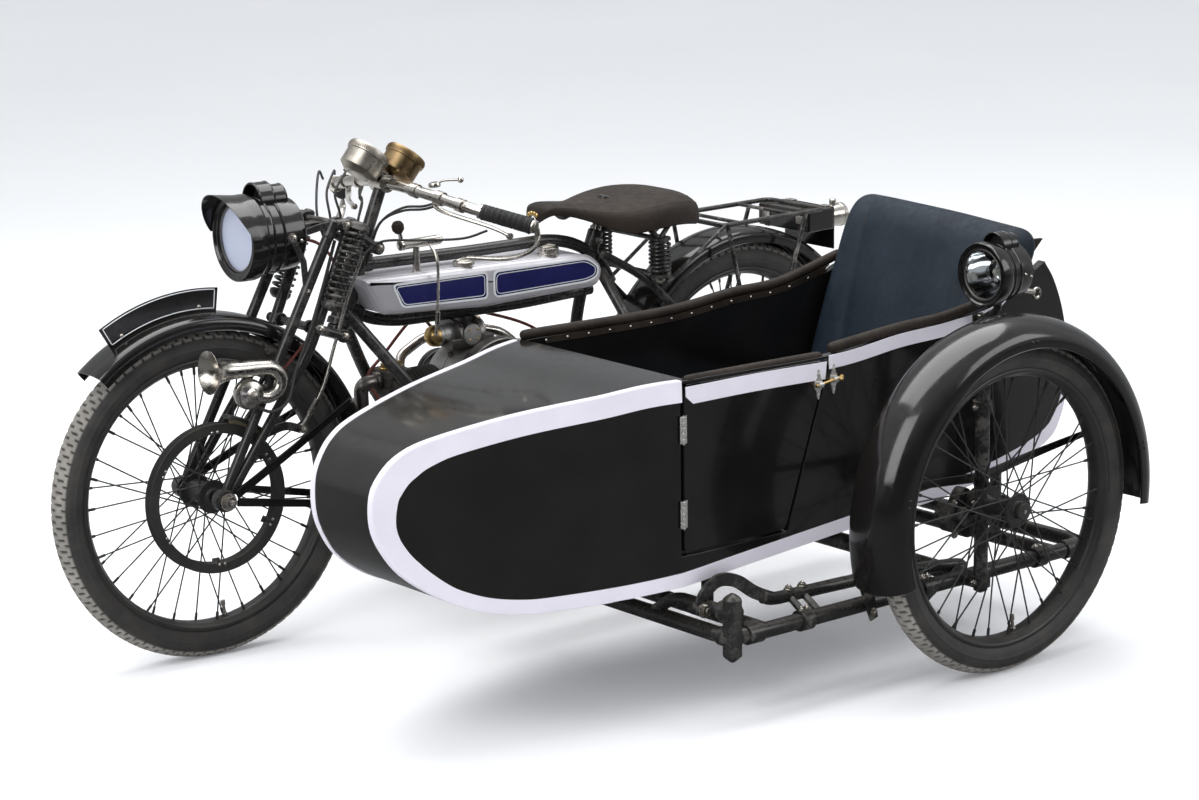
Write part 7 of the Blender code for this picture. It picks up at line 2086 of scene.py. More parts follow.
@dataclass
class Handlebar:
    """Swept bar with its clamp, levers, grips, cables and the two instruments."""

    shop: Workshop

    half_bar: tuple = ((0.6813, 0.0, 0.4107), (0.6793, 0.0357, 0.4107), (0.6686, 0.1143, 0.4021),
                       (0.6557, 0.1821, 0.3907),
                       (0.5921, 0.2657, 0.3629))

    def build(self) -> None:
        """Makes the bar and all that it carries."""
        half = path_of([at(*s) for s in self.half_bar])
        self.bar(half)
        self.grips(half)
        self.levers(half)
        self.instruments()
        self.cables()

    def bar(self, half: Array) -> None:
        """Bar as one tube through both sides, with its clamp and clips."""
        whole = np.vstack((other_side(half[:0:-1]), half))
        tube = [sweep(bend(whole, 0.055, 8), 0.0112, 26)]
        clamp = half[0]
        tube.append(rods(clamp - (0, 0.0224, 0), clamp + (0, 0.0224, 0), 0.0185, 28))
        for side in (1, -1):
            for y, r in ((0.110, 0.0145), (0.185, 0.0145), (0.243, 0.0138)):
                x = np.interp(y, half[:, 1], half[:, 0])
                z = np.interp(y, half[:, 1], half[:, 2])
                run = unit(half[3] - half[2]) * (1, side, 1)
                tube.append(lathe([(-0.009, 0.011), (-0.009, r), (0.009, r), (0.009, 0.011)],
                                  (x, side * y, z), run, 24))
        self.shop.piece("handlebar_tube", tube, NICKEL, "steering", ("handlebar",), bevel=0.0007)
        places = path_of([clamp + (0.004, s * 0.014, 0.0175) for s in (1, -1)])
        bolts = bolt_heads(places, (0.2, 0, 1), 0.0055, 0.004)
        self.shop.piece("handlebar_bolts", bolts, NICKEL, "steering")

    def grips(self, half: Array) -> None:
        """Tapered rubber grips: a ribbed profile turned about the bar's end run."""
        for side, node in ((1, "left_grip"), (-1, "right_grip")):
            inner, end = half[3] * (1, side, 1), half[4] * (1, side, 1)
            run = unit(end - inner)
            length = float(np.linalg.norm(end - inner))
            start = inner + run * length * 0.24
            reach = length * 0.76 - 0.009
            s = np.linspace(0, 1, 70)
            rib = 0.0005 * np.sign(np.sin(s * 60 * math.pi))
            radius = 0.0155 + 0.0008 * s + rib - 0.002 * np.clip((0.03 - s) / 0.03, 0, 1)
            radius[-3:] = (0.0172, 0.0172, 0.0150)
            radius[:3] = (0.0125, 0.0155, 0.0163)
            profile = np.stack((s * reach, radius), axis=1)
            self.shop.piece(f"{node}_dressed", lathe(profile, start, run, 36), GRIP, "steering", (node,),
                            smooth=50)
            collar = lathe([(-0.006, 0.0115), (-0.006, 0.0148), (0.0, 0.0148), (0.0, 0.0115)], start,
                           run, 32)
            plug = lathe([(-0.002, 0.0130), (0.004, 0.0140), (0.008, 0.0120), (0.010, 0.0004)],
                         start + run * reach, run, 32)
            self.shop.piece(f"{node}_collars", [collar, plug], NICKEL, "steering")

    def levers(self, half: Array) -> None:
        """Inverted levers from the bar's ends and brake levers under the bar, as flat tapered straps."""
        section = np.array(((-1, -0.30), (-0.8, -0.42), (0.8, -0.42), (1, -0.30), (1, 0.30), (0.8, 0.42),
                            (-0.8, 0.42), (-1, 0.30)))
        shapes = []
        for side in (1, -1):
            last = half[4]
            run = unit(half[4] - half[3])
            strap = path_of([last + run * 0.003, at(0.595, 0.2657, 0.3357), at(0.6214, 0.2393, 0.32),
                             at(0.6607, 0.1893, 0.32)])
            line = spline(strap, 12) * (1, side, 1)
            width = 0.0052 + 0.0030 * np.sin(np.linspace(0, 1, len(line)) * math.pi)
            shapes.append(sweep(line, width, section=section, up=(0.25, 0, 1)))
            shapes.append(rods(last * (1, side, 1) - (0, 0, 0.012), last * (1, side, 1) + (0, 0, 0.012),
                               0.0055, 16))
            lever = path_of([at(0.6679, 0.1179, 0.3929), at(0.6607, 0.1321, 0.38),
                             at(0.625, 0.1929, 0.3607), at(0.6036, 0.2143, 0.3464)])
            line = spline(lever, 12) * (1, side, 1)
            width = 0.0065 - 0.0018 * np.linspace(0, 1, len(line))
            shapes.append(sweep(line, width, section=section, up=(0.25, 0, 1)))
            shapes.append(rods(line[-1] - (0, 0.004, 0), line[-1] + (0, 0.004, 0), 0.0066, 16))
        self.shop.piece("handlebar_levers", shapes, NICKEL, "steering", bevel=0.0004)
        small = []
        for side in (1, -1):
            root = np.array((0.921, side * 0.150, 0.9075))
            small.append(lathe([(0, 0.012), (0.005, 0.0125), (0.009, 0.0105), (0.010, 0.0004)], root,
                               (0.1, 0, 1), 28))
            line = spline(path_of([root + (0, 0, 0.006), root + (-0.016, side * 0.012, 0.012),
                                   root + (-0.040, side * 0.034, 0.013)]), 8)
            small.append(sweep(line, 0.0045, section=section, up=(0, 0, 1)))
            ball = np.linspace(-math.pi / 2, math.pi / 2, 9)
            small.append(lathe(np.stack((np.sin(ball) * 0.0065, np.maximum(np.cos(ball), 0.03) * 0.0065),
                                        1), line[-1], (0, 0, 1), 20))
        self.shop.piece("control_levers", small, NICKEL, "steering", bevel=0.0004)

    def instruments(self) -> None:
        """Speed and charge instruments: turned pots with a rim, dial, marks, hand and domed glass."""
        tilt = np.array((-math.cos(math.radians(50.0)), 0.0, math.sin(math.radians(50.0))))
        for name, centre, r, finish in (
            ("speed_instrument", at(0.7143, 0, 0.4464) + (-0.008, 0, 0), 0.045, AGED_NICKEL),
            ("charge_instrument", at(0.6536, 0, 0.4357) + (-0.010, 0, 0), 0.043, BRONZE),
        ):
            d = 0.034
            pot = [(-d, 0.0005), (-d, r * 0.62), (-d + 0.003, r * 0.72), (-d + 0.010, r * 0.93),
                   (0.008, r * 0.94), (0.009, r), (0.011, r),
                   (0.021, r), (0.0245, r * 0.96), (0.025, r * 0.90), (0.0235, r * 0.87),
                   (0.019, r * 0.86), (0.019, 0.0005)]
            shapes = [lathe(pot, centre, tilt, 48),
                      rods(centre - tilt * 0.020, BAR_CLAMP + tilt * 0.006, 0.0058, 14)]
            knurl = np.arange(60) * 2 * math.pi / 60
            across, up = frame_about(tilt)
            ring = centre + np.cos(knurl)[:, None] * across * r + np.sin(knurl)[:, None] * up * r
            shapes.append(rods(ring + tilt * 0.012, ring + tilt * 0.020, 0.0009, 5))
            self.shop.piece(f"{name}_case", shapes, finish, "steering", (name,))
            face = lathe([(0.0192, 0.0005), (0.0192, r * 0.85), (0.0196, r * 0.85), (0.0196, 0.0005)],
                         centre, tilt, 48)
            self.shop.piece(f"{name}_dial", face, DIAL, "steering")
            turn = np.radians(np.linspace(-130, 130, 27) + 90)
            long = np.arange(27) % 5 < 1
            out = np.cos(turn)[:, None] * across + np.sin(turn)[:, None] * up
            inner = centre + tilt * 0.0198 + out * (r * np.where(long, 0.62, 0.70))[:, None]
            outer = centre + tilt * 0.0198 + out * r * 0.78
            marks = [rods(inner, outer, 0.00035, 4)]
            hand = math.radians(215)
            direction = math.cos(hand) * across + math.sin(hand) * up
            marks.append(rods(centre + tilt * 0.0206 - direction * 0.006,
                              centre + tilt * 0.0206 + direction * r * 0.62, 0.0006, 5))
            marks.append(round_heads(centre + tilt * 0.0200, tilt, 0.003, 0.0016))
            self.shop.piece(f"{name}_marks", marks, INK, "steering")
            lens = [(0.0215, r * 0.865), (0.0228, r * 0.70), (0.0238, r * 0.40), (0.0242, 0.0005),
                    (0.0232, 0.0005), (0.0228, r * 0.40), (0.0218, r * 0.70), (0.0207, r * 0.865)]
            self.shop.piece(f"{name}_glass", lathe(lens, centre, tilt, 48), GLASS, "steering")

    def cables(self) -> None:
        """Sheathed control cables from the levers along the bar and down to the head."""
        runs = []
        for side, shift in ((1, 0.0), (1, 0.006), (-1, 0.0), (-1, 0.006)):
            runs.append(spline(path_of([(0.905 - shift, side * 0.168, 0.884 - shift),
                                        (0.932, side * 0.128, 0.868 - shift),
                                        (0.955, side * 0.080, 0.862 - shift),
                                        (0.985, side * 0.045, 0.835),
                                        (1.004 + shift, side * 0.034, 0.790),
                                        (1.018 + shift, side * 0.030, 0.745)]), 10))
        for shift in (0.0, 0.022, 0.040):
            runs.append(spline(path_of([(1.004 - shift, -0.150 + shift * 0.5, 0.905 + shift * 0.4),
                                        (1.030 - shift, -0.120 + shift, 0.925),
                                        (1.058 - shift * 0.5, -0.085 + shift, 0.890),
                                        (1.078 - shift, -0.052 + shift * 0.6, 0.845),
                                        (1.072 - shift, -0.040, 0.800)]), 10))
        lower = spline(path_of([(0.862, 0.245, 0.822), (0.895, 0.205, 0.806), (0.945, 0.130, 0.800),
                                (0.998, 0.070, 0.798), (1.040, 0.070, 0.780), (1.052, 0.072, 0.765)]), 10)
        self.shop.piece("control_cables", [sweep(run, 0.0026, 10) for run in runs + [lower]], CABLE,
                        "steering")


HEAD_LAMP = np.array((1.235, 0.0, 0.830))
SIDE_LAMP = np.array((0.185, 0.987, 0.757))


@dataclass
class Lamp:
    """Headlamp or side lamp: drawn can with arched vents, thick rim, reflector, glass and a visor."""

    shop: Workshop
    name: str
    body: str
    centre: Array
    radius: float
    visor: float
    glass: Finish

    def build(self) -> None:
        """Makes the can, the rim, the vents, the reflector, burner, glass and visor."""
        self.can()
        self.optics()
        self.vents()
        if self.visor:
            self.peak()

    def can(self) -> None:
        """Can with its domed back and two ridges, and the thick rim that holds the glass."""
        r = self.radius
        forward = (1.0, 0.0, 0.0)
        dome = np.radians(np.linspace(0, 78, 12))
        back = np.stack((-0.62 - np.cos(dome) * 0.28, np.sin(dome) * 0.84), axis=1)
        back[0, 1] = 0.004
        side = ((-0.45, 0.86), (-0.16, 0.87), (-0.145, 0.90), (-0.12, 0.91), (-0.095, 0.90),
                (-0.08, 0.875), (0.12, 0.885), (0.135, 0.92), (0.16, 0.93),
                (0.185, 0.92), (0.20, 0.905), (0.30, 0.91), (0.32, 0.95), (0.36, 0.985), (0.42, 1.0),
                (0.72, 1.0), (0.765, 0.99), (0.785, 0.965),
                (0.780, 0.930), (0.735, 0.885), (0.725, 0.845), (0.735, 0.805), (0.700, 0.785),
                (0.64, 0.78), (0.61, 0.77))
        inside = ((0.45, 0.75), (0.20, 0.68), (-0.05, 0.54), (-0.24, 0.32), (-0.30, 0.10), (-0.305, 0.004))
        profile = np.vstack((back, side, inside)) * r
        self.shop.piece(f"{self.name}_can", lathe(profile, self.centre, forward, 72), BLACK, self.body,
                        (self.name,), smooth=30)
        screws = []
        for side_y in (1, -1):
            place = self.centre + np.array(((-0.28 * r, side_y * 0.865 * r, 0.0),
                                            (-0.55 * r, side_y * 0.84 * r, -0.10 * r)))
            screws.append(round_heads(place, (0, side_y, 0), 0.0045 * r / 0.086, 0.004))
        self.shop.piece(f"{self.name}_screws", screws, NICKEL, self.body)

    def optics(self) -> None:
        """Reflector bowl, burner and glass, and the bright ring round the glass."""
        r = self.radius
        forward = (1.0, 0.0, 0.0)
        bowl = np.array(((-0.290, 0.004), (-0.285, 0.10), (-0.225, 0.34), (-0.035, 0.535),
                         (0.215, 0.675), (0.465, 0.745), (0.60, 0.765))) * r
        bowl = spline(bowl, 5)
        bowl[:, 1] = np.maximum(bowl[:, 1], 0.0004)
        thin = np.vstack((bowl, (bowl - (0.0012, 0))[::-1]))
        self.shop.piece(f"{self.name}_reflector", lathe(thin, self.centre, forward, 64, ring=True),
                        MIRROR, self.body)
        bulb = np.radians(np.linspace(-90, 90, 13))
        globe = np.stack((np.sin(bulb) * 0.13 * r + 0.06 * r, np.maximum(np.cos(bulb), 0.02) * 0.13 * r),
                         axis=1)
        self.shop.piece(f"{self.name}_burner",
                        rods(self.centre + (-0.28 * r, 0, 0), self.centre + (-0.02 * r, 0, 0), 0.08 * r,
                             20), BRASS, self.body)
        self.shop.piece(f"{self.name}_bulb", lathe(globe, self.centre, forward, 28), DIAL, self.body)
        dome = np.linspace(0, 1, 10)
        front = np.stack((0.640 + 0.035 * (1 - dome**2), dome * 0.775), axis=1)
        glass = np.vstack((front, front[::-1] - (0.03, 0))) * r
        glass[:, 1] = np.maximum(glass[:, 1], 0.0004)
        self.shop.piece(f"{self.name}_lens", lathe(glass, self.centre, forward, 64), self.glass,
                        self.body, (f"{self.name}_glass",))
        ring = np.array(((0.655, 0.790), (0.655, 0.752), (0.700, 0.750), (0.710, 0.768),
                         (0.700, 0.790))) * r
        self.shop.piece(f"{self.name}_bezel", lathe(ring, self.centre, forward, 64, ring=True), STEEL,
                        self.body)

    def vents(self) -> None:
        """Two arched vents on top, each a tube half sunk in the can with a dark plug."""
        r = self.radius
        wall = 0.035
        shapes, dark = [], []
        for start, length, size in ((-0.16, 0.40, 0.45), (-0.52, 0.36, 0.36)):
            foot = self.centre + (start * r, 0, 0.80 * r)
            ring = np.array(((0.0, size - wall), (0.0, size), (0.02, size + 0.012), (0.04, size),
                             (length - 0.04, size),
                             (length - 0.02, size + 0.012), (length, size), (length, size - wall))) * r
            shapes.append(lathe(ring, foot, (1, 0, 0), 40, ring=True))
            plug = np.array(((0.06, 0.004), (0.06, size - 0.04), (0.10, size - 0.04), (0.10, 0.004))) * r
            dark.append(lathe(plug, foot, (1, 0, 0), 32))
        self.shop.piece(f"{self.name}_vents", shapes, BLACK, self.body, smooth=30)
        self.shop.piece(f"{self.name}_vent_plugs", dark, SPOKE_BLACK, self.body)

    def peak(self) -> None:
        """Visor over the glass: a thin sheet round the rim's upper half, longest at its top.

        Its length at an angle from the top is the visor's length times a power of the cosine, and it
        flares a little as it runs forward.
        """
        r = self.radius
        angle = np.radians(np.linspace(-86, 86, 61))
        length = self.visor * np.cos(angle * 90 / 88) ** 0.75
        share = np.linspace(0, 1, 9)
        x = 0.40 * r + share[None] * (length[:, None] + 0.33 * r)
        radius = r * (1.010 + 0.07 * np.clip(share[None] * 1.5 - 0.5, 0, 1))
        x, radius = np.broadcast_arrays(x, radius)
        outer = np.stack((x, np.sin(angle)[:, None] * radius, np.cos(angle)[:, None] * radius), axis=-1)
        radius = radius - 0.0013
        inner = np.stack((x, np.sin(angle)[:, None] * radius, np.cos(angle)[:, None] * radius), axis=-1)
        rows = np.concatenate((outer, inner[:, ::-1]), axis=1) + self.centre
        self.shop.piece(f"{self.name}_visor", grid(rows), BLACK, self.body, smooth=40)


@dataclass
class FrontFittings:
    """Headlamp's bracket, the horn, the front plate and the red wires."""

    shop: Workshop
    axle: Array

    def build(self) -> None:
        """Makes the bracket, horn, plate and wires."""
        self.bracket()
        self.horn()
        self.plate()

    def bracket(self) -> None:
        """Flat arm from the fork's top to the lamp, with two struts to its sides."""
        lamp = HEAD_LAMP
        spindle = UPPER_SPINDLE
        back = lamp[0] - 0.070
        middle = (spindle[0] + 0.006 + back) / 2
        shapes = [block((middle, 0, spindle[2] - 0.004), (back - middle + 0.012, 0.019, 0.0040))]
        nuts = []
        for side in (1, -1):
            eye = lamp + (-0.024, side * 0.0760, 0.0)
            foot = np.array((1.189, side * 0.083, 0.722))
            section = oblong(1, 0.34)
            shapes.append(sweep(evenly(np.array((eye, (eye + foot) / 2 + (-0.010, 0, 0.004), foot)), 24),
                                0.0065, section=section, up=(0, 1, 0)))
            shapes.append(rods(eye - (0, side * 0.004, 0), eye + (0, side * 0.004, 0), 0.0100, 20))
            run = spline(path_of([spindle + (0.012, side * 0.083, 0.004), (1.150, side * 0.086, 0.846),
                                  (1.176, side * 0.074, 0.838)]), 8)
            shapes.append(sweep(run, 0.0070, section=section, up=(0, 1, 0)))
            nuts.append(bolt_heads(eye + (0, side * 0.004, 0), (0, side, 0), 0.0062, 0.005))
            nuts.append(bolt_heads(foot + (0, side * 0.006, 0), (0, side, 0), 0.0055, 0.005))
        self.shop.piece("headlamp_bracket", shapes, FRAME_BLACK, "steering", bevel=0.001)
        self.shop.piece("headlamp_nuts", nuts, NICKEL, "steering")
        wire = spline(path_of([(1.150, 0.004, 0.815), (1.118, 0.022, 0.800), (1.100, 0.045, 0.760),
                               (1.112, 0.052, 0.700), (1.160, 0.062, 0.640), (1.205, 0.066, 0.600),
                               (1.262, 0.078, 0.560)]), 10)
        self.shop.piece("headlamp_wire", sweep(wire, 0.0032, 10), RED_WIRE, "steering")

    def horn(self) -> None:
        """Snail horn: flared bell, pipe that turns back under it, and a round body with its boss."""
        y = 0.108
        bell = [(0.0, 0.0165), (0.030, 0.0175), (0.052, 0.0205), (0.068, 0.0265), (0.079, 0.0355),
                (0.085, 0.0425), (0.087, 0.0440), (0.0875, 0.0430),
                (0.0815, 0.0345), (0.069, 0.0240), (0.052, 0.0185), (0.036, 0.0150)]
        shapes = [lathe(bell, (1.344, y, 0.590), (1, 0, 0.05), 56)]
        pipe = spline(path_of([(1.346, y, 0.590), (1.318, y, 0.589), (1.290, y, 0.584),
                               (1.272, y, 0.564), (1.278, y, 0.540), (1.300, y, 0.528),
                               (1.326, y, 0.532)]), 8)
        shapes.append(sweep(pipe, np.linspace(0.0165, 0.0120, len(pipe)), 24, up=(0, 1, 0)))
        body = [(-0.020, 0.0005), (-0.020, 0.020), (-0.017, 0.026), (-0.006, 0.029), (-0.004, 0.031),
                (0.004, 0.031), (0.006, 0.029), (0.014, 0.026), (0.018, 0.014), (0.024, 0.010),
                (0.025, 0.0005)]
        shapes.append(lathe(body, (1.345, y, 0.540), (0, 1, 0), 44))
        shapes.append(bolt_heads((1.345, y + 0.0245, 0.540), (0, 1, 0), 0.006, 0.005))
        self.shop.piece("horn_dressed", shapes, NICKEL, "steering", ("horn",), bevel=0.0004)
        clip = [rods((1.300, y, 0.584), (1.262, 0.085, 0.588), 0.0052, 14),
                rods((1.345, y - 0.018, 0.545), (1.288, 0.086, 0.545), 0.0050, 14)]
        self.shop.piece("horn_bracket", clip, FRAME_BLACK, "steering")
        cable = spline(path_of([(1.332, y + 0.004, 0.512), (1.300, y + 0.012, 0.500),
                                (1.262, y + 0.006, 0.515), (1.232, 0.100, 0.570), (1.190, 0.095, 0.650),
                                (1.150, 0.090, 0.740), (1.118, 0.082, 0.815)]), 10)
        self.shop.piece("horn_cable", sweep(cable, 0.0034, 10), CABLE, "steering")

    def plate(self) -> None:
        """Blank curved plate along the front mudguard's top, with a raised edge line and two bolts."""
        section = np.array(((0.3650, -0.0015), (0.4130, -0.0015), (0.4130, 0.0015), (0.3650, 0.0015)))
        plate = arch(self.axle, 60.0, 98.0, section, 40)
        self.shop.piece("front_plate_dressed", plate, BLACK, "steering", ("front_plate",), bevel=0.0006)
        edge = []
        for side in (1, -1):
            top = about(self.axle, np.linspace(61.0, 97.0, 40), 0.4095, side * 0.0018)
            low = about(self.axle, np.linspace(97.0, 61.0, 40), 0.3720, side * 0.0018)
            loop = evenly(np.vstack((top, low, top[:1])), 160)[:-1]
            edge.append(sweep(loop, 0.0010, 6, up=(0, 1, 0), closed=True))
        self.shop.piece("front_plate_line", edge, LINE, "steering")
        heads = []
        for side in (1, -1):
            spots = about(self.axle, np.array((65.0, 92.0)), 0.376, side * 0.0015)
            heads.append(round_heads(spots, (0, side, 0), 0.0042, 0.0026))
        self.shop.piece("front_plate_bolts", heads, NICKEL, "steering")


# Sidecar


BODY_OUTLINE = ((0.0451, 1.0), (0.0262, 0.91), (0.0091, 0.766), (0.0, 0.57), (0.0104, 0.348),
                (0.0512, 0.228), (0.189, 0.132), (0.35, 0.09), (0.55, 0.042),
                (0.6902, 0.006), (0.7866, 0.0), (0.8335, 0.008), (0.8805, 0.042), (0.9262, 0.112),
                (0.9652, 0.206), (0.9872, 0.302), (0.9988, 0.398),
                (0.9988, 0.51), (0.9896, 0.58), (0.9683, 0.65), (0.9305, 0.698), (0.8372, 0.75),
                (0.7354, 0.78), (0.6372, 0.806), (0.4098, 0.792),
                (0.2945, 0.82), (0.2091, 0.83), (0.1232, 0.866), (0.0451, 1.0))
CAVITY_OUTLINE = ((0.9854, 0.51), (0.9652, 0.6), (0.9262, 0.658), (0.8372, 0.71), (0.7354, 0.74),
                  (0.6262, 0.77), (0.6262, 1.31), (0.0384, 1.31),
                  (0.139, 0.254), (0.4165, 0.214), (0.4299, 0.114), (0.55, 0.082), (0.6902, 0.046),
                  (0.7866, 0.04), (0.8677, 0.072), (0.9165, 0.138),
                  (0.953, 0.226), (0.9854, 0.39))
BOOT_OUTLINE = ((0.0299, 1.31), (0.014, 1.31), (0.036, 0.91), (0.0195, 0.766), (0.011, 0.57),
                (0.0213, 0.37), (0.0567, 0.264), (0.1238, 0.214), (0.1345, 0.214))
DOOR_OUTLINE = ((0.6335, 0.147), (0.6335, 0.784), (0.4116, 0.772), (0.478, 0.147))
WALL = 0.018
DOOR_HINGE_X = 0.9615


def body_half_at(x: Array | float) -> Array:
    """Half the body's width at a place along it: straight to the taper, then falling to the blunt nose."""
    break_x = BODY_TAIL_X + BODY_TAPER * BODY_LENGTH
    front_x = BODY_TAIL_X + BODY_LENGTH
    share = np.clip((np.asarray(x, float) - break_x) / (front_x - break_x), 0.0, None)
    return BODY_SIDE - (BODY_SIDE - BODY_NOSE_HALF) * share


def side_points(shares: tuple) -> Array:
    """(x, z) points of an outline on the body's side."""
    return path_of([body_at(x, z) for x, z in shares])[:, (0, 2)]


def grown(outline: Array, gap: float) -> Array:
    """Closed outline moved outwards by a gap: each corner goes along the mean of its two runs' normals."""
    runs = unit(np.roll(outline, -1, 0) - outline)
    outward = np.stack((runs[:, 1], -runs[:, 0]), axis=1)
    before = np.roll(outward, 1, 0)
    x, z = outline[:, 0], outline[:, 1]
    area = np.sum(np.roll(x, 1) * z - x * np.roll(z, 1))
    middle = unit(outward + before) * np.sign(area)
    share = (middle * outward * np.sign(area)).sum(axis=1, keepdims=True)
    return outline + middle * gap / np.maximum(share, 0.3)


def boolean(target: bpy.types.Object, tool: Shape, operation: str) -> None:
    """Joins, cuts or keeps in common a shape with an object's mesh.

    Args:
        target: the object that is changed.
        tool: the shape, in the object's own coordinates.
        operation: UNION, DIFFERENCE or INTERSECT.
    """
    mesh = bpy.data.meshes.new("tool")
    polygons = [row for table in tool.faces for row in table.tolist()]
    mesh.from_pydata(tool.points.tolist(), [], polygons)
    build = bmesh.new()
    build.from_mesh(mesh)
    bmesh.ops.recalc_face_normals(build, faces=build.faces)
    build.to_mesh(mesh)
    build.free()
    helper = bpy.data.objects.new("tool", mesh)
    bpy.context.scene.collection.objects.link(helper)
    step = target.modifiers.new("step", "BOOLEAN")
    step.operation = operation
    step.solver = "EXACT"
    step.object = helper
    result = bpy.data.meshes.new_from_object(target.evaluated_get(bpy.context.evaluated_depsgraph_get()))
    target.modifiers.remove(step)
    old = target.data
    target.data = result
    bpy.data.meshes.remove(old)
    bpy.data.objects.remove(helper)
    bpy.data.meshes.remove(mesh)


@dataclass
class SidecarBody:
    """Coachbuilt body with silver mouldings, its door with hinges and latch, and the coaming rolls."""

    shop: Workshop

    def build(self) -> None:
        """Makes the body and all that is fixed to it."""
        self.shell()
        self.bands()
        self.deck_bands()
        self.door()
        self.rolls()

    def outline(self) -> Array:
        """Smooth side outline of the body, which keeps its sharp point at the tail's top."""
        return spline(side_points(BODY_OUTLINE), 7)[:-1]

    def plan(self, inset: float) -> Array:
        """(x, y) outline of the body from above, its sides eased where the taper starts."""
        tail, nose = BODY_TAIL_X - 0.02, BODY_TAIL_X + BODY_LENGTH + 0.02
        break_x = BODY_TAIL_X + BODY_TAPER * BODY_LENGTH
        near = path_of([(tail, 0, 0), (break_x, 0, 0), (nose, 0, 0)])
        near[:, 1] = (BODY_SIDE, BODY_SIDE, float(body_half_at(nose)))
        eased = bend(near, 0.05, 5)
        eased[:, 1] -= inset
        side = eased[:, :2]
        middle = np.array((0.0, BODY_CENTRE_Y))
        return np.vstack((side + middle, (side * (1, -1) + middle)[::-1]))

    def shell(self) -> None:
        """Body: the side outline taken across, kept within the plan, then hollowed and cut for the door."""
        low, high = BODY_FLOOR_Z - 0.05, BODY_FLOOR_Z + 1.2
        wide = BODY_SIDE + 0.03
        span = (BODY_CENTRE_Y - wide, BODY_CENTRE_Y + wide)
        offset = self.shop.offset
        mesh = self.shop.mesh("sidecar_body_shell", prism(self.outline(), *span), "outfit")
        mesh.materials.append(BLACK.material())
        obj = bpy.data.objects.new("sidecar_body_shell", mesh)
        bpy.context.scene.collection.objects.link(obj)
        boolean(obj, prism(self.plan(0.0), low, high, "xy").moved(offset), "INTERSECT")
        inner_low = BODY_CENTRE_Y - BODY_SIDE + WALL
        inner_high = BODY_CENTRE_Y + BODY_SIDE - WALL
        taper = self.plan(WALL)
        for outline in (CAVITY_OUTLINE, BOOT_OUTLINE):
            hollow = bpy.data.objects.new("hollow",
                                          self.shop.mesh("hollow",
                                                         prism(side_points(outline), inner_low,
                                                               inner_high), "outfit"))
            bpy.context.scene.collection.objects.link(hollow)
            boolean(hollow, prism(taper, low, high, "xy").moved(offset), "INTERSECT")
            points = np.zeros(len(hollow.data.vertices) * 3)
            hollow.data.vertices.foreach_get("co", points)
            tables: dict[int, list[list[int]]] = {}
            for face in hollow.data.polygons:
                tables.setdefault(len(face.vertices), []).append(list(face.vertices))
            cutter = Shape(points.reshape(-1, 3), [np.array(rows) for rows in tables.values()])
            boolean(obj, cutter, "DIFFERENCE")
            mesh = hollow.data
            bpy.data.objects.remove(hollow)
            bpy.data.meshes.remove(mesh)
        opening = grown(side_points(DOOR_OUTLINE), 0.0055)
        side = BODY_CENTRE_Y + BODY_SIDE
        boolean(obj, prism(opening, side - WALL - 0.001, side + 0.02).moved(offset), "DIFFERENCE")
        obj.data.materials.clear()
        obj.data.materials.append(BLACK.material())
        self.shop.shade(obj.data, 26)
        self.shop.round_edges(obj, 0.0028, 3, 30.0)
        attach(obj, "outfit")
        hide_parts("sidecar_body")
        log.info("%-26s cut from its outline", "sidecar_body_shell")

    def band(self, line: Array, side: int, width: Array) -> Shape:
        """Flat moulding on one side of the body, from an outline inwards.

        Its four corners are the outline and the inner line on the side's surface, and the same two
        lines standing a little proud.

        Args:
            line: (x, z) points of its outer edge.
            side: 1 for the near side, -1 for the far one.
            width: its width at each point.
        """
        runs = unit(np.gradient(line, axis=0))
        inward = np.stack((-runs[:, 1], runs[:, 0]), axis=1)
        middle = np.array((0.75, 0.42))
        inward *= np.sign((inward * (middle - line)).sum(axis=1, keepdims=True))
        inner = line + inward * width[:, None]
        rows = []
        for flat, proud in ((line, -0.001), (line, 0.0014), (inner, 0.0014), (inner, -0.001)):
            y = BODY_CENTRE_Y + side * (body_half_at(flat[:, 0]) + proud)
            rows.append(np.stack((flat[:, 0], y, flat[:, 1]), axis=1))
        return grid(np.stack(rows, axis=1))

    def bands(self) -> None:
        """Silver mouldings along each side's outline, from the top edge round the nose to the tail.

        The band is widest round the nose, narrower below, and runs out up the tail. The rear part of
        the near side's top edge has a band of its own, which ends in a point below the lamp.
        """
        outline = self.outline()
        x, z = outline.T
        high = np.where(z > 0.5, 0.0, 9.0)
        start, stop, last = (int(np.argmin(np.abs(x - place) + high)) for place in (0.964, 0.5885, 0.105))
        tail = int(np.argmin(np.abs(z - 0.52) + np.where(x < 0.1, 0.0, 9.0)))
        shapes = []
        for side, begin in ((1, start), (-1, last)):
            line = self.part_round(outline, begin, tail)
            top = np.clip((line[:, 1] - 0.40) / 0.12, 0.0, 1.0) * (line[:, 0] > 0.8)
            nose = np.clip((line[:, 0] - 1.42) / 0.08, 0.0, 1.0)
            fade = np.clip((0.52 - line[:, 1]) / 0.14, 0.02, 1.0) ** 0.8
            width = (0.027 + 0.013 * top + 0.009 * nose) * np.where(line[:, 0] < 0.15, fade, 1.0)
            shapes.append(self.band(line, side, width))
        line = outline[min(stop, last):max(stop, last) + 1]
        width = 0.027 * np.clip((line[:, 0] - 0.104) / 0.09, 0.03, 1.0) ** 0.6
        shapes.append(self.band(line, 1, width))
        self.shop.piece("side_bands", shapes, BAND_SILVER, bevel=0.0004, smooth=25)

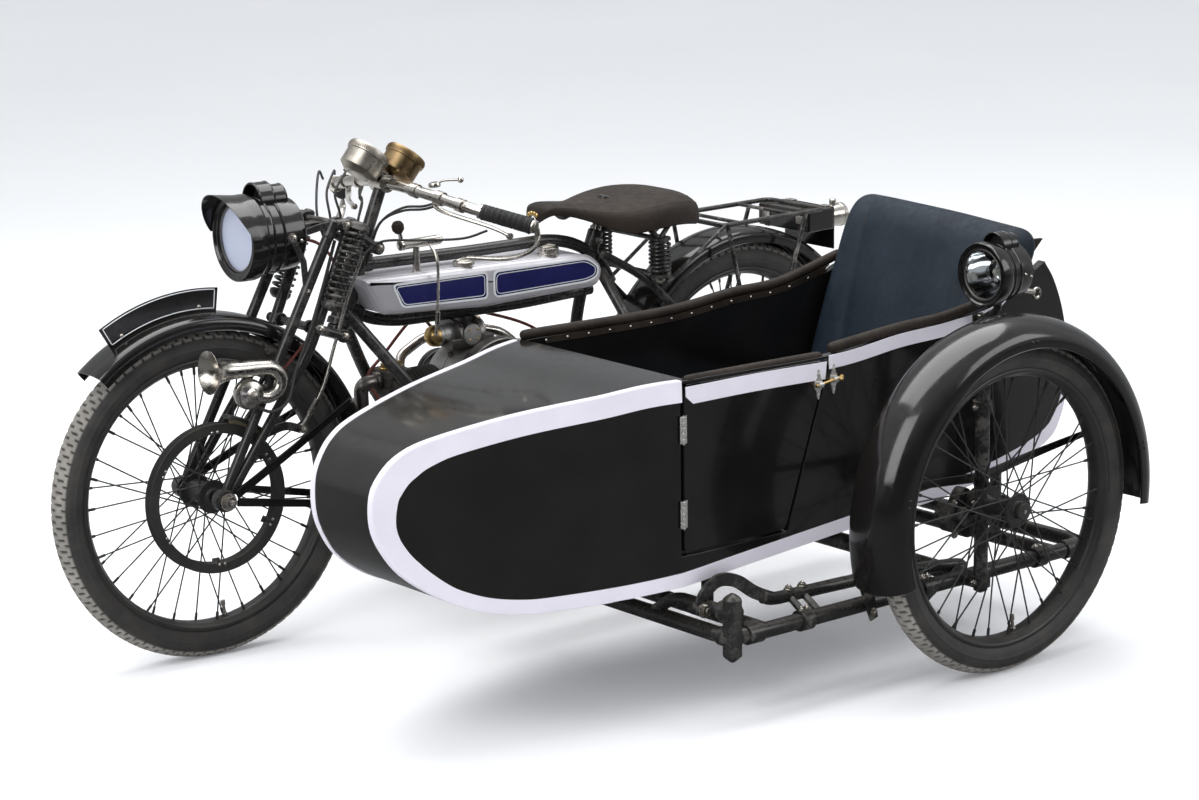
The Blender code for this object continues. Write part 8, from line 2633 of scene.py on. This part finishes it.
    @staticmethod
    def part_round(outline: Array, begin: int, end: int) -> Array:
        """Part of a closed outline from one of its points round the nose to another.

        It goes with the outline's order where that leads ahead, and against it otherwise.
        """
        count = len(outline)
        ahead = outline[(begin + 3) % count, 0] > outline[begin, 0]
        step = 1 if ahead else -1
        length = (end - begin) * step % count + 1
        return outline[(begin + step * np.arange(length)) % count]

    def deck_bands(self) -> None:
        """Narrow silver mouldings on both edges of the deck, run round the whole nose."""
        outline = self.outline()
        x, z = outline.T
        wanted = ((x > 0.962) & (z > 0.47)) | (x > 1.08)
        first = int(np.argmax(wanted & ~np.roll(wanted, 1)))
        deck = evenly(np.roll(outline, -first, axis=0)[: int(wanted.sum())], 90)
        if deck[0, 1] < deck[-1, 1]:
            deck = deck[::-1]
        runs = unit(np.gradient(deck, axis=0))
        out = np.stack((-runs[:, 1], runs[:, 0]), axis=1)
        out *= np.sign((out * (deck - (1.0, 0.42))).sum())
        inset_share = np.clip((deck[:, 0] - 1.08) / 0.10 + np.where(deck[:, 1] > 0.40, 9.0, 0.0), 0.04, 1.0)
        strips = []
        for side in (1, -1):
            rows = []
            for inset, lift in ((0.0, -0.001), (0.0, 0.0014), (0.014, 0.0014), (0.014, -0.001)):
                y = BODY_CENTRE_Y + side * (body_half_at(deck[:, 0]) - inset * inset_share)
                rows.append(np.stack((deck[:, 0] + out[:, 0] * lift, y, deck[:, 1] + out[:, 1] * lift),
                                     axis=1))
            strips.append(grid(np.stack(rows, axis=1)))
        self.shop.piece("deck_bands", strips, BAND_SILVER, bevel=0.0004, smooth=25)

    def door(self) -> None:
        """Door: its panel with a silver top band, two nickel hinges and the latch."""
        side = BODY_CENTRE_Y + BODY_SIDE
        panel = side_points(DOOR_OUTLINE)
        flat = rounded(panel, 0.012, 5)
        self.shop.piece("door_panel", prism(flat, side - WALL, side), BLACK, "door", ("sidecar_door",),
                        bevel=0.0022)
        front, rear = panel[1], panel[2]
        top = spline(np.array((rear + (0.003, -0.001), (rear + front) / 2 + (0, 0.001),
                               front + (-0.003, -0.001))), 10)
        low = top.copy()
        drop = 0.034 - 0.022 * np.clip((top[:, 0] - 0.940) / 0.018, 0, 1)
        low[:, 1] -= drop
        low[0, 0] += 0.004
        rows = []
        for line, y in ((top, side - 0.001), (top, side + 0.0014), (low, side + 0.0014),
                        (low, side - 0.001)):
            rows.append(np.stack((line[:, 0], np.full(len(line), y), line[:, 1]), axis=1))
        self.shop.piece("door_band", grid(np.stack(rows, axis=1)), BAND_SILVER, "door", bevel=0.0006)
        x = DOOR_HINGE_X
        fixed, moving = [], []
        for z_share in (0.622, 0.298):
            z = BODY_FLOOR_Z + z_share * BODY_HEIGHT
            for k in range(5):
                low_z = z - 0.026 + k * 0.0104
                profile = [(0.0003, 0.0028), (0.0009, 0.0034), (0.0095, 0.0034), (0.0101, 0.0028)]
                fixed.append(lathe(profile, (x, side + 0.0040, low_z), (0, 0, 1), 20))
            fixed.append(rods((x, side + 0.0040, z - 0.028), (x, side + 0.0040, z + 0.028), 0.0020, 12))
            fixed.append(block((x + 0.0028, side + 0.0006, z), (0.0028, 0.0007, 0.026)))
            moving.append(block((x - 0.0085, side + 0.0006, z), (0.0020, 0.0007, 0.026)))
        self.shop.piece("door_hinge_fixed", fixed, BRIGHT_NICKEL, "outfit", bevel=0.0003)
        self.shop.piece("door_hinge_leaves", moving, BRIGHT_NICKEL, "door", bevel=0.0003)
        self.latch(side)

    def latch(self, side: float) -> None:
        """Bolt latch: lobed plates on the door and the body, and a brass bolt through both."""
        latch = body_at(0.4238, 0.686, side)
        angle = np.linspace(0, 2 * math.pi, 49)[:-1]
        lobes = 0.0062 + 0.0034 * np.cos(2 * angle) ** 2
        plate = np.stack((np.cos(angle) * lobes * 1.05, np.sin(angle) * lobes * 3.1), axis=1)
        shapes, keeper = [], []
        for target, x, z in ((shapes, 0.006, 0.001), (keeper, -0.0340, 0.006)):
            spot = latch + (x, 0, z)
            target.append(prism(plate + spot[[0, 2]], side - 0.0005, side + 0.0030))
            target.append(rods(spot + (-0.0055, 0.0070, -0.0006), spot + (0.0055, 0.0070, 0.0006),
                               0.0062, 20))
            target.append(block(spot + (0, 0.0042, 0), (0.0045, 0.0030, 0.0050)))
            heads = path_of([spot + (0, 0.0030, d) for d in (-0.0215, 0.0215)])
            target.append(round_heads(heads, (0, 1, 0), 0.0026, 0.0016))
        self.shop.piece("door_latch_plate", shapes, BRIGHT_NICKEL, "door", ("door_latch",), bevel=0.0005)
        run = np.array((-1.0, 0, 0.125))
        first = latch + (0.016, 0.0070, -0.0002)
        bolt = [rods(first, first + run * 0.064, 0.0030, 16)]
        ball = np.linspace(-math.pi / 2, math.pi / 2, 9)
        knob = np.stack((np.sin(ball) * 0.0050, np.maximum(np.cos(ball), 0.03) * 0.0050), axis=1)
        bolt.append(lathe(knob, first + run * 0.066, run, 22))
        bolt.append(rods(first + run * 0.052 + (0, -0.001, 0), first + run * 0.052 + (0, 0.014, 0.002),
                         0.0022, 12))
        bolt.append(lathe(knob * 0.8, first + run * 0.052 + (0, 0.015, 0.002), (0, 1, 0), 18))
        self.shop.piece("door_latch_bolt", bolt, BRASS, "door")
        self.shop.piece("door_latch_keeper", keeper, BRIGHT_NICKEL, "outfit", bevel=0.0005)

    def rolls(self) -> None:
        """Padded leather rolls along the cockpit's sides and the door, and a studded strip under the far one.

        The roll swells a little between its studs, by a cosine along its length.
        """
        inset = BODY_SIDE - WALL / 2
        lift = np.array((0, 0, 0.0080))
        far_shares = ((0.1024, 0.91), (0.2091, 0.833), (0.2945, 0.823), (0.4098, 0.795), (0.6290, 0.806))
        near_shares = ((0.1189, 0.877), (0.2091, 0.833), (0.2945, 0.823), (0.4050, 0.797))
        door_shares = ((0.4170, 0.776), (0.5200, 0.782), (0.6290, 0.787))
        runs = (("coaming_far_roll", far_shares, -inset, 0.0110, "outfit", ("coaming_far",)),
                ("coaming_near_roll", near_shares, inset, 0.0110, "outfit", ("coaming_near",)),
                ("door_top_roll", door_shares, inset - 0.001, 0.0092, "door", ()))
        for name, shares, y, radius, body, nodes in runs:
            path = spline(path_of([body_at(a, b, BODY_CENTRE_Y + y) + lift for a, b in shares]), 12)
            line = evenly(path, 200)
            s = np.linspace(0, 1, len(line))
            length = float(np.linalg.norm(np.diff(line, axis=0), axis=1).sum())
            swell = radius * (1 - 0.45 * np.exp(-np.minimum(s, 1 - s) * length / 0.004))
            swell *= 1.0 - 0.020 * np.cos(s * length / 0.030 * 2 * math.pi) ** 6
            roll = self.shop.piece(name, sweep(line, swell, 18, up=(0, 0, 1)), BROWN_HIDE, body, nodes,
                                   smooth=70, subdivide=1)
        line = evenly(spline(path_of([body_at(a, b, BODY_CENTRE_Y - inset) for a, b in far_shares]), 12),
                      17)[1:-1]
        inner = line + (0, WALL / 2 + 0.0012, -0.0065)
        strip_line = evenly(inner, 120)
        section = oblong(0.0007, 0.0065)
        self.shop.piece("coaming_strip", sweep(strip_line, 1.0, section=section, up=(0, 0, 1)),
                        BROWN_HIDE, bevel=0.0003)
        self.shop.piece("coaming_studs", round_heads(inner + (0, 0.0008, 0), (0, 1, 0), 0.0030, 0.0022),
                        NICKEL)


def pillow(loop: Array, low: float, high: float, edge: float, swell: float, columns: int = 40) -> Array:
    """Points of a stuffed pad: an outline taken across, drawn in near both ends and swollen between them.

    Each column is the outline drawn towards its middle by an inset that follows a quarter circle near
    the ends, and moved outwards by the swell times a sine across the width.

    Args:
        loop: closed (x, z) outline.
        low: where the pad starts across.
        high: where it ends.
        edge: radius of its side edges.
        swell: how far its middle stands proud.
        columns: points across.

    Returns:
        Points in columns across and rows round the outline.
    """
    runs = unit(np.roll(loop, -1, 0) - np.roll(loop, 1, 0))
    inward = np.stack((-runs[:, 1], runs[:, 0]), axis=1)
    inward *= np.sign((inward * (loop.mean(axis=0) - loop)).sum(axis=1).mean())
    share = (1 - np.cos(np.linspace(0, math.pi, columns))) / 2
    y = low + (high - low) * share
    near = np.clip(np.minimum(y - low, high - y) / edge, 0.0, 1.0)
    inset = edge * 0.75 * (1 - np.sqrt(np.clip(1 - (1 - near) ** 2, 0, 1)))
    push = inset[:, None] - swell * np.sin(share * math.pi)[:, None] ** 0.7
    points = loop[None] + inward[None] * push[..., None]
    return np.stack((points[..., 0], np.broadcast_to(y[:, None], points.shape[:2]), points[..., 1]),
                    axis=-1)


@dataclass
class Upholstery:
    """Squab and cushion of the sidecar's seat, in seamed leather."""

    shop: Workshop
    low: float = 0.458
    high: float = 0.902

    def build(self) -> None:
        """Makes the squab with its seams and the cushion."""
        self.squab()
        self.cushion()

    def squab(self) -> None:
        """Squab: blue leather drawn over its rolled top, with two seams up its face and a dark gusset."""
        shares = ((0.1710, 0.46), (0.1756, 0.52), (0.1640, 0.64), (0.1480, 0.79), (0.1320, 0.93),
                  (0.1180, 1.05), (0.1060, 1.13), (0.0900, 1.180), (0.0720, 1.190),
                  (0.0590, 1.165), (0.0560, 1.10), (0.0700, 0.98), (0.0884, 0.79), (0.1080, 0.60),
                  (0.1210, 0.46))
        loop = evenly(spline(side_points(shares), 10, closed=True), 150, closed=True)
        rows = pillow(loop, self.low, self.high, 0.028, 0.005, 60)
        ripple = 0.0009 * np.sin(rows[..., 1] * 31 + rows[..., 2] * 9) * np.sin(rows[..., 2] * 23 + 1.3)
        away = [rows[..., 1] - self.seam_y(side, rows[..., 2]) for side in (-1, 1)]
        groove = sum(0.0035 * np.exp(-((distance / 0.010) ** 2)) for distance in away)
        rows[..., 0] += ripple - groove * (rows[..., 0] > 0.06)
        rows = self.lean(rows)
        squab = self.shop.piece("squab_leather", grid(rows), BLUE_HIDE, "outfit", ("seat_squab",),
                                smooth=70, subdivide=1)
        face = loop[: int(len(loop) * 0.60)]
        face = face[face[:, 1] > 0.50]
        runs = unit(np.gradient(face, axis=0))
        out = np.stack((runs[:, 1], -runs[:, 0]), axis=1)
        out *= np.sign((out * (face - loop.mean(axis=0))).sum(axis=1).mean())
        seams = []
        for side in (-1, 1):
            spot = face - out * 0.0012
            line = self.lean(np.stack((spot[:, 0], self.seam_y(side, spot[:, 1]), spot[:, 1]), axis=1))
            seams.append(sweep(evenly(line, 120), 0.0014, 8, up=(0, 1, 0)))
        self.shop.piece("squab_seams", seams, BROWN_HIDE)
        gusset = np.array(((0.050, 0.792), (-0.020, 0.788), (0.034, 0.738)))
        self.shop.piece("squab_gusset", prism(gusset, self.high + 0.004, self.high + 0.014), BROWN_HIDE,
                        bevel=0.002)

    def seam_y(self, side: int, z: Array) -> Array:
        """Where a seam stands across the squab: the two draw apart evenly from its foot to its top."""
        rise = np.clip((z - 0.50) / 0.32, 0.0, 1.0)
        return (self.low + self.high) / 2 + side * (self.high - self.low) * (0.275 + 0.085 * rise)

    def lean(self, points: Array) -> Array:
        """Squab points with its top let down towards the near side and widened over the body's edge."""
        across = np.clip((points[..., 1] - self.low) / (self.high - self.low), 0.0, 1.0)
        rise = np.clip((points[..., 2] - 0.60) / 0.20, 0.0, 1.0)
        rise = rise * rise * (3 - 2 * rise)
        above = np.clip((points[..., 2] - 0.715) / 0.05, 0.0, 1.0)
        moved = points.copy()
        moved[..., 2] -= rise * (0.008 + 0.020 * across)
        moved[..., 1] += above * 0.030 * across**3
        return moved

    def cushion(self) -> None:
        """Seat cushion: a stuffed slab whose outline is taken across and drawn in at both ends."""
        loop = side_points(((0.1878, 0.2478), (0.4165, 0.2148), (0.4275, 0.30), (0.4165, 0.385),
                            (0.33, 0.425), (0.2335, 0.425), (0.1939, 0.40)))
        loop = evenly(spline(loop, 10, closed=True), 110, closed=True)
        rows = pillow(loop, self.low, self.high, 0.032, 0.004, 46)
        pad = self.shop.piece("cushion_leather", grid(rows), BLUE_HIDE, "outfit", ("seat_cushion",),
                              smooth=60, subdivide=1)


CHASSIS_Z = at(0, 0, -0.1157)[2]
CHASSIS_FRONT = 0.6607 * WHEELBASE
CHASSIS_REAR = -0.0321 * WHEELBASE
CHASSIS_OUTER = 1.025
CHASSIS_INNER = 0.345
STRUT_Y = 1.066
BODY_UNDERSIDE = ((-0.066, 0.001, 0.227, 0.491, 0.819, 1.068), (0.419, 0.359, 0.311, 0.298, 0.276, 0.257))


@dataclass
class Chassis:
    """Sidecar chassis with its wheel strut, axle, mounts, swan neck and the ties to the motorcycle."""

    shop: Workshop
    axle: Array

    def build(self) -> None:
        """Makes the tubes, the fittings and the side lamp's post."""
        self.tubes()
        self.fittings()
        self.lamp_post()

    def tubes(self) -> None:
        """Frame of the chassis as round tubes, with the strut, axle, body mounts and ties."""
        level, front, rear, out, inn = CHASSIS_Z, CHASSIS_FRONT, CHASSIS_REAR, CHASSIS_OUTER, CHASSIS_INNER
        ring = path_of([(front, out, level), (rear, out, level), (rear, inn, level), (front, inn, level)])
        shapes = [sweep(evenly(rounded(ring, 0.05, 7), 200, closed=True), 0.0155, 22, up=(0, 0, 1),
                        closed=True)]
        x = self.axle[0]
        shapes.append(rods((x, inn, level), (x, STRUT_Y, level), 0.0175, 24))
        for x_end in (0.6 * WHEELBASE, 0.0357 * WHEELBASE):
            shapes.append(rods((x_end, inn, level), (x_end, out, level), 0.0145, 20))
            for y in (0.50, 0.86):
                top = float(np.interp(x_end, *BODY_UNDERSIDE))
                shapes.append(rods((x_end, y, level), (x_end, y, top - 0.0015), 0.012, 18))
                shapes.append(lathe([(0, 0.0125), (0.006, 0.0125), (0.010, 0.021), (0.0135, 0.021)],
                                    (x_end, y, top - 0.0150), (0, 0, 1), 24))
        for shares, reach in ((((0.6607, 0.2464, -0.1157), (0.5714, 0.1429, -0.0771),
                                (0.5143, 0.0629, -0.03)), 0.05),
                              (((-0.0321, 0.2464, -0.1157), (0.0143, 0.1786, -0.0929),
                                (0.0714, 0.07, -0.0107)), 0.05),
                              (((0.3, 0.2464, -0.1157), (0.2857, 0.2143, 0.0214),
                                (0.2893, 0.0214, 0.2321)), 0.056)):
            shapes.append(sweep(bend(path_of([at(*s) for s in shares]), reach, 8), 0.012, 20))
        strut_low, strut_high = at(0, 0, -0.1286)[2], at(0, 0, 0.2393)[2]
        cap = [(-0.006, 0.003), (-0.002, 0.011), (0.0, 0.0140), (strut_high - strut_low - 0.010, 0.0140),
               (strut_high - strut_low - 0.004, 0.010), (strut_high - strut_low, 0.004)]
        shapes.append(lathe(cap, (x, STRUT_Y, strut_low), (0, 0, 1), 28))
        boss = [(-0.0200, 0.020), (-0.018, 0.024), (0.012, 0.024), (0.014, 0.020)]
        shapes.append(lathe(boss, self.axle * (1, 0, 1) + (0, STRUT_Y, 0), (0, 1, 0), 32))
        shapes.append(rods(self.axle * (1, 0, 1) + (0, STRUT_Y, 0), self.axle + (0, 0.052, 0), 0.0078, 18))
        self.shop.piece("chassis_tubes", shapes, FRAME_BLACK, "outfit", ("sidecar_chassis",), bevel=0.0006)
        end = self.axle + (0, 0.0415, 0)
        self.shop.piece("side_axle_nut", bolt_heads(end, (0, 1, 0), 0.0125, 0.010), NICKEL)
        cap = [(0, 0.0165), (0.002, 0.0175), (0.010, 0.0175), (0.012, 0.0155), (0.013, 0.0005)]
        self.shop.piece("side_hub_cap", lathe(cap, self.axle + (0, 0.0445, 0), (0, 1, 0), 40),
                        SPOKE_BLACK, "sidecar_wheel")

    def fittings(self) -> None:
        """Front post with its upper arm, swan neck, inner rail, guard plate, axle clamp, collars and nuts."""
        level, front, out = CHASSIS_Z, CHASSIS_FRONT, CHASSIS_OUTER
        shapes, nuts = [], []
        post = [(-0.010, 0.0005), (-0.009, 0.004), (0.0, 0.0150), (0.004, 0.0185), (0.112, 0.0185),
                (0.118, 0.0130), (0.124, 0.004), (0.1245, 0.0005)]
        shapes.append(lathe(post, (front, out, level - 0.036), (0, 0, 1), 10))
        for z in (level, 0.218):
            shapes.append(rods((front, out - 0.030, z), (front, out + 0.012, z), 0.0185, 20))
        upper = bend(path_of([(front - 0.002, 0.80, level + 0.004), (front - 0.004, 0.862, 0.214),
                              (front, out, 0.218)]), 0.03, 7)
        shapes.append(sweep(upper, 0.0115, 18))
        neck = spline(path_of([(0.936, 0.952, 0.212), (0.932, 0.954, 0.238), (0.902, 0.960, 0.262),
                               (0.862, 0.965, 0.255), (0.820, 0.970, 0.226), (0.775, 0.972, 0.205)]), 8)
        section = oblong(1, 0.3)
        shapes.append(sweep(neck, 0.0125, section=section, up=(0, 1, 0)))
        rail = spline(path_of([(0.800, 0.971, 0.212), (0.770, 0.972, 0.204), (0.70, 0.975, 0.203),
                               (0.50, 0.985, 0.200), (0.30, 0.995, 0.185),
                               (self.axle[0] + 0.012, 1.0, 0.172)]), 8)
        shapes.append(sweep(rail, 0.0125, 18))
        shapes.append(rods((0.936, 0.935, 0.212), (0.936, 0.962, 0.212), 0.0150, 22))
        for x in (0.700, 0.735):
            shapes.append(rods((x, 0.974, 0.203), (x, out, level + 0.004), 0.0075, 12))
        plate = np.array(((0.574, 0.146), (0.592, 0.140), (0.618, 0.205), (0.624, 0.276), (0.606, 0.284),
                          (0.592, 0.230)))
        shapes.append(prism(plate, 1.0475, 1.0525))
        shapes.append(rods((0.585, out, level), (0.585, 1.050, level), 0.0105, 16))
        nuts += [bolt_heads(spot, (0, 1, 0), 0.0062, 0.005) for spot in ((0.609, 1.0525, 0.268),
                                                                         (0.603, 1.0525, 0.221),
                                                                         (0.586, 1.0525, 0.158))]
        turn = np.linspace(0, 2 * math.pi, 73)[:-1]
        lobes = 0.036 + 0.009 * np.cos(3 * turn + 0.6)
        ring = np.stack((self.axle[0] + 0.028 + np.cos(turn) * lobes,
                         0.300 + np.sin(turn) * lobes * 1.25), axis=1)
        shapes.append(prism(ring, 1.0180, 1.0420))
        shapes.append(rods((self.axle[0] + 0.028, 0.985, 0.300), (self.axle[0] + 0.028, 1.056, 0.300),
                           0.0200, 26))
        nuts += [bolt_heads((self.axle[0] + 0.028 + dx, 1.042, 0.300 + dz), (0, 1, 0), 0.0058,
                            0.005) for dx, dz in ((0.024, 0.030), (0.022, -0.034), (-0.030, 0.006))]
        for x in (0.743, 0.42, 0.10):
            shapes.append(lathe([(-0.014, 0.0160), (-0.014, 0.0205), (0.014, 0.0205), (0.014, 0.0160)],
                                (x, out, level), (1, 0, 0), 26))
            places = path_of([(x + shift, out, level + 0.0205) for shift in (-0.007, 0.007)])
            nuts.append(bolt_heads(places, (0, 0, 1), 0.0052, 0.005))
        for y in (out, CHASSIS_INNER):
            for x in (front, -0.045):
                shapes.append(lathe([(-0.020, 0.0160), (-0.018, 0.0190), (0.018, 0.0190),
                                     (0.020, 0.0160)], (x - math.copysign(0.052, x), y, level),
                                    (1, 0, 0), 26))
        for z in (level, 0.33, 0.52):
            shapes.append(lathe([(-0.012, 0.0145), (-0.011, 0.0195), (0.011, 0.0195), (0.012, 0.0145)],
                                (self.axle[0], STRUT_Y, z), (0, 0, 1), 26))
            nuts.append(bolt_heads((self.axle[0] + 0.0195, STRUT_Y, z), (1, 0, 0), 0.0055, 0.005))
        nuts.append(bolt_heads((0.936, 0.962, 0.212), (0, 1, 0), 0.0110, 0.008))
        nuts += [bolt_heads((x, 0.974, 0.2155), (0, 0, 1), 0.0070, 0.006) for x in (0.700, 0.735)]
        self.shop.piece("chassis_fittings", shapes, FRAME_BLACK, bevel=0.0007)
        self.shop.piece("chassis_nuts", nuts, NICKEL)

    def lamp_post(self) -> None:
        """Side lamp's bent post on the body's side, its nuts, its red wire and the clip behind it."""
        lamp = SIDE_LAMP
        side = BODY_CENTRE_Y + BODY_SIDE
        foot = np.array((lamp[0], side + 0.0083, 0.628))
        post = bend(path_of([foot, foot + (0, 0, 0.024), (lamp[0], lamp[1], 0.680),
                             lamp - (0, 0, 0.050)]), 0.024, 7)
        arm = [sweep(post, 0.0078, 18), block((lamp[0], side + 0.0022, 0.640), (0.014, 0.0022, 0.026)),
               rods(lamp - (0, 0, 0.060), lamp - (0, 0, 0.044), 0.0125, 20)]
        self.shop.piece("side_lamp_post", arm, FRAME_BLACK, bevel=0.0008)
        self.shop.piece("side_lamp_post_nuts",
                        bolt_heads(path_of([(lamp[0], side + 0.0044, z) for z in (0.622, 0.658)]),
                                   (0, 1, 0), 0.0045, 0.004), NICKEL)
        wire = spline(path_of([lamp + (-0.050, 0.004, -0.020), lamp + (-0.066, 0.002, -0.050),
                               (lamp[0] - 0.050, side + 0.030, 0.694),
                               (lamp[0] - 0.038, side + 0.004, 0.655)]), 10)
        self.shop.piece("side_lamp_wire", sweep(wire, 0.0028, 10), RED_WIRE)
        angle = np.linspace(0, 2 * math.pi, 33)[:-1]
        loop = lamp + np.stack((-0.104 + np.cos(angle) * 0.010, np.full(32, 0.006),
                                -0.056 + np.sin(angle) * 0.010), axis=1)
        clip = [sweep(loop, 0.0026, 10, closed=True),
                rods(lamp + (-0.096, 0.006, -0.052), lamp + (-0.040, 0.004, -0.040), 0.0050, 14)]
        self.shop.piece("side_lamp_clip", clip, NICKEL)


def main() -> None:
    """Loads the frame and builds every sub-assembly in order."""
    logging.basicConfig(level=logging.INFO, format="%(message)s")
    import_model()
    low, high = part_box("rear_wheel_tyre")
    middle = (np.array(low) + np.array(high)) / 2
    offset = np.array((middle[0], middle[1], 0.0))
    shop = Workshop(offset, HEAD_POINT, HEAD_AXIS, math.radians(PARKED_STEERING))
    front_axle = np.array((WHEELBASE, 0.0, WHEEL_RADIUS))
    rear_axle = np.array((0.0, 0.0, WHEEL_RADIUS))
    side_axle = np.array((SIDE_WHEEL_LEAD * WHEELBASE, TRACK, WHEEL_RADIUS))
    Studio(offset).build()
    Wheel(shop, "front_wheel", front_axle, 0.150).build()
    Wheel(shop, "rear_wheel", rear_axle, 0.205).build()
    Wheel(shop, "sidecar_wheel", side_axle).build()
    Guards(shop, front_axle, rear_axle, side_axle).build()
    Frame(shop).build()
    Tank(shop).build()
    Saddle(shop).build()
    Engine(shop).build()
    Exhaust(shop).build()
    Drive(shop).build()
    Tail(shop).build()
    Fork(shop, front_axle).build()
    Handlebar(shop).build()
    Lamp(shop, "headlamp", "steering", HEAD_LAMP, 0.086, 0.046, FROSTED).build()
    Lamp(shop, "side_lamp", "outfit", SIDE_LAMP, 0.064, 0.0, GLASS).build()
    FrontFittings(shop, front_axle).build()
    SidecarBody(shop).build()
    Upholstery(shop).build()
    Chassis(shop, side_axle).build()
    log.info("%d pieces made", shop.made)


if __name__ == "__main__":
    main()
